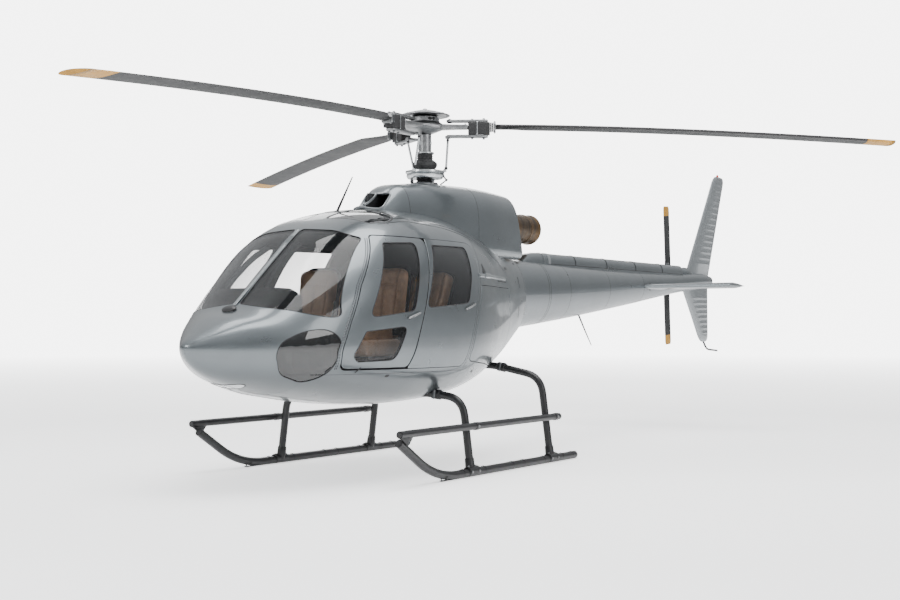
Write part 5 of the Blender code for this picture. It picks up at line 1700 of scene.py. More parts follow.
@dataclass
class Cowling:
    """Front, middle and rear cowls with the intake, and the exhaust pipe."""

    skin: float = 0.018
    front_seam: float = -0.60
    rear_seam: float = 0.32
    mouth: tuple[Point2, ...] = ((0.0, 2.325), (0.135, 2.325), (0.135, 2.475), (0.0, 2.475))
    exhaust_z: float = 2.310
    exhaust_radius: float = 0.150
    exhaust_bore: float = 0.136
    exhaust_front: float = 1.0203
    exhaust_end: float = 2.0

    def build(self) -> None:
        """Makes the cowls and the pipe."""
        mast = COWL.spots(traced([(0.155 * math.cos(a), 0.155 * math.sin(a)) for a in np.linspace(-HALF_TURN, HALF_TURN, 24)],
                                 closed=False), View.TOP)
        mouth = self.mouth_spots()
        front = [(-1.02, 2.270), (self.front_seam, 2.245), (self.front_seam, 2.8), (-1.02, 2.8)]
        middle = [(self.front_seam + FIT, 2.245), (-0.50, 2.240), (0.0, 2.150), (self.rear_seam, 2.040), (self.rear_seam, 2.8),
                  (self.front_seam + FIT, 2.8)]
        rear = [(self.rear_seam + FIT, 2.040), (0.60, 1.955), (1.285, 1.955), (1.085, 2.612), (1.08, 2.8),
                (self.rear_seam + FIT, 2.8)]
        for name, outline, holes in (("front", front, [mouth]), ("middle", middle, [mast]), ("rear", rear, [])):
            sheet = COWL.panel(COWL.spots(traced(outline)), holes, inner=self.skin, roll=0.002, halved=True)
            coats = sheet.coats(SILVER, SILVER, MOULDED)
            if name == "front":
                coats += self.duct(mouth)
            else:
                coats += self.seam(outline[0])
            make_piece(f"{name}_cowl_skin", "airframe", coats, [f"cowl_{name}"])
        self.build_exhaust()

    @staticmethod
    def duct(mouth: np.ndarray) -> list[Coat]:
        """The intake's bright lip, its splitter and the dark screen at its end."""
        profile = [(-0.012, -0.010), (0.004, -0.010), (0.006, 0.004), (0.0, 0.009), (-0.009, 0.005)]
        lip = COWL.bead(mouth[:-1], profile, closed=False)
        return [*mirrored_coats([(LIGHT_SILVER, lip)]),
                (DARK_STEEL, block((-0.003, -0.93, 2.330), (0.003, -0.65, 2.470), 0.001, 1)),
                (MOULDED, block((-0.134, -0.660, 2.325), (0.134, -0.640, 2.478), 0.004, 2))]

    def seam(self, foot: Point2) -> list[Coat]:
        """A dark seam up the cowl with a row of rivets behind it."""
        station, low = foot
        spots = COWL.spots(traced([(station, low + 0.01), (station, 2.56)], 0.02, closed=False))
        over = np.stack([np.linspace(spots[-1, 0], HALF_TURN, 16)[1:], np.full(15, spots[-1, 1])], axis=1)
        spots = np.concatenate([spots, over])
        surface, normal = COWL.frame(spots + (0.0, 0.018))
        rivets = repeats(Item.RIVET, DARK_STEEL, [(surface, normal, False)], spacing=0.05, size=0.0036, height=0.0014)
        return mirrored_coats([(RUBBER, COWL.bead(spots, band(0.004, 0.0007), closed=False)), *rivets])

    def mouth_spots(self) -> np.ndarray:
        """The intake mouth's port half, found on the cowl's sloping front."""
        return COWL.spots(traced(rounded(self.mouth, (0.0, 0.025, 0.025, 0.0), 5)), View.FRONT)

    def build_exhaust(self) -> None:
        """The pipe with its raised band and rolled lip."""
        bore, outer, end = self.exhaust_bore, self.exhaust_radius, self.exhaust_end
        profile = [(bore, end), (outer + 0.004, end), (outer + 0.010, end - 0.005), (outer + 0.010, end - 0.020),
                   (outer + 0.003, end - 0.030), (outer, end - 0.040), (outer, end - 0.150), (outer + 0.007, end - 0.155),
                   (outer + 0.007, end - 0.190), (outer, end - 0.195), (outer, self.exhaust_front), (bore, self.exhaust_front),
                   (bore, end)]
        make_piece("exhaust_stack", "airframe", [(PIPE, lathe(profile, 48, (0.0, 0.0, self.exhaust_z), "Y"))],
                   ["exhaust_pipe"])


# Tail

BOOM = Skin([(station, half, top, bottom, (top + bottom) / 2.0, 2.1, 2.0) for station, half, top, bottom in (
    (1.4003, 0.270, 1.985, 1.235), (2.60, 0.225, 1.965, 1.345), (4.35, 0.165, 1.955, 1.530), (6.00, 0.112, 1.975, 1.720),
    (6.90, 0.085, 1.985, 1.800), (7.10, 0.060, 1.965, 1.830))], cell=(0.13, 0.10))


def aerofoil(chord: float, half: float, count: int = 14) -> list[Point2]:
    """A symmetrical aerofoil, leading edge at 0.

    Args:
        chord: its length.
        half: half its thickness.
        count: points along a side.

    Returns:
        Places along the chord and heights.
    """
    places = [0.5 * chord * (1 - math.cos(math.pi * index / count)) for index in range(count + 1)]
    upper = [(place, half * 2.55 * math.sqrt(place / chord) * (1 - 0.97 * place / chord)) for place in places]
    return upper + [(place, -height) for place, height in upper[1:]][::-1]


@dataclass
class Tail:
    """Boom, drive shaft fairing, tailplane, fins, tail skid and their fittings."""

    plane_station: float = 4.87
    plane_half_span: float = 1.265
    plane_chord: float = 0.48
    plane_z: float = 1.765
    plane_half: float = 0.036
    fin_half: float = 0.032
    upper_fin: tuple[Point3, Point3] = ((6.20, 7.03, 1.86), (7.30, 7.69, 3.38))
    lower_fin: tuple[Point3, Point3] = ((6.10, 7.05, 1.86), (6.78, 7.06, 1.06))
    upper_ribs: tuple[int, float, float] = (15, 2.13, 3.26)
    lower_ribs: tuple[int, float, float] = (8, 1.66, 1.18)
    rib_width: float = 0.026
    rib_rise: float = 0.0022

    def build(self) -> None:
        """Makes the tail's pieces."""
        self.build_boom()
        self.build_tailplane()
        for name, (root, tip), ribs in (("upper", self.upper_fin, self.upper_ribs),
                                        ("lower", self.lower_fin, self.lower_ribs)):
            make_piece(f"{name}_fin_skin", "airframe", self.fin(root, tip, ribs), [f"fin_{name}"])
        self.build_fittings()
        route = filleted([(0.0, 6.86, 1.10), (0.0, 7.02, 0.955), (0.0, 7.40, 0.930)], 0.08)
        make_piece("tail_skid_rod", "airframe", [(BLACK, tube(route, 0.013, 14, dome=True))], ["tail_skid"])

    def build_boom(self) -> None:
        """The boom's skin and the fairing over the drive shaft."""
        rows = []
        for reach in np.linspace(0.0, BOOM.knots[-1], 60):
            angles = np.linspace(0.0, 2 * math.pi, 56, endpoint=False)
            rows.append(BOOM.point(np.stack([angles, np.full(56, reach)], axis=1)))
        make_piece("tail_boom_skin", "airframe", [(SILVER, rows_to_facets(np.array(rows)).outward())], ["tail_boom"])
        spine = []
        for share in np.linspace(0.0, 1.0, 40):
            station = 1.72 + share * 4.30
            ends = min(share / 0.10, (1.0 - share) / 0.02, 1.0)
            rise = 0.12 * math.sqrt(max(1.0 - (1.0 - ends) ** 2, 0.0)) if share < 0.5 else 0.12
            angles = np.linspace(0.0, 2 * math.pi, 32, endpoint=False)
            across, up = np.cos(angles), np.sin(angles)
            power = np.where(up > 0, 2.4, 4.0)
            wide = 0.080 * np.sign(across) * np.abs(across) ** (2 / power)
            high = 1.95 + np.where(up > 0, 0.005 + rise, 0.09) * np.sign(up) * np.abs(up) ** (2 / power)
            spine.append(np.stack([wide, np.full(32, station), high], axis=1))
        make_piece("shaft_fairing", "airframe", [(SILVER, rows_to_facets(np.array(spine)).outward())],
                   ["driveshaft_fairing"])

    def build_tailplane(self) -> None:
        """The tailplane with rounded tips."""
        rows = []
        span = self.plane_half_span
        for share in np.sin(np.linspace(-HALF_TURN, HALF_TURN, 41)):
            x = share * span
            edge = max(0.0, (abs(x) - span + 0.03) / 0.03)
            shrink = math.sqrt(max(1.0 - edge * edge, 0.02))
            rows.append([(x, self.plane_station - self.plane_chord / 2 + along, self.plane_z + up * shrink)
                         for along, up in aerofoil(self.plane_chord, self.plane_half)])
        make_piece("tailplane_skin", "airframe", [(SILVER, rows_to_facets(np.array(rows)).outward())], ["tailplane"])

    def fin(self, root: Point3, tip: Point3, ribs: tuple[int, float, float]) -> list[Coat]:
        """A fin with pressed ribs, a rounded end and a row of rivets on its spar.

        Args:
            root: leading station, trailing station and height where it starts.
            tip: the same where it ends.
            ribs: how many ribs, and the first and last one's height.

        Returns:
            The coats.
        """
        rise = tip[2] - root[2]
        width = self.rib_width / abs(rise)
        rings = [(0.0, 0.0, 0.0)]
        for middle in (np.linspace(ribs[1], ribs[2], ribs[0]) - root[2]) / rise:
            rings += [(middle + width * step, swell, 0.0) for step, swell in ((-0.5, 0.0), (-0.2, 1.0), (0.2, 1.0), (0.5, 0.0))]
        for angle in np.linspace(0.0, HALF_TURN, 7):
            rings.append((1.0 - 0.10 * (1.0 - math.sin(angle)) / abs(rise), 0.0, 1.0 - math.cos(angle)))
        rows, spar = [], []
        for share, swell, pinch in rings:
            lead, trail, height = (a + (b - a) * share for a, b in zip(root, tip))
            lead += 0.07 * pinch
            chord = trail - 0.09 * pinch - lead
            half = self.fin_half * (1.0 - 0.5 * pinch)
            row = []
            for along, up in aerofoil(chord, half):
                reach = min(max((along / chord - 0.28) / 0.10, 0.0), max((1.0 - along / chord) / 0.08, 0.0), 1.0)
                row.append((up + math.copysign(self.rib_rise * swell * reach, up), lead + along, height))
            rows.append(row)
            if not pinch:
                spar.append((0.973 * half, lead + 0.25 * chord, height))
        lines = [(np.array(spar) * (side, 1.0, 1.0), np.array((side, 0.0, 0.0)), False) for side in (1.0, -1.0)]
        return [(LIGHT_SILVER, rows_to_facets(np.array(rows)).outward()),
                *repeats(Item.RIVET, DARK_STEEL, lines, spacing=0.045, size=0.0032, height=0.0014)]

    def build_fittings(self) -> None:
        """Rings on the boom, straps on the fairing, the gearbox cover and the tailplane's roots and lamps."""
        coats: list[Coat] = []
        around = np.linspace(0.0, 2 * math.pi, 60, endpoint=False)
        for station, width, height in ((1.425, 0.016, 0.0020), (2.030, 0.005, 0.0008), (2.072, 0.005, 0.0008), (2.558, 0.004, 0.0007),
                                       (3.617, 0.004, 0.0007), (4.634, 0.004, 0.0007)):
            spots = np.stack([around, np.full(60, float(BOOM.reach(station)))], axis=1)
            finish = LIGHT_SILVER if width > 0.01 else RUBBER
            coats.append((finish, BOOM.bead(spots, band(width, height))))
            surface, normal = BOOM.frame(spots + (0.0, 0.022))
            coats += repeats(Item.RIVET, DARK_STEEL, [(surface, normal, True)], spacing=0.05, size=0.0032, height=0.0013)
        over = np.linspace(0.0, math.pi, 25)
        for station, wide, finish in ((2.204, 0.004, LIGHT_SILVER), (2.330, 0.060, LIGHT_SILVER),
                                      (2.95, 0.010, BLACK), (3.75, 0.010, BLACK),
                                      (4.55, 0.010, BLACK), (5.35, 0.010, BLACK)):
            path = [(0.0815 * math.copysign(abs(math.cos(a)) ** 0.83, math.cos(a)), station,
                     1.955 + 0.1215 * math.sin(a) ** 0.83) for a in over]
            coats.append((finish, sweep(path, band(wide, 0.0022), (1.0, 0.0, 0.0))))
        edge = [(0.0806, station, 1.958) for station in (2.30, 4.0, 5.98)]
        coats += mirrored_coats([(RUBBER, tube(edge, 0.0032, 10))])
        rows = []
        for share in np.linspace(0.01, 0.99, 20):
            bulge = math.sqrt(1.0 - (2.0 * share - 1.0) ** 2)
            angle = np.linspace(0.0, 2 * math.pi, 28, endpoint=False)
            rows.append(np.stack([0.072 * bulge * np.cos(angle), np.full(28, 6.03 + 0.42 * share),
                                  1.965 + 0.095 * bulge * np.sin(angle)], axis=1))
        coats.append((SILVER, rows_to_facets(np.array(rows)).outward()))
        root = lathe([(0.0, 0.030), (0.036, 0.029), (0.046, 0.022), (0.052, 0.0), (0.0, 0.0)], 30,
                     (0.132, self.plane_station - 0.05, self.plane_z), "X")
        lamp = tube([(1.175, 4.650, 1.765), (1.248, 4.650, 1.765)], 0.0095, 14, dome=True)
        collar = tube([(1.150, 4.652, 1.765), (1.200, 4.652, 1.765)], 0.0115, 14, dome=True)
        coats += mirrored_coats([(BLACK, root), (BEACON, lamp), (BLACK, collar)])
        make_piece("tail_fittings", "airframe", coats)


# Rotors

BLADE_ANGLES = (270.5, 30.5, 150.5)


def bolt(place: Point3, axis: Point3, radius: float = 0.010, height: float = 0.009) -> Facets:
    """A six-sided bolt head on its washer.

    Args:
        place: where the washer lies.
        axis: the way the head points.
        radius: the head's radius.
        height: the head's height.

    Returns:
        The facets.
    """
    head = lathe([(0.0, height), (0.82 * radius, height), (radius, 0.8 * height), (radius, 0.0), (0.0, 0.0)], 6)
    washer = lathe([(0.0, 0.0022), (1.35 * radius, 0.0022), (1.4 * radius, 0.0), (0.0, 0.0)], 14)
    turn = Vector(axis).to_track_quat("Z", "X").to_matrix().to_4x4()
    return joined([head, washer]).moved(Matrix.Translation(place) @ turn)


def turned_coats(coats: Iterable[Coat], turn: Matrix) -> list[Coat]:
    """Coats after a rigid move."""
    return [(finish, facets.moved(turn)) for finish, facets in coats]


@dataclass
class MainRotor:
    """Mast, swashplates, head and blades."""

    radius: float = 4.40
    root: float = 0.675
    height: float = 3.172
    droop: float = 0.170
    chord: float = 0.330
    thickness: float = 0.040
    cuff_chord: float = 0.12
    cuff_thickness: float = 0.052
    cuff_end: float = 1.00
    tip_band: float = 0.20
    strip: float = 0.11
    plates: tuple[Point2, Point2] = ((3.070, 3.096), (3.2155, 3.240))
    sleeve: Point2 = (0.20, 0.60)
    sleeve_half: float = 0.052
    link: tuple[Point3, ...] = ((0.176, 0.0, 2.752), (0.200, 0.018, 2.782), (0.213, 0.070, 3.02), (0.215, 0.075, 3.069))

    def build(self) -> None:
        """Makes the mast, the head, the sleeves and the blades."""
        self.build_mast()
        self.build_swashplates()
        self.build_star()
        tree = self.blade_tree()
        for index, angle in enumerate(BLADE_ANGLES):
            turn = Matrix.Rotation(math.radians(angle), 4, "Z")
            name = f"main_blade_{index + 1}"
            make_piece(f"{name}_body", "main_rotor", turned_coats(self.blade(tree), turn), [name])
            make_piece(f"sleeve_{index + 1}_body", "main_rotor", turned_coats(self.sleeve_coats(), turn),
                       [f"blade_sleeve_{index + 1}"])

    def blade_tree(self) -> Tree:
        """The rule of a blade: an aerofoil whose chord and thickness follow the radius, drooping to its tip.

        Returns:
            The tree, whose inputs are the blade's sizes in metres.
        """
        tree = Tree("blade", root=self.root, reach=self.radius, chord=self.chord, thickness=self.thickness,
                    height=self.height, droop=self.droop)
        along, around = 60, 33
        grid = tree.add("GeometryNodeMeshGrid", Size_X=1.0, Size_Y=1.0, Vertices_X=along, Vertices_Y=around)
        parts = tree.group.nodes.new("ShaderNodeSeparateXYZ")
        tree.fill(parts.inputs[0], tree.add("GeometryNodeInputPosition"))
        way = tree.math("ADD", parts.outputs[0], 0.5)
        turn = tree.math("MULTIPLY", tree.math("ADD", parts.outputs[1], 0.5), 2.0 * math.pi)
        given = tree.given
        radius = tree.math("MULTIPLY_ADD", way, tree.math("SUBTRACT", given["reach"], given["root"]), given["root"])
        cuff = tree.add("ShaderNodeMapRange", {"interpolation_type": "SMOOTHSTEP"}, Value=radius, From_Min=self.root,
                        From_Max=self.cuff_end, To_Min=self.cuff_chord, To_Max=given["chord"])
        thick = tree.add("ShaderNodeMapRange", {"interpolation_type": "SMOOTHSTEP"}, Value=radius, From_Min=self.root,
                         From_Max=self.cuff_end, To_Min=self.cuff_thickness, To_Max=given["thickness"])
        place = tree.math("MULTIPLY_ADD", tree.math("COSINE", turn), -0.5, 0.5)
        fall = tree.math("MULTIPLY_ADD", place, -0.97, 1.0)
        swell = tree.math("MULTIPLY", tree.math("MULTIPLY", tree.math("SQRT", place), fall), 1.275)
        side = tree.math("SIGN", tree.math("SINE", turn))
        rise = tree.math("MULTIPLY", tree.math("MULTIPLY", swell, side), thick)
        hang = tree.math("MULTIPLY", tree.math("POWER", way, 1.6), given["droop"])
        spot = tree.add("ShaderNodeCombineXYZ", X=radius, Y=tree.math("MULTIPLY", tree.math("SUBTRACT", place, 0.3), cuff),
                        Z=tree.math("SUBTRACT", tree.math("ADD", given["height"], rise), hang))
        leading = tree.math("LESS_THAN", place, self.strip)
        ends = tree.math("GREATER_THAN", radius, tree.math("SUBTRACT", given["reach"], self.tip_band))
        kept = tree.add("GeometryNodeCaptureAttribute", Geometry=grid)
        shape = kept.node
        for label, field in (("leading", leading), ("ends", ends)):
            item = shape.capture_items.new("FLOAT", label)
            tree.fill(shape.inputs[item.name], field)
        moved = tree.add("GeometryNodeSetPosition", Geometry=kept, Position=spot)
        closed = tree.add("GeometryNodeMergeByDistance", Geometry=moved, Distance=0.0001)
        tree.close(closed, [(BLADE, None), (BLADE_EDGE, shape.outputs["leading"]), (TIP, shape.outputs["ends"])])
        return tree

    def blade(self, tree: Tree) -> list[Coat]:
        """A blade along +X with its caps, root collar and collar bolts.

        Args:
            tree: the rule of the blade.

        Returns:
            The coats.
        """
        coats = tree.grow([BLADE, BLADE_EDGE, TIP])
        for radius, chord, thickness, fall, finish in (
                (self.root, self.cuff_chord, self.cuff_thickness, 0.0, BLADE),
                (self.radius, self.chord, self.thickness, self.droop, TIP)):
            rows = [[(radius, along - 0.3 * chord, self.height - fall + up)
                     for along, up in aerofoil(chord, thickness / 2, 16)]]
            side = 0.0015 if finish is TIP else -0.003
            rows.append([(radius + side, y, z) for _, y, z in rows[0]])
            coats.append((finish, rows_to_facets(np.array(rows)).outward()))
        middle = 0.2 * self.cuff_chord
        for start, end, wide, high in ((0.6200, 0.634, 0.058, 0.043), (0.636, 0.650, 0.056, 0.041),
                                       (0.652, 0.674, 0.059, 0.044)):
            collar = rounded([(middle - wide, -high), (middle + wide, -high),
                              (middle + wide, high), (middle - wide, high)], 0.026)
            ring = plate(collar, start, end, View.SIDE, 0.003)
            coats.append((DARK_STEEL if start < 0.65 else STEEL, ring.moved(Matrix.Translation((0.0, 0.0, self.height)))))
        for y in (middle - 0.036, middle + 0.036):
            coats.append((STEEL, bolt((0.663, y, self.height + 0.044), (0.0, 0.0, 1.0), 0.008)))
            coats.append((STEEL, bolt((0.663, y, self.height - 0.044), (0.0, 0.0, -1.0), 0.008)))
        return coats

    def build_star(self) -> None:
        """The star's plate with its arms, the drum on it and the domed cap."""
        low, high = 3.152, 3.192
        drum = [(0.053, 3.2655), (0.128, 3.2655), (0.136, 3.260), (0.136, 3.222), (0.150, 3.214), (0.180, 3.193),
                (0.190, 3.172), (0.178, 3.152), (0.100, 3.120), (0.065, 3.105), (0.053, 3.105), (0.053, 3.2655)]
        coats = [(STEEL, lathe(drum, 72))]
        arm = rounded([(0.10, -0.100), (0.30, -0.054), (0.409, -0.050), (0.409, 0.050), (0.30, 0.054), (0.10, 0.100)],
                      (0.0, 0.25, 0.012, 0.012, 0.25, 0.0), 6)
        for angle in BLADE_ANGLES:
            turn = Matrix.Rotation(math.radians(angle), 4, "Z")
            coats.append((STEEL, plate(arm, low, high, View.TOP, 0.006).moved(turn)))
            for y in (-0.030, 0.030):
                coats.append((ALUMINIUM, bolt((0.385, y, high), (0.0, 0.0, 1.0), 0.008).moved(turn)))
            window = rounded([(-0.035, 3.226), (0.035, 3.226), (0.035, 3.256), (-0.035, 3.256)], 0.010)
            spin = turn @ Matrix.Rotation(math.radians(60.0), 4, "Z")
            coats.append((MOULDED, plate(window, 0.1315, 0.1368, View.SIDE, 0.0005).moved(spin)))
        rim = arc(0.136, 48)
        lines = [(np.column_stack([rim, np.full(48, height)]), np.column_stack([rim, np.zeros(48)]), True)
                 for height in (3.230, 3.253)]
        coats += repeats(Item.RIVET, ALUMINIUM, lines, spacing=0.034, size=0.0048, height=0.0045)
        make_piece("star_body", "main_rotor", coats, ["rotor_star"])

        dome = [(0.0, 3.3520), (0.012, 3.3515), (0.020, 3.3470), (0.024, 3.3400), (0.060, 3.3335), (0.120, 3.3200),
                (0.180, 3.3045), (0.225, 3.2905), (0.2375, 3.2850), (0.2380, 3.2790), (0.2300, 3.2765)]
        under = [(0.2300, 3.2765), (0.225, 3.2765), (0.150, 3.2900), (0.100, 3.2715), (0.0, 3.2715)]
        coats = [(STEEL, lathe(dome + [(0.2250, 3.2800), (0.0, 3.2800)], 72)),
                 (DARK_STEEL, lathe([(0.0, 3.2815), (0.2240, 3.2815)] + under[1:], 72))]
        ring = arc(0.205, 24)
        screws = (np.column_stack([ring, np.full(24, 3.2968)]), np.array((0.0, 0.0, 1.0)), True)
        coats += repeats(Item.RIVET, DARK_STEEL, [screws], spacing=0.107, size=0.0060, height=0.0045)
        make_piece("cap_body", "main_rotor", coats, ["rotor_cap"])

    def build_mast(self) -> None:
        """The mast tube, its collar and the two rubber bellows, whose folds follow a wave."""
        tube_part = [(0.0, 3.270), (0.052, 3.270), (0.052, 3.105), (0.060, 3.098), (0.060, 2.934), (0.0, 2.934)]
        collar = [(0.0, 2.934), (0.080, 2.934), (0.0865, 2.929), (0.0865, 2.919), (0.080, 2.914), (0.0, 2.914)]
        small = [(0.074 + 0.0035 * math.cos(3.0 * math.pi * step / 12), 2.913 - 0.056 * step / 24) for step in range(25)]
        large = [(0.080 + 0.037 * math.sin(math.pi * min(step / 14, 1.0) / 2) - 0.018 * max(0.0, (step - 20) / 10)
                  + 0.0018 * math.cos(2.0 * math.pi * step / 5), 2.857 - 0.0825 * step / 30) for step in range(31)]
        foot = [(0.0, 2.7735), (0.0575, 2.7735), (0.0575, 2.645), (0.0, 2.645)]
        coats = [(STEEL, lathe(tube_part, 48)), (ALUMINIUM, lathe(collar, 48)),
                 (RUBBER, lathe([(0.0, 2.913), *small, (0.0, 2.857)], 56)),
                 (RUBBER, lathe([(0.0, 2.857), *large, (0.0, 2.7745)], 56)),
                 (DARK_STEEL, lathe(foot, 36))]
        for angle in (20.0, 140.0, 260.0):
            hole = lathe([(0.0, 0.062), (0.013, 0.0612), (0.019, 0.0615), (0.021, 0.058), (0.0, 0.058)], 20, axis="X")
            coats.append((ALUMINIUM, hole.moved(Matrix.Rotation(math.radians(angle), 4, "Z")
                                                @ Matrix.Translation((0.0, 0.0, 3.02)))))
        make_piece("mast_body", "main_rotor", coats, ["rotor_mast"])

    def build_swashplates(self) -> None:
        """Turning plate with its links, and the fixed plate with its servo rods and scissors."""
        plate_profile = [(0.078, 2.7600), (0.150, 2.7600), (0.162, 2.7570), (0.185, 2.7520), (0.186, 2.7350), (0.176, 2.7230),
                         (0.078, 2.7230), (0.078, 2.7600)]
        coats = [(ALUMINIUM, lathe(plate_profile, 64))]
        ring = arc(0.120, 32)
        screws = (np.column_stack([ring, np.full(32, 2.7598)]), np.array((0.0, 0.0, 1.0)), True)
        coats += repeats(Item.RIVET, DARK_STEEL, [screws], spacing=0.047, size=0.0050, height=0.0035)
        for angle in BLADE_ANGLES:
            turn = Matrix.Rotation(math.radians(angle), 4, "Z")
            low, elbow, top, end = self.link
            lug = plate(rounded([(0.150, -0.022), (0.205, -0.015), (0.205, 0.015), (0.150, 0.022)], 0.010, 4), 2.744, 2.760,
                        View.TOP, 0.003)
            coats.append((ALUMINIUM, lug.moved(turn)))
            route = [elbow, *filleted([elbow, top, end], 0.03, 4)[1:]]
            coats += turned_coats(pipes(ALUMINIUM, [route], 0.011, 12), turn)
            for joint, size in ((elbow, 0.017), ((0.2145, 0.074, 3.056), 0.015)):
                ball = lathe([(size * math.sin(a), size * math.cos(a)) for a in np.linspace(0.0, math.pi, 11)], 18, joint)
                coats.append((RUBBER, ball.moved(turn)))
            coats.append((DARK_STEEL, tube([low, elbow], 0.010, 12).moved(turn)))
        make_piece("turning_plate_body", "main_rotor", coats, ["swashplate_turning"])

        plate_profile = [(0.078, 2.7215), (0.170, 2.7215), (0.176, 2.7150), (0.176, 2.7000), (0.165, 2.6810), (0.078, 2.6810),
                         (0.078, 2.7215)]
        column = [(0.062, 2.6830), (0.079, 2.6830), (0.083, 2.6700), (0.074, 2.6600), (0.084, 2.6500), (0.074, 2.6400),
                  (0.086, 2.6250), (0.086, 2.6050), (0.062, 2.6050), (0.062, 2.6830)]
        coats = [(ALUMINIUM, lathe(plate_profile, 64)), (RUBBER, lathe(column, 40))]
        for angle in (100.0, 220.0, 340.0):
            turn = Matrix.Rotation(math.radians(angle), 4, "Z")
            coats += turned_coats(pipes(STEEL, [[(0.125, 0.0, 2.69), (0.125, 0.0, 2.49)]], 0.010, 12), turn)
            sleeve = lathe([(0.0, 2.672), (0.016, 2.668), (0.018, 2.650), (0.013, 2.640), (0.0, 2.640)], 16, (0.125, 0.0, 0.0))
            coats.append((DARK_STEEL, sleeve.moved(turn)))
        turn = Matrix.Rotation(math.radians(40.0), 4, "Z")
        for points in (((0.172, -0.014, 2.716), (0.206, -0.008, 2.672), (0.150, -0.004, 2.628)),
                       ((0.172, 0.014, 2.716), (0.206, 0.008, 2.672), (0.150, 0.004, 2.628))):
            coats.append((STEEL, tube(points, 0.0075, 10, dome=True).moved(turn)))
        coats.append((DARK_STEEL, tube([(0.206, -0.022, 2.672), (0.206, 0.022, 2.672)], 0.011, 12, dome=True).moved(turn)))
        coats.append((DARK_STEEL, tube([(0.172, -0.026, 2.714), (0.172, 0.026, 2.714)], 0.012, 12, dome=True).moved(turn)))
        make_piece("fixed_plate_body", "airframe", coats, ["swashplate_fixed"])

    def sleeve_coats(self) -> list[Coat]:
        """A sleeve along +X: two bars, the black elastic block with its strap, the horn and the bolts."""
        near, far = self.sleeve
        half = self.sleeve_half
        coats: list[Coat] = []
        for (low, high), eye in zip(self.plates, (False, True)):
            bar = rounded([(near + 0.004, -half * 0.72), (far - 0.05, -half), (far, -half * 0.8), (far, half * 0.8), (far - 0.05, half),
                           (near + 0.004, half * 0.72)], (0.030, 0.04, 0.030, 0.030, 0.04, 0.030), 6)
            coats.append((STEEL, plate(bar, low, high, View.TOP, 0.008)))
            if eye:
                ring = lathe([(0.008, high + 0.003), (0.022, high + 0.003), (0.025, high), (0.025, low), (0.022, low - 0.004),
                              (0.008, low - 0.004), (0.008, high + 0.003)], 28, (near + 0.036, 0.0, 0.0))
                coats.append((RUBBER, ring))
        coats.append((RUBBER, block((0.411, -0.0555, 3.0965), (0.6185, 0.0555, 3.2150), 0.010, 3)))
        strap = rounded([(-0.0585, 3.0925), (0.0585, 3.0925), (0.0585, 3.2190), (-0.0585, 3.2190)], 0.012)
        hoop = [(0.499, y, z) for y, z in strap]
        coats.append((ALUMINIUM, sweep(hoop, [(-0.005, -0.0015), (0.005, -0.0015), (0.005, 0.0015), (-0.005, 0.0015)],
                                       (0.0, 0.0, -1.0), closed=True)))
        horn = rounded([(0.190, 0.030), (0.245, 0.030), (0.240, 0.096), (0.192, 0.096)], (0.004, 0.004, 0.018, 0.018), 5)
        coats.append((STEEL, plate(horn, 3.0715, 3.0945, View.TOP, 0.004)))
        top, foot = self.plates[1][1], self.plates[0][0]
        for radius, y in ((0.45, 0.0), (0.56, -0.026), (0.56, 0.026)):
            coats.append((DARK_STEEL, bolt((radius, y, top - 0.0005), (0.0, 0.0, 1.0), 0.012, 0.012)))
            coats.append((DARK_STEEL, bolt((radius, y, foot + 0.0005), (0.0, 0.0, -1.0), 0.012, 0.014)))
        coats.append((ALUMINIUM, lathe([(0.0, 0.009), (0.013, 0.009), (0.017, 0.0), (0.0, 0.0)], 20,
                                       (near + 0.036, 0.0, top + 0.002))))
        return coats


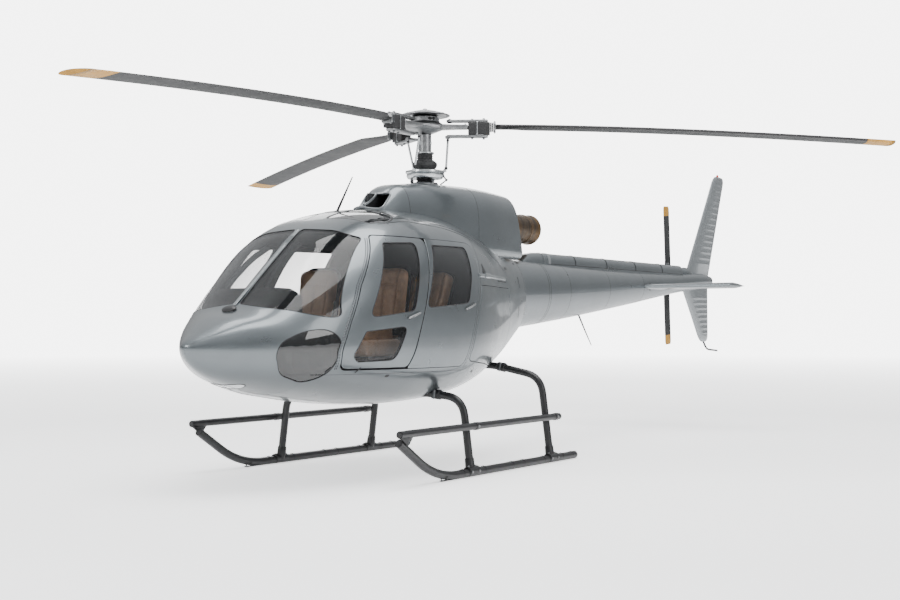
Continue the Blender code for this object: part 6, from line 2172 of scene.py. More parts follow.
@dataclass
class TailRotor:
    """Two-blade tail rotor with its hub and the gearbox that carries it."""

    hub: Point3 = (-0.250, 6.25, 1.96)
    radius: float = 0.93
    chord: float = 0.185
    thickness: float = 0.026
    turn: float = 4.0
    band: float = 0.13

    def build(self) -> None:
        """Makes the blades, the hub and the gearbox."""
        place = Matrix.Translation(self.hub)
        spin = place @ Matrix.Rotation(math.radians(self.turn), 4, "X") @ Matrix.Rotation(-HALF_TURN, 4, "Y")
        coats: list[Coat] = []
        for way in (1.0, -1.0):
            for finish, start, end in ((BLADE, 0.105, self.radius - self.band), (TIP, self.radius - self.band, self.radius)):
                rows = [self.section(way, radius) for radius in np.linspace(start, end, 14 if finish is BLADE else 6)]
                coats.append((finish, rows_to_facets(np.array(rows)).outward().moved(spin)))
            yoke = rounded([(0.0, -0.036), (0.10, -0.030), (0.175, -0.040), (0.175, 0.050), (0.10, 0.030), (0.0, 0.036)],
                           (0.0, 0.05, 0.016, 0.016, 0.05, 0.0), 5)
            arm = plate([(way * x, y) for x, y in yoke], -0.0145, 0.0145, View.TOP, 0.003)
            coats.append((DARK_STEEL, arm.moved(spin)))
            for x, y in ((0.125, 0.0), (0.155, -0.022), (0.155, 0.026)):
                for face in (1.0, -1.0):
                    coats.append((STEEL, bolt((way * x, y, face * 0.0145), (0.0, 0.0, face), 0.007, 0.006).moved(spin)))
            rod = [(way * 0.070, 0.062, 0.052), (way * 0.078, 0.066, 0.004)]
            coats.append((DIAL, tube(rod, 0.0055, 10).moved(spin)))
            ball = tube([(way * 0.078, 0.066, 0.012), (way * 0.078, 0.066, -0.004)], 0.010, 12, dome=True)
            horn = tube([(way * 0.078, 0.066, -0.002), (way * 0.120, 0.030, -0.004)], 0.008, 10, dome=True)
            coats += [(RUBBER, ball.moved(spin)), (STEEL, horn.moved(spin))]
        make_piece("tail_blades_body", "tail_rotor", coats, ["tail_rotor_blades"])

        out = place @ Matrix.Scale(-1.0, 4, (1.0, 0.0, 0.0))
        spool = [(0.0, 0.0600), (0.018, 0.0600), (0.020, 0.054), (0.046, 0.054), (0.058, 0.046), (0.060, 0.016), (0.031, 0.0155),
                 (0.0297, -0.0440), (0.0, -0.0440)]
        coats = [(STEEL, lathe(spool, 40, axis="X").moved(out))]
        spider = [(0.0, 0.0610), (0.030, 0.0605), (0.034, 0.056), (0.034, 0.048), (0.0, 0.048)]
        coats.append((DARK_STEEL, lathe(spider, 24, axis="X").moved(out)))
        for angle in range(0, 360, 60):
            x, y = 0.048 * math.cos(math.radians(angle)), 0.048 * math.sin(math.radians(angle))
            spot = (self.hub[0] - 0.0535, self.hub[1] + x, self.hub[2] + y)
            coats.append((ALUMINIUM, bolt(spot, (-1.0, 0.0, 0.0), 0.006, 0.005)))
        make_piece("tail_hub_body", "tail_rotor", coats, ["tail_rotor_hub"])

        case = [(0.0, 0.159), (0.034, 0.159), (0.050, 0.154), (0.056, 0.146), (0.060, 0.128), (0.080, 0.118), (0.086, 0.100),
                (0.094, 0.060), (0.095, 0.0), (0.0, 0.0)]
        shift = Matrix.Translation((-0.045, self.hub[1], self.hub[2])) @ Matrix.Scale(-1.0, 4, (1.0, 0.0, 0.0))
        coats = [(STEEL, lathe(case, 44, axis="X").moved(shift))]
        for angle in range(0, 360, 40):
            rib = block((0.058, -0.0022, -0.112), (0.090, 0.0022, -0.050), 0.001, 1)
            turn = Matrix.Rotation(math.radians(angle), 4, "Z")
            flip = shift @ Matrix.Rotation(-HALF_TURN, 4, "Y")
            coats.append((STEEL, rib.moved(flip @ turn)))
        make_piece("tail_gearbox_case", "airframe", coats, ["tail_gearbox"])

    def section(self, way: float, radius: float) -> list[Point3]:
        """A blade's section at a radius, drawn in at its rounded tip.

        Args:
            way: 1 for one blade, -1 for the other.
            radius: the distance from the hub.

        Returns:
            The section's points along +X or -X.
        """
        edge = max(0.0, (radius - self.radius + 0.05) / 0.05)
        chord = self.chord * (1.0 - 0.22 * edge ** 2.5)
        half = self.thickness / 2.0 * (1.0 - 0.55 * edge ** 2)
        lead = -0.3 * self.chord * way
        return [(way * radius, lead + way * (along + 0.4 * (self.chord - chord)), up) for along, up in aerofoil(chord, half, 12)]


# Skid gear

@dataclass
class Gear:
    """Skids with their wear shoes, cross tubes with their saddles, and steps with their brackets."""

    skid_x: float = 1.060
    skid_radius: float = 0.036
    tube_radius: float = 0.034
    step_radius: float = 0.030
    step_height: float = 0.430
    step_x: float = 1.0700
    step: Point2 = (-2.00, 0.63)
    leg_foot: Point2 = (1.045, 0.045)
    tubes: tuple[tuple[str, float, Point2, Point2], ...] = (
        ("front", -0.86, (0.60, 0.700), (0.965, 0.660)), ("rear", 0.56, (0.42, 0.905), (0.945, 0.800)))

    def build(self) -> None:
        """Makes the skids, the cross tubes and the steps."""
        for side in Side:
            make_piece(f"skid_{side.label}_tube", "airframe", coats_on(self.skid(), side), [f"skid_{side.label}"])
            make_piece(f"step_{side.label}_tube", "airframe", coats_on(self.step_coats(), side), [f"step_{side.label}"])
        for name, station, shoulder, knee in self.tubes:
            half = [self.leg_foot, knee, shoulder]
            corners = half + [(-x, z) for x, z in half[::-1]]
            route = filleted([(x, station, z) for x, z in corners], 0.16, 10)
            coats = pipes(BLACK, [route], self.tube_radius, 24)
            coats += mirrored_coats(self.fittings(station, shoulder, knee))
            make_piece(f"{name}_cross_tube_body", "airframe", coats, [f"cross_tube_{name}"])

    def route(self) -> list[Point3]:
        """The port skid from its rear end to its raised front."""
        return filleted([(self.skid_x, 1.02, 0.036), (self.skid_x, -1.42, 0.036), (self.skid_x, -1.95, 0.360)], 0.32, 14)

    def skid(self) -> list[Coat]:
        """The port skid: tube, plugs at its ends, wear shoes, their clamps and the saddles of the legs."""
        route = self.route()
        coats = pipes(BLACK, [route], self.skid_radius, 28)
        tip, before = np.array(route[-1]), np.array(route[-2])
        way = (tip - before) / np.linalg.norm(tip - before)
        for start, end in (((self.skid_x, 1.022, 0.036), (self.skid_x, 1.010, 0.036)),
                           (tuple(tip - way * 0.004), tuple(tip + way * 0.004))):
            coats.append((RUBBER, tube([start, end], 0.0335, 20)))
        for start, end in ((-1.34, -0.98), (-0.72, -0.16), (-0.04, 0.42), (0.70, 0.98)):
            shoe = [(0.0370 * math.sin(a), -0.0362 * math.cos(a)) for a in np.linspace(-0.62, 0.62, 9)]
            shoe += [(0.0345 * math.sin(a), -0.0340 * math.cos(a)) for a in np.linspace(0.62, -0.62, 9)]
            coats.append((DARK_STEEL, sweep([(self.skid_x, start, 0.0363), (self.skid_x, end, 0.0363)], shoe, (0.0, 0.0, 1.0))))
        for station in (-1.30, -1.02, -0.68, -0.20, 0.0, 0.38, 0.74, 0.94):
            clamp = [(0.0362, 0.008), (0.0380, 0.007), (0.0380, -0.007), (0.0362, -0.008), (0.0362, 0.008)]
            coats.append((BLACK, lathe(clamp, 28, (self.skid_x, station, 0.0381), "Y")))
            coats.append((STEEL, bolt((self.skid_x, station, 0.0752), (0.0, 0.0, 1.0), 0.0055, 0.004)))
        for _, station, _, knee in self.tubes:
            coats += self.saddle(station, knee)
        return coats

    def saddle(self, station: float, knee: Point2) -> list[Coat]:
        """The socket that joins a leg to the port skid.

        Args:
            station: where the leg stands.
            knee: the leg's knee, across and up.

        Returns:
            The coats.
        """
        coats = [(BLACK, lathe([(0.0365, 0.085), (0.0440, 0.080), (0.0440, -0.080), (0.0365, -0.085), (0.0365, 0.085)], 32,
                               (self.skid_x, station, 0.0440), "Y"))]
        foot = np.array((self.leg_foot[0], station, self.leg_foot[1]))
        way = np.array((knee[0] - self.leg_foot[0], 0.0, knee[1] - self.leg_foot[1]))
        way /= np.linalg.norm(way)
        coats.append((BLACK, tube([tuple(foot + way * 0.030), tuple(foot + way * 0.105), tuple(foot + way * 0.112)],
                                  (0.0430, 0.0400, 0.0362), 28)))
        for shift in (-0.058, 0.058):
            coats.append((STEEL, bolt((self.skid_x + 0.0435, station + shift, 0.0440), (1.0, 0.0, 0.0), 0.0085, 0.007)))
            coats.append((STEEL, bolt((self.skid_x, station + shift, 0.0875), (0.0, 0.0, 1.0), 0.0085, 0.007)))
        return coats

    def fittings(self, station: float, shoulder: Point2, knee: Point2) -> list[Coat]:
        """The clamp where a cross tube leaves the belly, with its two bolted lugs, to port.

        Args:
            station: the tube's station.
            shoulder: where it bends under the belly, across and up.
            knee: where it bends down, across and up.

        Returns:
            The coats.
        """
        start, end = np.array((shoulder[0], station, shoulder[1])), np.array((knee[0], station, knee[1]))
        way = (end - start) / np.linalg.norm(end - start)
        clamp = start + way * 0.10
        coats = [(BLACK, tube([tuple(clamp + way * along) for along in (-0.045, -0.040, 0.040, 0.045)],
                              (0.036, 0.043, 0.043, 0.036), 28))]
        rise = np.array((-way[2], 0.0, way[0]))
        for shift in (-0.040, 0.040):
            lug = clamp + rise * 0.004 + np.array((0.0, shift, 0.0))
            coats.append((DARK_STEEL, tube([tuple(lug - rise * 0.036), tuple(lug + rise * 0.036)], 0.012, 14)))
            coats.append((STEEL, bolt(tuple(lug - rise * 0.036), tuple(-rise), 0.0095, 0.008)))
        return coats

    def step_coats(self) -> list[Coat]:
        """The port step: tube, plugs, ribbed tread, leg clamps and the front bracket with its eye."""
        start, end = self.step
        x, z = self.step_x + 0.0295, self.step_height
        coats = pipes(BLACK, [[(x, start, z), (x, end, z)]], self.step_radius, 26)
        for station, way in ((start, -1.0), (end, 1.0)):
            coats.append((RUBBER, tube([(x, station - way * 0.002, z), (x, station + way * 0.006, z)], 0.0265, 20)))
        lines = [(np.array([(x + shift, start + 0.10, z + lift), (x + shift, end - 0.08, z + lift)]),
                  np.array((shift, 0.0, lift)), False) for shift, lift in ((-0.0135, 0.0262), (0.0, 0.0295), (0.0135, 0.0262))]
        coats += repeats(Item.BAR, DARK_STEEL, lines, spacing=0.022, size=0.014, width=0.0055, height=0.0036)
        for _, station, _, _ in self.tubes:
            clamp = [(0.0302, 0.030), (0.0345, 0.028), (0.0345, -0.028), (0.0302, -0.030), (0.0302, 0.030)]
            coats.append((BLACK, lathe(clamp, 28, (x, station, z), "Y")))
            coats.append((STEEL, bolt((x + 0.0340, station, z), (1.0, 0.0, 0.0), 0.0085, 0.006)))
        bracket = rounded([(-2.02, 0.425), (-1.80, 0.425), (-1.865, 0.355), (-1.885, 0.338), (-1.905, 0.345)],
                          (0.015, 0.015, 0.02, 0.01, 0.015), 4)
        coats.append((BLACK, plate(bracket, x - 0.010, x + 0.010, View.SIDE, 0.003)))
        eye = lathe([(0.010, 0.0115), (0.018, 0.0115), (0.018, -0.0115), (0.010, -0.0115), (0.010, 0.0115)], 20,
                    (x, -1.885, 0.362), "X")
        coats.append((DARK_STEEL, eye))
        return coats


# Cabin inside

def inside_hull(points: np.ndarray, margin: float) -> np.ndarray:
    """Draws points in until they lie a margin inside the hull.

    Args:
        points: the points, in stations.
        margin: the least distance from the hull's outer face.

    Returns:
        The new points.
    """
    width, top, bottom, waist, upper, lower = HULL.section(HULL.reach(points[:, 1]))
    rise = points[:, 2] - waist
    power = np.where(rise >= 0, upper, lower)
    height = np.maximum(np.where(rise >= 0, top - waist, waist - bottom) - margin, 0.01)
    outside = (np.abs(points[:, 0]) / np.maximum(width - margin, 0.01)) ** power + (np.abs(rise) / height) ** power
    pull = np.where(outside > 1.0, np.maximum(outside, 1.0) ** (-1.0 / power), 1.0)
    return np.stack([points[:, 0] * pull, points[:, 1], waist + rise * pull], axis=1)


@dataclass(frozen=True)
class Seam:
    """A sewn line on a pad: along it at a distance from its middle, or across it."""

    upright: bool
    at: float
    reach: Point2

    def distance(self, across: np.ndarray, along: np.ndarray) -> np.ndarray:
        """How far places on the pad lie from the seam."""
        aside, onward = (np.abs(across) - self.at, along) if self.upright else (along - self.at, across)
        return np.hypot(aside, np.maximum(np.maximum(self.reach[0] - onward, onward - self.reach[1]), 0.0))

    def lines(self) -> list[np.ndarray]:
        """The rows of stitches beside the seam, as places on the pad."""
        steps = np.linspace(*self.reach, 40)
        rows = []
        for shift in (-0.0075, 0.0075):
            for side in ((1.0, -1.0) if self.upright and self.at else (1.0,)):
                fixed = np.full(40, side * (self.at + shift))
                rows.append(np.stack([fixed, steps] if self.upright else [steps, fixed], axis=1))
        return rows


@dataclass(frozen=True)
class Pad:
    """A stuffed hide pad in its own axes: across, along and out of its front."""

    name: str
    half: float
    length: float
    depth: float
    radii: tuple[float, ...]
    seams: tuple[Seam, ...]
    bolster: float = 0.135
    voxel: float = 0.009
    cap: float = 0.022

    def blank(self) -> Facets:
        """The cut shape before it is filled."""
        corners = [(-self.half, 0.0), (self.half, 0.0), (self.half, self.length), (-self.half, self.length)]
        return plate(rounded(corners, self.radii, 6), 0.0, self.depth, View.TOP, 0.028)

    def filled(self) -> tuple[Facets, Facets]:
        """Fills the shape by a cloth simulation and sews it.

        Returns:
            The fine form, subdivided once, and the plain one.
        """
        shape = self.blank()
        mesh = bpy.data.meshes.new(self.name)
        mesh.from_pydata(shape.points.tolist(), [], shape.faces)
        holder = bpy.data.objects.new(self.name, mesh)
        scene = bpy.context.scene
        scene.collection.objects.link(holder)
        remesh = holder.modifiers.new("net", "REMESH")
        remesh.mode = "VOXEL"
        remesh.voxel_size = self.voxel
        holder.data = self.evaluated(holder)
        holder.modifiers.clear()
        start = self.places(holder.data)
        cloth = holder.modifiers.new("fill", "CLOTH")
        cloth.settings.use_pressure = True
        cloth.settings.uniform_pressure_force = 4.0
        cloth.settings.effector_weights.gravity = 0.0
        cloth.point_cache.frame_start, cloth.point_cache.frame_end = 1, 20
        for step in range(1, 21):
            scene.frame_set(step)
        swell = self.places(self.evaluated(holder)) - start
        holder.modifiers.clear()
        scene.frame_set(1)
        reach = np.linalg.norm(swell, axis=1)[:, None]
        rests = np.clip((start[:, 2:] - 0.004) / 0.03, 0.0, 1.0)
        grown = start + swell * np.minimum(1.0, self.cap / np.maximum(reach, 1e-9)) * (0.25 + 0.75 * rests)
        grown[:, 2] = np.maximum(grown[:, 2], 0.0)
        holder.data.vertices.foreach_set("co", grown.astype(np.float32).ravel())
        holder.data.update()
        forms = []
        for level in (1, 0):
            holder.modifiers.clear()
            if level:
                holder.modifiers.new("finer", "SUBSURF").levels = level
            data = self.evaluated(holder)
            forms.append(Facets(self.sewn(self.places(data)), [tuple(face.vertices) for face in data.polygons]))
        bpy.data.objects.remove(holder, do_unlink=True)
        return forms[0], forms[1]

    @staticmethod
    def evaluated(holder: bpy.types.Object) -> bpy.types.Mesh:
        """A copy of the object's mesh with its modifiers applied."""
        graph = bpy.context.evaluated_depsgraph_get()
        return bpy.data.meshes.new_from_object(holder.evaluated_get(graph), depsgraph=graph)

    @staticmethod
    def places(mesh: bpy.types.Mesh) -> np.ndarray:
        """The mesh's points as an array."""
        points = np.zeros(len(mesh.vertices) * 3, np.float32)
        mesh.vertices.foreach_get("co", points)
        return points.reshape(-1, 3).astype(float)

    def sewn(self, points: np.ndarray) -> np.ndarray:
        """Raises the bolsters and pulls the seams in.

        Args:
            points: the filled form's points.

        Returns:
            The new points.
        """
        across, along, out = points.T
        front = np.clip((out - 0.45 * self.depth) / (0.35 * self.depth), 0.0, 1.0)
        near = np.min([seam.distance(across, along) for seam in self.seams], axis=0)
        ends = np.clip(np.minimum(along, self.length - along) / 0.06, 0.0, 1.0)
        side = np.clip((np.abs(across) - self.bolster) / (self.half - self.bolster), 0.0, 1.0)
        lift = 0.018 * np.sin(math.pi * np.minimum(side * 1.1, 1.0)) * np.sqrt(ends)
        lift += 0.007 * (1.0 - np.exp(-(near / 0.030) ** 2)) - 0.008 * np.exp(-(near / 0.0065) ** 2)
        return np.stack([across, along, out + front * lift], axis=1)

    def stitches(self, form: Facets) -> list[Coat]:
        """Rows of thread beside each seam, on the form's front."""
        front = form.points[form.points[:, 2] > 0.5 * self.depth]
        lines = []
        for seam in self.seams:
            for row in seam.lines():
                nearest = [np.argmin(np.sum((front[:, :2] - place) ** 2, axis=1)) for place in row]
                lines.append((np.column_stack([row, front[nearest, 2] + 0.0006]), np.array((0.0, 0.0, 1.0)), False))
        return repeats(Item.BAR, THREAD, lines, spacing=0.0125, size=0.0075, width=0.0018, height=0.0016)


BASE_PAD = Pad("base_pad", 0.198, 0.440, 0.088, (0.05, 0.05, 0.03, 0.03),
               (Seam(True, 0.135, (0.02, 0.43)), Seam(False, 0.13, (-0.13, 0.13)), Seam(True, 0.0, (0.13, 0.43))))
BACK_PAD = Pad("back_pad", 0.198, 0.535, 0.085, (0.03, 0.03, 0.10, 0.10),
               (Seam(True, 0.135, (0.0, 0.52)), Seam(False, 0.36, (-0.13, 0.13)), Seam(True, 0.0, (0.06, 0.36)),
                Seam(False, 0.06, (-0.13, 0.13))))


@dataclass
class Cabin:
    """Seats, console with its hood, and the controls."""

    seat_x: float = 0.38
    back_foot: Point2 = (-1.14, 1.26)
    back_lean: float = 9.46
    bench_foot: Point2 = (-0.582, 1.26)
    bench_lean: float = 24.5
    hood: Point2 = (-0.60, 0.26)
    floor: float = 0.899

    def build(self) -> None:
        """Makes the seats, the console and the controls, and dresses the floor and the bulkhead."""
        for name, finish in (("cabin_floor", FLOORING), ("rear_bulkhead", LINING)):
            frame["nodes"][name].data.materials.clear()
            frame["nodes"][name].data.materials.append(finish.material())
        base_fine, base_plain = BASE_PAD.filled()
        back_fine, back_plain = BACK_PAD.filled()
        base_front = [(HIDE, base_fine), *BASE_PAD.stitches(base_fine)]
        back_front = [(HIDE, back_fine), *BACK_PAD.stitches(back_fine)]
        for side, node in ((Side.LEFT, "seat_copilot"), (Side.RIGHT, "seat_pilot")):
            place = Matrix.Translation((self.seat_x, -1.742, 1.167))
            self.pad(f"seat_base_pad_{side.label}", coats_on(turned_coats(base_front, place), side), node)
            lean = self.leaning(self.seat_x, self.back_foot, self.back_lean)
            self.pad(f"seat_back_pad_{side.label}", coats_on(turned_coats(back_front, lean), side), node)
            make_piece(f"seat_frame_{side.label}", "airframe", coats_on(self.seat_frame(lean), side), [node])
        low = [(MOULDED, block((-0.60, -1.005, self.floor), (0.60, -0.66, 1.160), 0.015, 3))]
        for index, x in enumerate((-0.405, 0.0, 0.405)):
            base = Matrix.Translation((x, -1.012, 1.165)) @ Matrix.Scale(0.76, 4, (0.0, 1.0, 0.0))
            self.pad(f"bench_base_pad_{index + 1}", turned_coats([(HIDE, base_plain)], base), "rear_bench")
            lean = self.leaning(x, self.bench_foot, self.bench_lean)
            self.pad(f"bench_back_pad_{index + 1}", turned_coats([(HIDE, back_plain)], lean), "rear_bench")
            low.append((MOULDED, self.back_shell().moved(lean)))
        make_piece("bench_frame", "airframe", low, ["rear_bench"])
        self.build_console()
        self.build_controls()

    @staticmethod
    def pad(name: str, coats: list[Coat], node: str) -> None:
        make_piece(name, "airframe", coats, [node], sharp=75.0)

    @staticmethod
    def leaning(x: float, foot: Point2, lean: float) -> Matrix:
        """The move from a pad's own axes to a leaning back.

        Args:
            x: the seat's middle.
            foot: station and height of the back's rear foot.
            lean: how far it leans aft, in degrees.

        Returns:
            The move.
        """
        angle = math.radians(lean)
        up, out = Vector((0.0, math.sin(angle), math.cos(angle))), Vector((0.0, -math.cos(angle), math.sin(angle)))
        place = Vector((x, *foot)) + out * 0.020
        return Matrix(((1.0, 0.0, 0.0, place.x), (0.0, up.y, out.y, place.y), (0.0, up.z, out.z, place.z), (0, 0, 0, 1)))

    @staticmethod
    def back_shell() -> Facets:
        """The moulded shell behind a back pad, in the pad's axes."""
        outline = rounded([(-0.205, -0.06), (0.205, -0.06), (0.200, 0.548), (-0.200, 0.548)], (0.03, 0.03, 0.11, 0.11))
        return plate(outline, -0.0185, 0.004, View.TOP, 0.007)

    def seat_frame(self, lean: Matrix) -> list[Coat]:
        """The port front seat's shell, pan, pedestal, slide rails and hinge covers."""
        x = self.seat_x
        coats = [(MOULDED, self.back_shell().moved(lean)),
                 (HIDE, block((x - 0.212, -1.735, 1.030), (x + 0.212, -1.200, 1.170), 0.022, 4)),
                 (MOULDED, block((x - 0.165, -1.665, 0.925), (x + 0.165, -1.265, 1.119), 0.012, 3))]
        for shift in (-0.135, 0.135):
            rail = block((x + shift - 0.016, -1.735, self.floor), (x + shift + 0.016, -1.190, 0.926), 0.004, 2)
            coats.append((ALUMINIUM, rail))
        for shift in (-0.212, 0.212):
            coats.append((MOULDED, lathe([(0.0, 0.010), (0.045, 0.009), (0.055, 0.0), (0.055, -0.009), (0.0, -0.010)], 28,
                                         (x + shift, -1.225, 1.185), "X")))
        return coats

    def build_console(self) -> None:
        """Instrument hood, panel with its dials and screens, and the centre pedestal."""
        start, end = self.hood
        profile = [(-2.70, 1.30), (-2.66, 1.40), (-2.50, 1.52), (-2.33, 1.590), (-2.17, 1.588), (-2.10, 1.565),
                   (-2.095, 1.545), (-2.13, 1.525), (-2.14, 1.30)]
        shape = traced(profile, 0.03)
        rows = []
        for share in np.concatenate([np.linspace(0.0, 0.16, 9), np.linspace(0.2, 0.8, 12), np.linspace(0.84, 1.0, 9)]):
            edge = max(0.0, 1.0 - min(share, 1.0 - share) / 0.16)
            shrink = math.sqrt(max(1.0 - edge * edge, 0.01))
            row = [(start + (end - start) * share, -2.40 + (y + 2.40) * (0.6 + 0.4 * shrink), 1.30 + (z - 1.30) * shrink)
                   for y, z in shape]
            rows.append(inside_hull(np.array(row), 0.052))
        coats = [(MOULDED, rows_to_facets(np.array(rows)).outward())]
        face = rounded([(-0.555, 1.12), (0.215, 1.12), (0.215, 1.53), (-0.555, 1.53)], 0.03)
        coats.append((MOULDED, plate(face, 2.105, 2.30, View.FRONT, 0.004).moved(Matrix.Scale(-1.0, 4, (0.0, 1.0, 0.0)))))
        coats.append((MOULDED, block((-0.11, -2.30, self.floor), (0.11, -1.78, 1.085), 0.018, 3)))
        coats.append((MOULDED, block((-0.28, -2.48, self.floor), (0.28, -2.14, 1.20), 0.018, 3)))
        for x, z in [(x, z) for z in (1.215, 1.32) for x in (-0.50, -0.405, -0.31)] + [(0.055, 1.25), (0.15, 1.25)]:
            bezel = [(0.034, -0.001), (0.034, 0.006), (0.041, 0.005), (0.043, -0.001), (0.034, -0.001)]
            cover = [(0.0, 0.001), (0.034, 0.001), (0.034, -0.001), (0.0, -0.001)]
            for finish, form in ((DARK_STEEL, bezel), (SCREEN, cover)):
                coats.append((finish, lathe(form, 24, (x, -2.105, z), "Y")))
            coats.append((DIAL, block((x - 0.0015, -2.1045, z - 0.004), (x + 0.0015, -2.1015, z + 0.026), 0.0004, 1)))
        for x, z, wide, high in ((-0.155, 1.30, 0.10, 0.075), (0.10, 1.40, 0.085, 0.065)):
            coats.append((SCREEN, block((x - wide, -2.108, z - high), (x + wide, -2.100, z + high), 0.003, 2)))
        for row in range(3):
            for column in range(2):
                x, y = -0.05 + 0.10 * column, -2.12 + 0.11 * row
                coats.append((SCREEN, block((x - 0.040, y - 0.038, 1.083), (x + 0.040, y + 0.038, 1.089), 0.002, 1)))
                coats.append((DIAL, lathe([(0.0, 0.016), (0.007, 0.015), (0.008, 0.0), (0.0, 0.0)], 14, (x + 0.022, y, 1.088))))
        make_piece("console_body", "airframe", coats, ["console"])

    def build_controls(self) -> None:
        """Cyclic sticks, collective levers, pedals and the inner pillars, on both sides."""
        x = self.seat_x
        stick = filleted([(x, -1.93, self.floor), (x, -1.93, 1.06), (x, -2.00, 1.27), (x, -1.91, 1.36)], 0.06)
        lever = [(0.125, -1.42, 0.93), (0.125, -1.62, 1.06), (0.125, -1.76, 1.19)]
        coats = pipes(BLACK, [stick, lever], 0.011, 12)
        coats.append((RUBBER, tube([(x, -1.925, 1.350), (x, -1.900, 1.385), (x, -1.880, 1.440), (x, -1.878, 1.470)],
                                   (0.015, 0.020, 0.017, 0.021), 16, dome=True)))
        coats.append((RUBBER, lathe([(0.0, 0.06), (0.014, 0.06), (0.045, 0.012), (0.055, 0.0), (0.0, 0.0)], 24,
                                    (x, -1.93, self.floor))))
        coats.append((RUBBER, tube([(0.125, -1.70, 1.131), (0.125, -1.80, 1.231)], 0.019, 16, dome=True)))
        for shift in (-0.085, 0.085):
            coats += pipes(DARK_STEEL, [[(x + shift, -2.30, 0.905), (x + shift, -2.375, 1.02)]], 0.009, 10)
            coats.append((BLACK, block((x + shift - 0.045, -2.392, 0.985), (x + shift + 0.045, -2.372, 1.075), 0.006, 2)))
        pillar = inside_hull(np.array([(0.66, -2.17, 1.42), (0.70, -1.98, 1.66),
                                       (0.69, -1.74, 1.90), (0.66, -1.56, 2.03)]), 0.085)
        coats.append((GREY_LINING, tube(filleted([tuple(point) for point in pillar], 0.10), 0.026, 16)))
        make_piece("controls", "airframe", mirrored_coats(coats))


# Stage

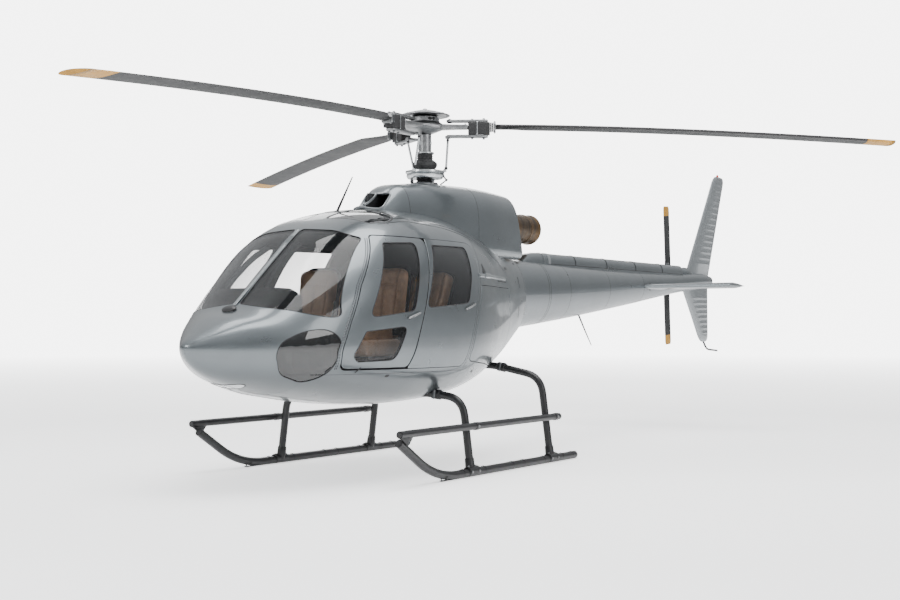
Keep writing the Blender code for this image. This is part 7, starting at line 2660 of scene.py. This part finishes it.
@dataclass(frozen=True)
class Studio:
    """Camera, lights, floor and world."""

    camera: Point3 = (7.1443, -12.3239, 1.2904)
    azimuth: float = 32.72
    rise: float = 1.057
    focal_pixels: float = 1352.0
    frame_pixels: float = 900.0
    sensor: float = 36.0

    def build(self) -> None:
        """Makes the stage."""
        self.place_camera()
        self.lay_floor()
        self.light_world()
        self.add_softboxes()

    def place_camera(self) -> None:
        """The photograph's viewpoint."""
        data = bpy.data.cameras.new("camera")
        data.sensor_width = self.sensor
        data.lens = self.focal_pixels / self.frame_pixels * self.sensor
        data.clip_end = 500.0
        camera = bpy.data.objects.new("camera", data)
        bpy.context.scene.collection.objects.link(camera)
        turn, lift = math.radians(self.azimuth), math.radians(self.rise)
        ahead = Vector((-math.sin(turn) * math.cos(lift), math.cos(turn) * math.cos(lift), math.sin(lift)))
        camera.location = self.camera
        camera.rotation_mode = "QUATERNION"
        camera.rotation_quaternion = ahead.to_track_quat("-Z", "Y")
        bpy.context.scene.camera = camera

    def lay_floor(self) -> None:
        """A wide pale floor."""
        bm = bmesh.new()
        bmesh.ops.create_circle(bm, cap_ends=True, segments=96, radius=160.0)
        mesh = bpy.data.meshes.new("floor")
        bm.to_mesh(mesh)
        bm.free()
        floor = bpy.data.objects.new("floor", mesh)
        bpy.context.scene.collection.objects.link(floor)
        sheet = NodeSheet("pale_floor")
        sheet.set(Base_Color=sheet.ramp(sheet.noise(0.6, 2.0), [(0.3, (0.93, 0.93, 0.93)), (0.7, (0.95, 0.95, 0.95))]))
        away = sheet.tree.nodes.new("ShaderNodeVectorMath")
        away.operation = "LENGTH"
        sheet.tree.links.new(sheet.place, away.inputs[0])
        glow = sheet.range(away.outputs["Value"], 1.0, 5.1, (7.0, 45.0))
        seen = sheet.add("ShaderNodeLightPath").outputs["Is Camera Ray"]
        strength = sheet.add("ShaderNodeMapRange", Value=seen, To_Min=0.55, To_Max=glow).outputs["Result"]
        sheet.set(Roughness=0.9, Specular_IOR_Level=0.1, Emission_Color=(1.0, 1.0, 1.0, 1.0), Emission_Strength=strength)
        mesh.materials.append(sheet.material)

    def light_world(self) -> None:
        """White to the eye, with a graded sky for what reflects it."""
        world = bpy.data.worlds.new("studio")
        world.use_nodes = True
        tree = world.node_tree
        out = tree.nodes["World Output"]
        white = tree.nodes["Background"]
        white.inputs["Color"].default_value = (1.0, 1.0, 1.0, 1.0)
        white.inputs["Strength"].default_value = 6.0
        place = tree.nodes.new("ShaderNodeTexCoord")
        parts = tree.nodes.new("ShaderNodeSeparateXYZ")
        tree.links.new(place.outputs["Generated"], parts.inputs["Vector"])
        ramp = tree.nodes.new("ShaderNodeValToRGB")
        stops = ((0.0, 0.35), (0.46, 0.42), (0.50, 0.30), (0.58, 0.42), (0.80, 0.95), (1.0, 1.25))
        while len(ramp.color_ramp.elements) < len(stops):
            ramp.color_ramp.elements.new(0.5)
        for element, (position, level) in zip(ramp.color_ramp.elements, stops):
            element.position = position
            element.color = (level * 0.98, level, level * 1.02, 1.0)
        lift = tree.nodes.new("ShaderNodeMapRange")
        tree.links.new(parts.outputs["Z"], lift.inputs["Value"])
        lift.inputs["From Min"].default_value = -1.0
        tree.links.new(lift.outputs["Result"], ramp.inputs["Fac"])
        sky = tree.nodes.new("ShaderNodeBackground")
        tree.links.new(ramp.outputs["Color"], sky.inputs["Color"])
        mix = tree.nodes.new("ShaderNodeMixShader")
        path = tree.nodes.new("ShaderNodeLightPath")
        tree.links.new(path.outputs["Is Camera Ray"], mix.inputs["Fac"])
        tree.links.new(sky.outputs["Background"], mix.inputs[1])
        tree.links.new(white.outputs["Background"], mix.inputs[2])
        tree.links.new(mix.outputs["Shader"], out.inputs["Surface"])
        bpy.context.scene.world = world

    def add_softboxes(self) -> None:
        """Large soft lights: overhead, from the camera's left and right, and low from behind."""
        for name, place, aim, size, power in (
                ("overhead", (1.0, -2.0, 11.0), (0.0, -1.0, 1.5), (9.0, 9.0), 1500.0),
                ("key", (-4.0, -13.0, 7.0), (0.0, -3.0, 1.5), (6.0, 4.0), 500.0),
                ("fill", (14.0, -4.0, 6.0), (0.0, -1.0, 1.5), (5.0, 7.0), 450.0),
                ("rim", (-8.0, 10.0, 8.0), (0.0, 0.0, 2.0), (8.0, 5.0), 400.0)):
            data = bpy.data.lights.new(name, "AREA")
            data.shape = "RECTANGLE"
            data.size, data.size_y = size
            data.energy = power
            light = bpy.data.objects.new(name, data)
            bpy.context.scene.collection.objects.link(light)
            light.location = place
            light.rotation_mode = "QUATERNION"
            light.rotation_quaternion = (Vector(aim) - Vector(place)).to_track_quat("-Z", "Y")
            light.visible_camera = False


def plain_finish() -> None:
    """Gives each CAD node that still shows the finish of its slot."""
    finishes = {"silver_paint": SILVER, "cabin_glass": GLASS, "black_enamel": BLACK, "blade_grey": BLADE,
                "head_steel": STEEL, "exhaust_bronze": PIPE, "tan_leather": HIDE, "cabin_trim": MOULDED, "red_lens": BEACON}
    slots = {part["node"]: part["material_slot"] for part in frame["record"]["subparts"]}
    for name, node in frame["nodes"].items():
        node.data.materials.clear()
        node.data.materials.append(finishes[slots[name]].material())


def main() -> None:
    """Builds the sub-assemblies in order."""
    plain_finish()
    for assembly in (Hull(), Cowling(), Tail(), MainRotor(), TailRotor(), Gear(), Cabin(), Studio()):
        assembly.build()


if __name__ == "__main__":
    logging.basicConfig(level=logging.INFO, format="%(message)s")
    main()
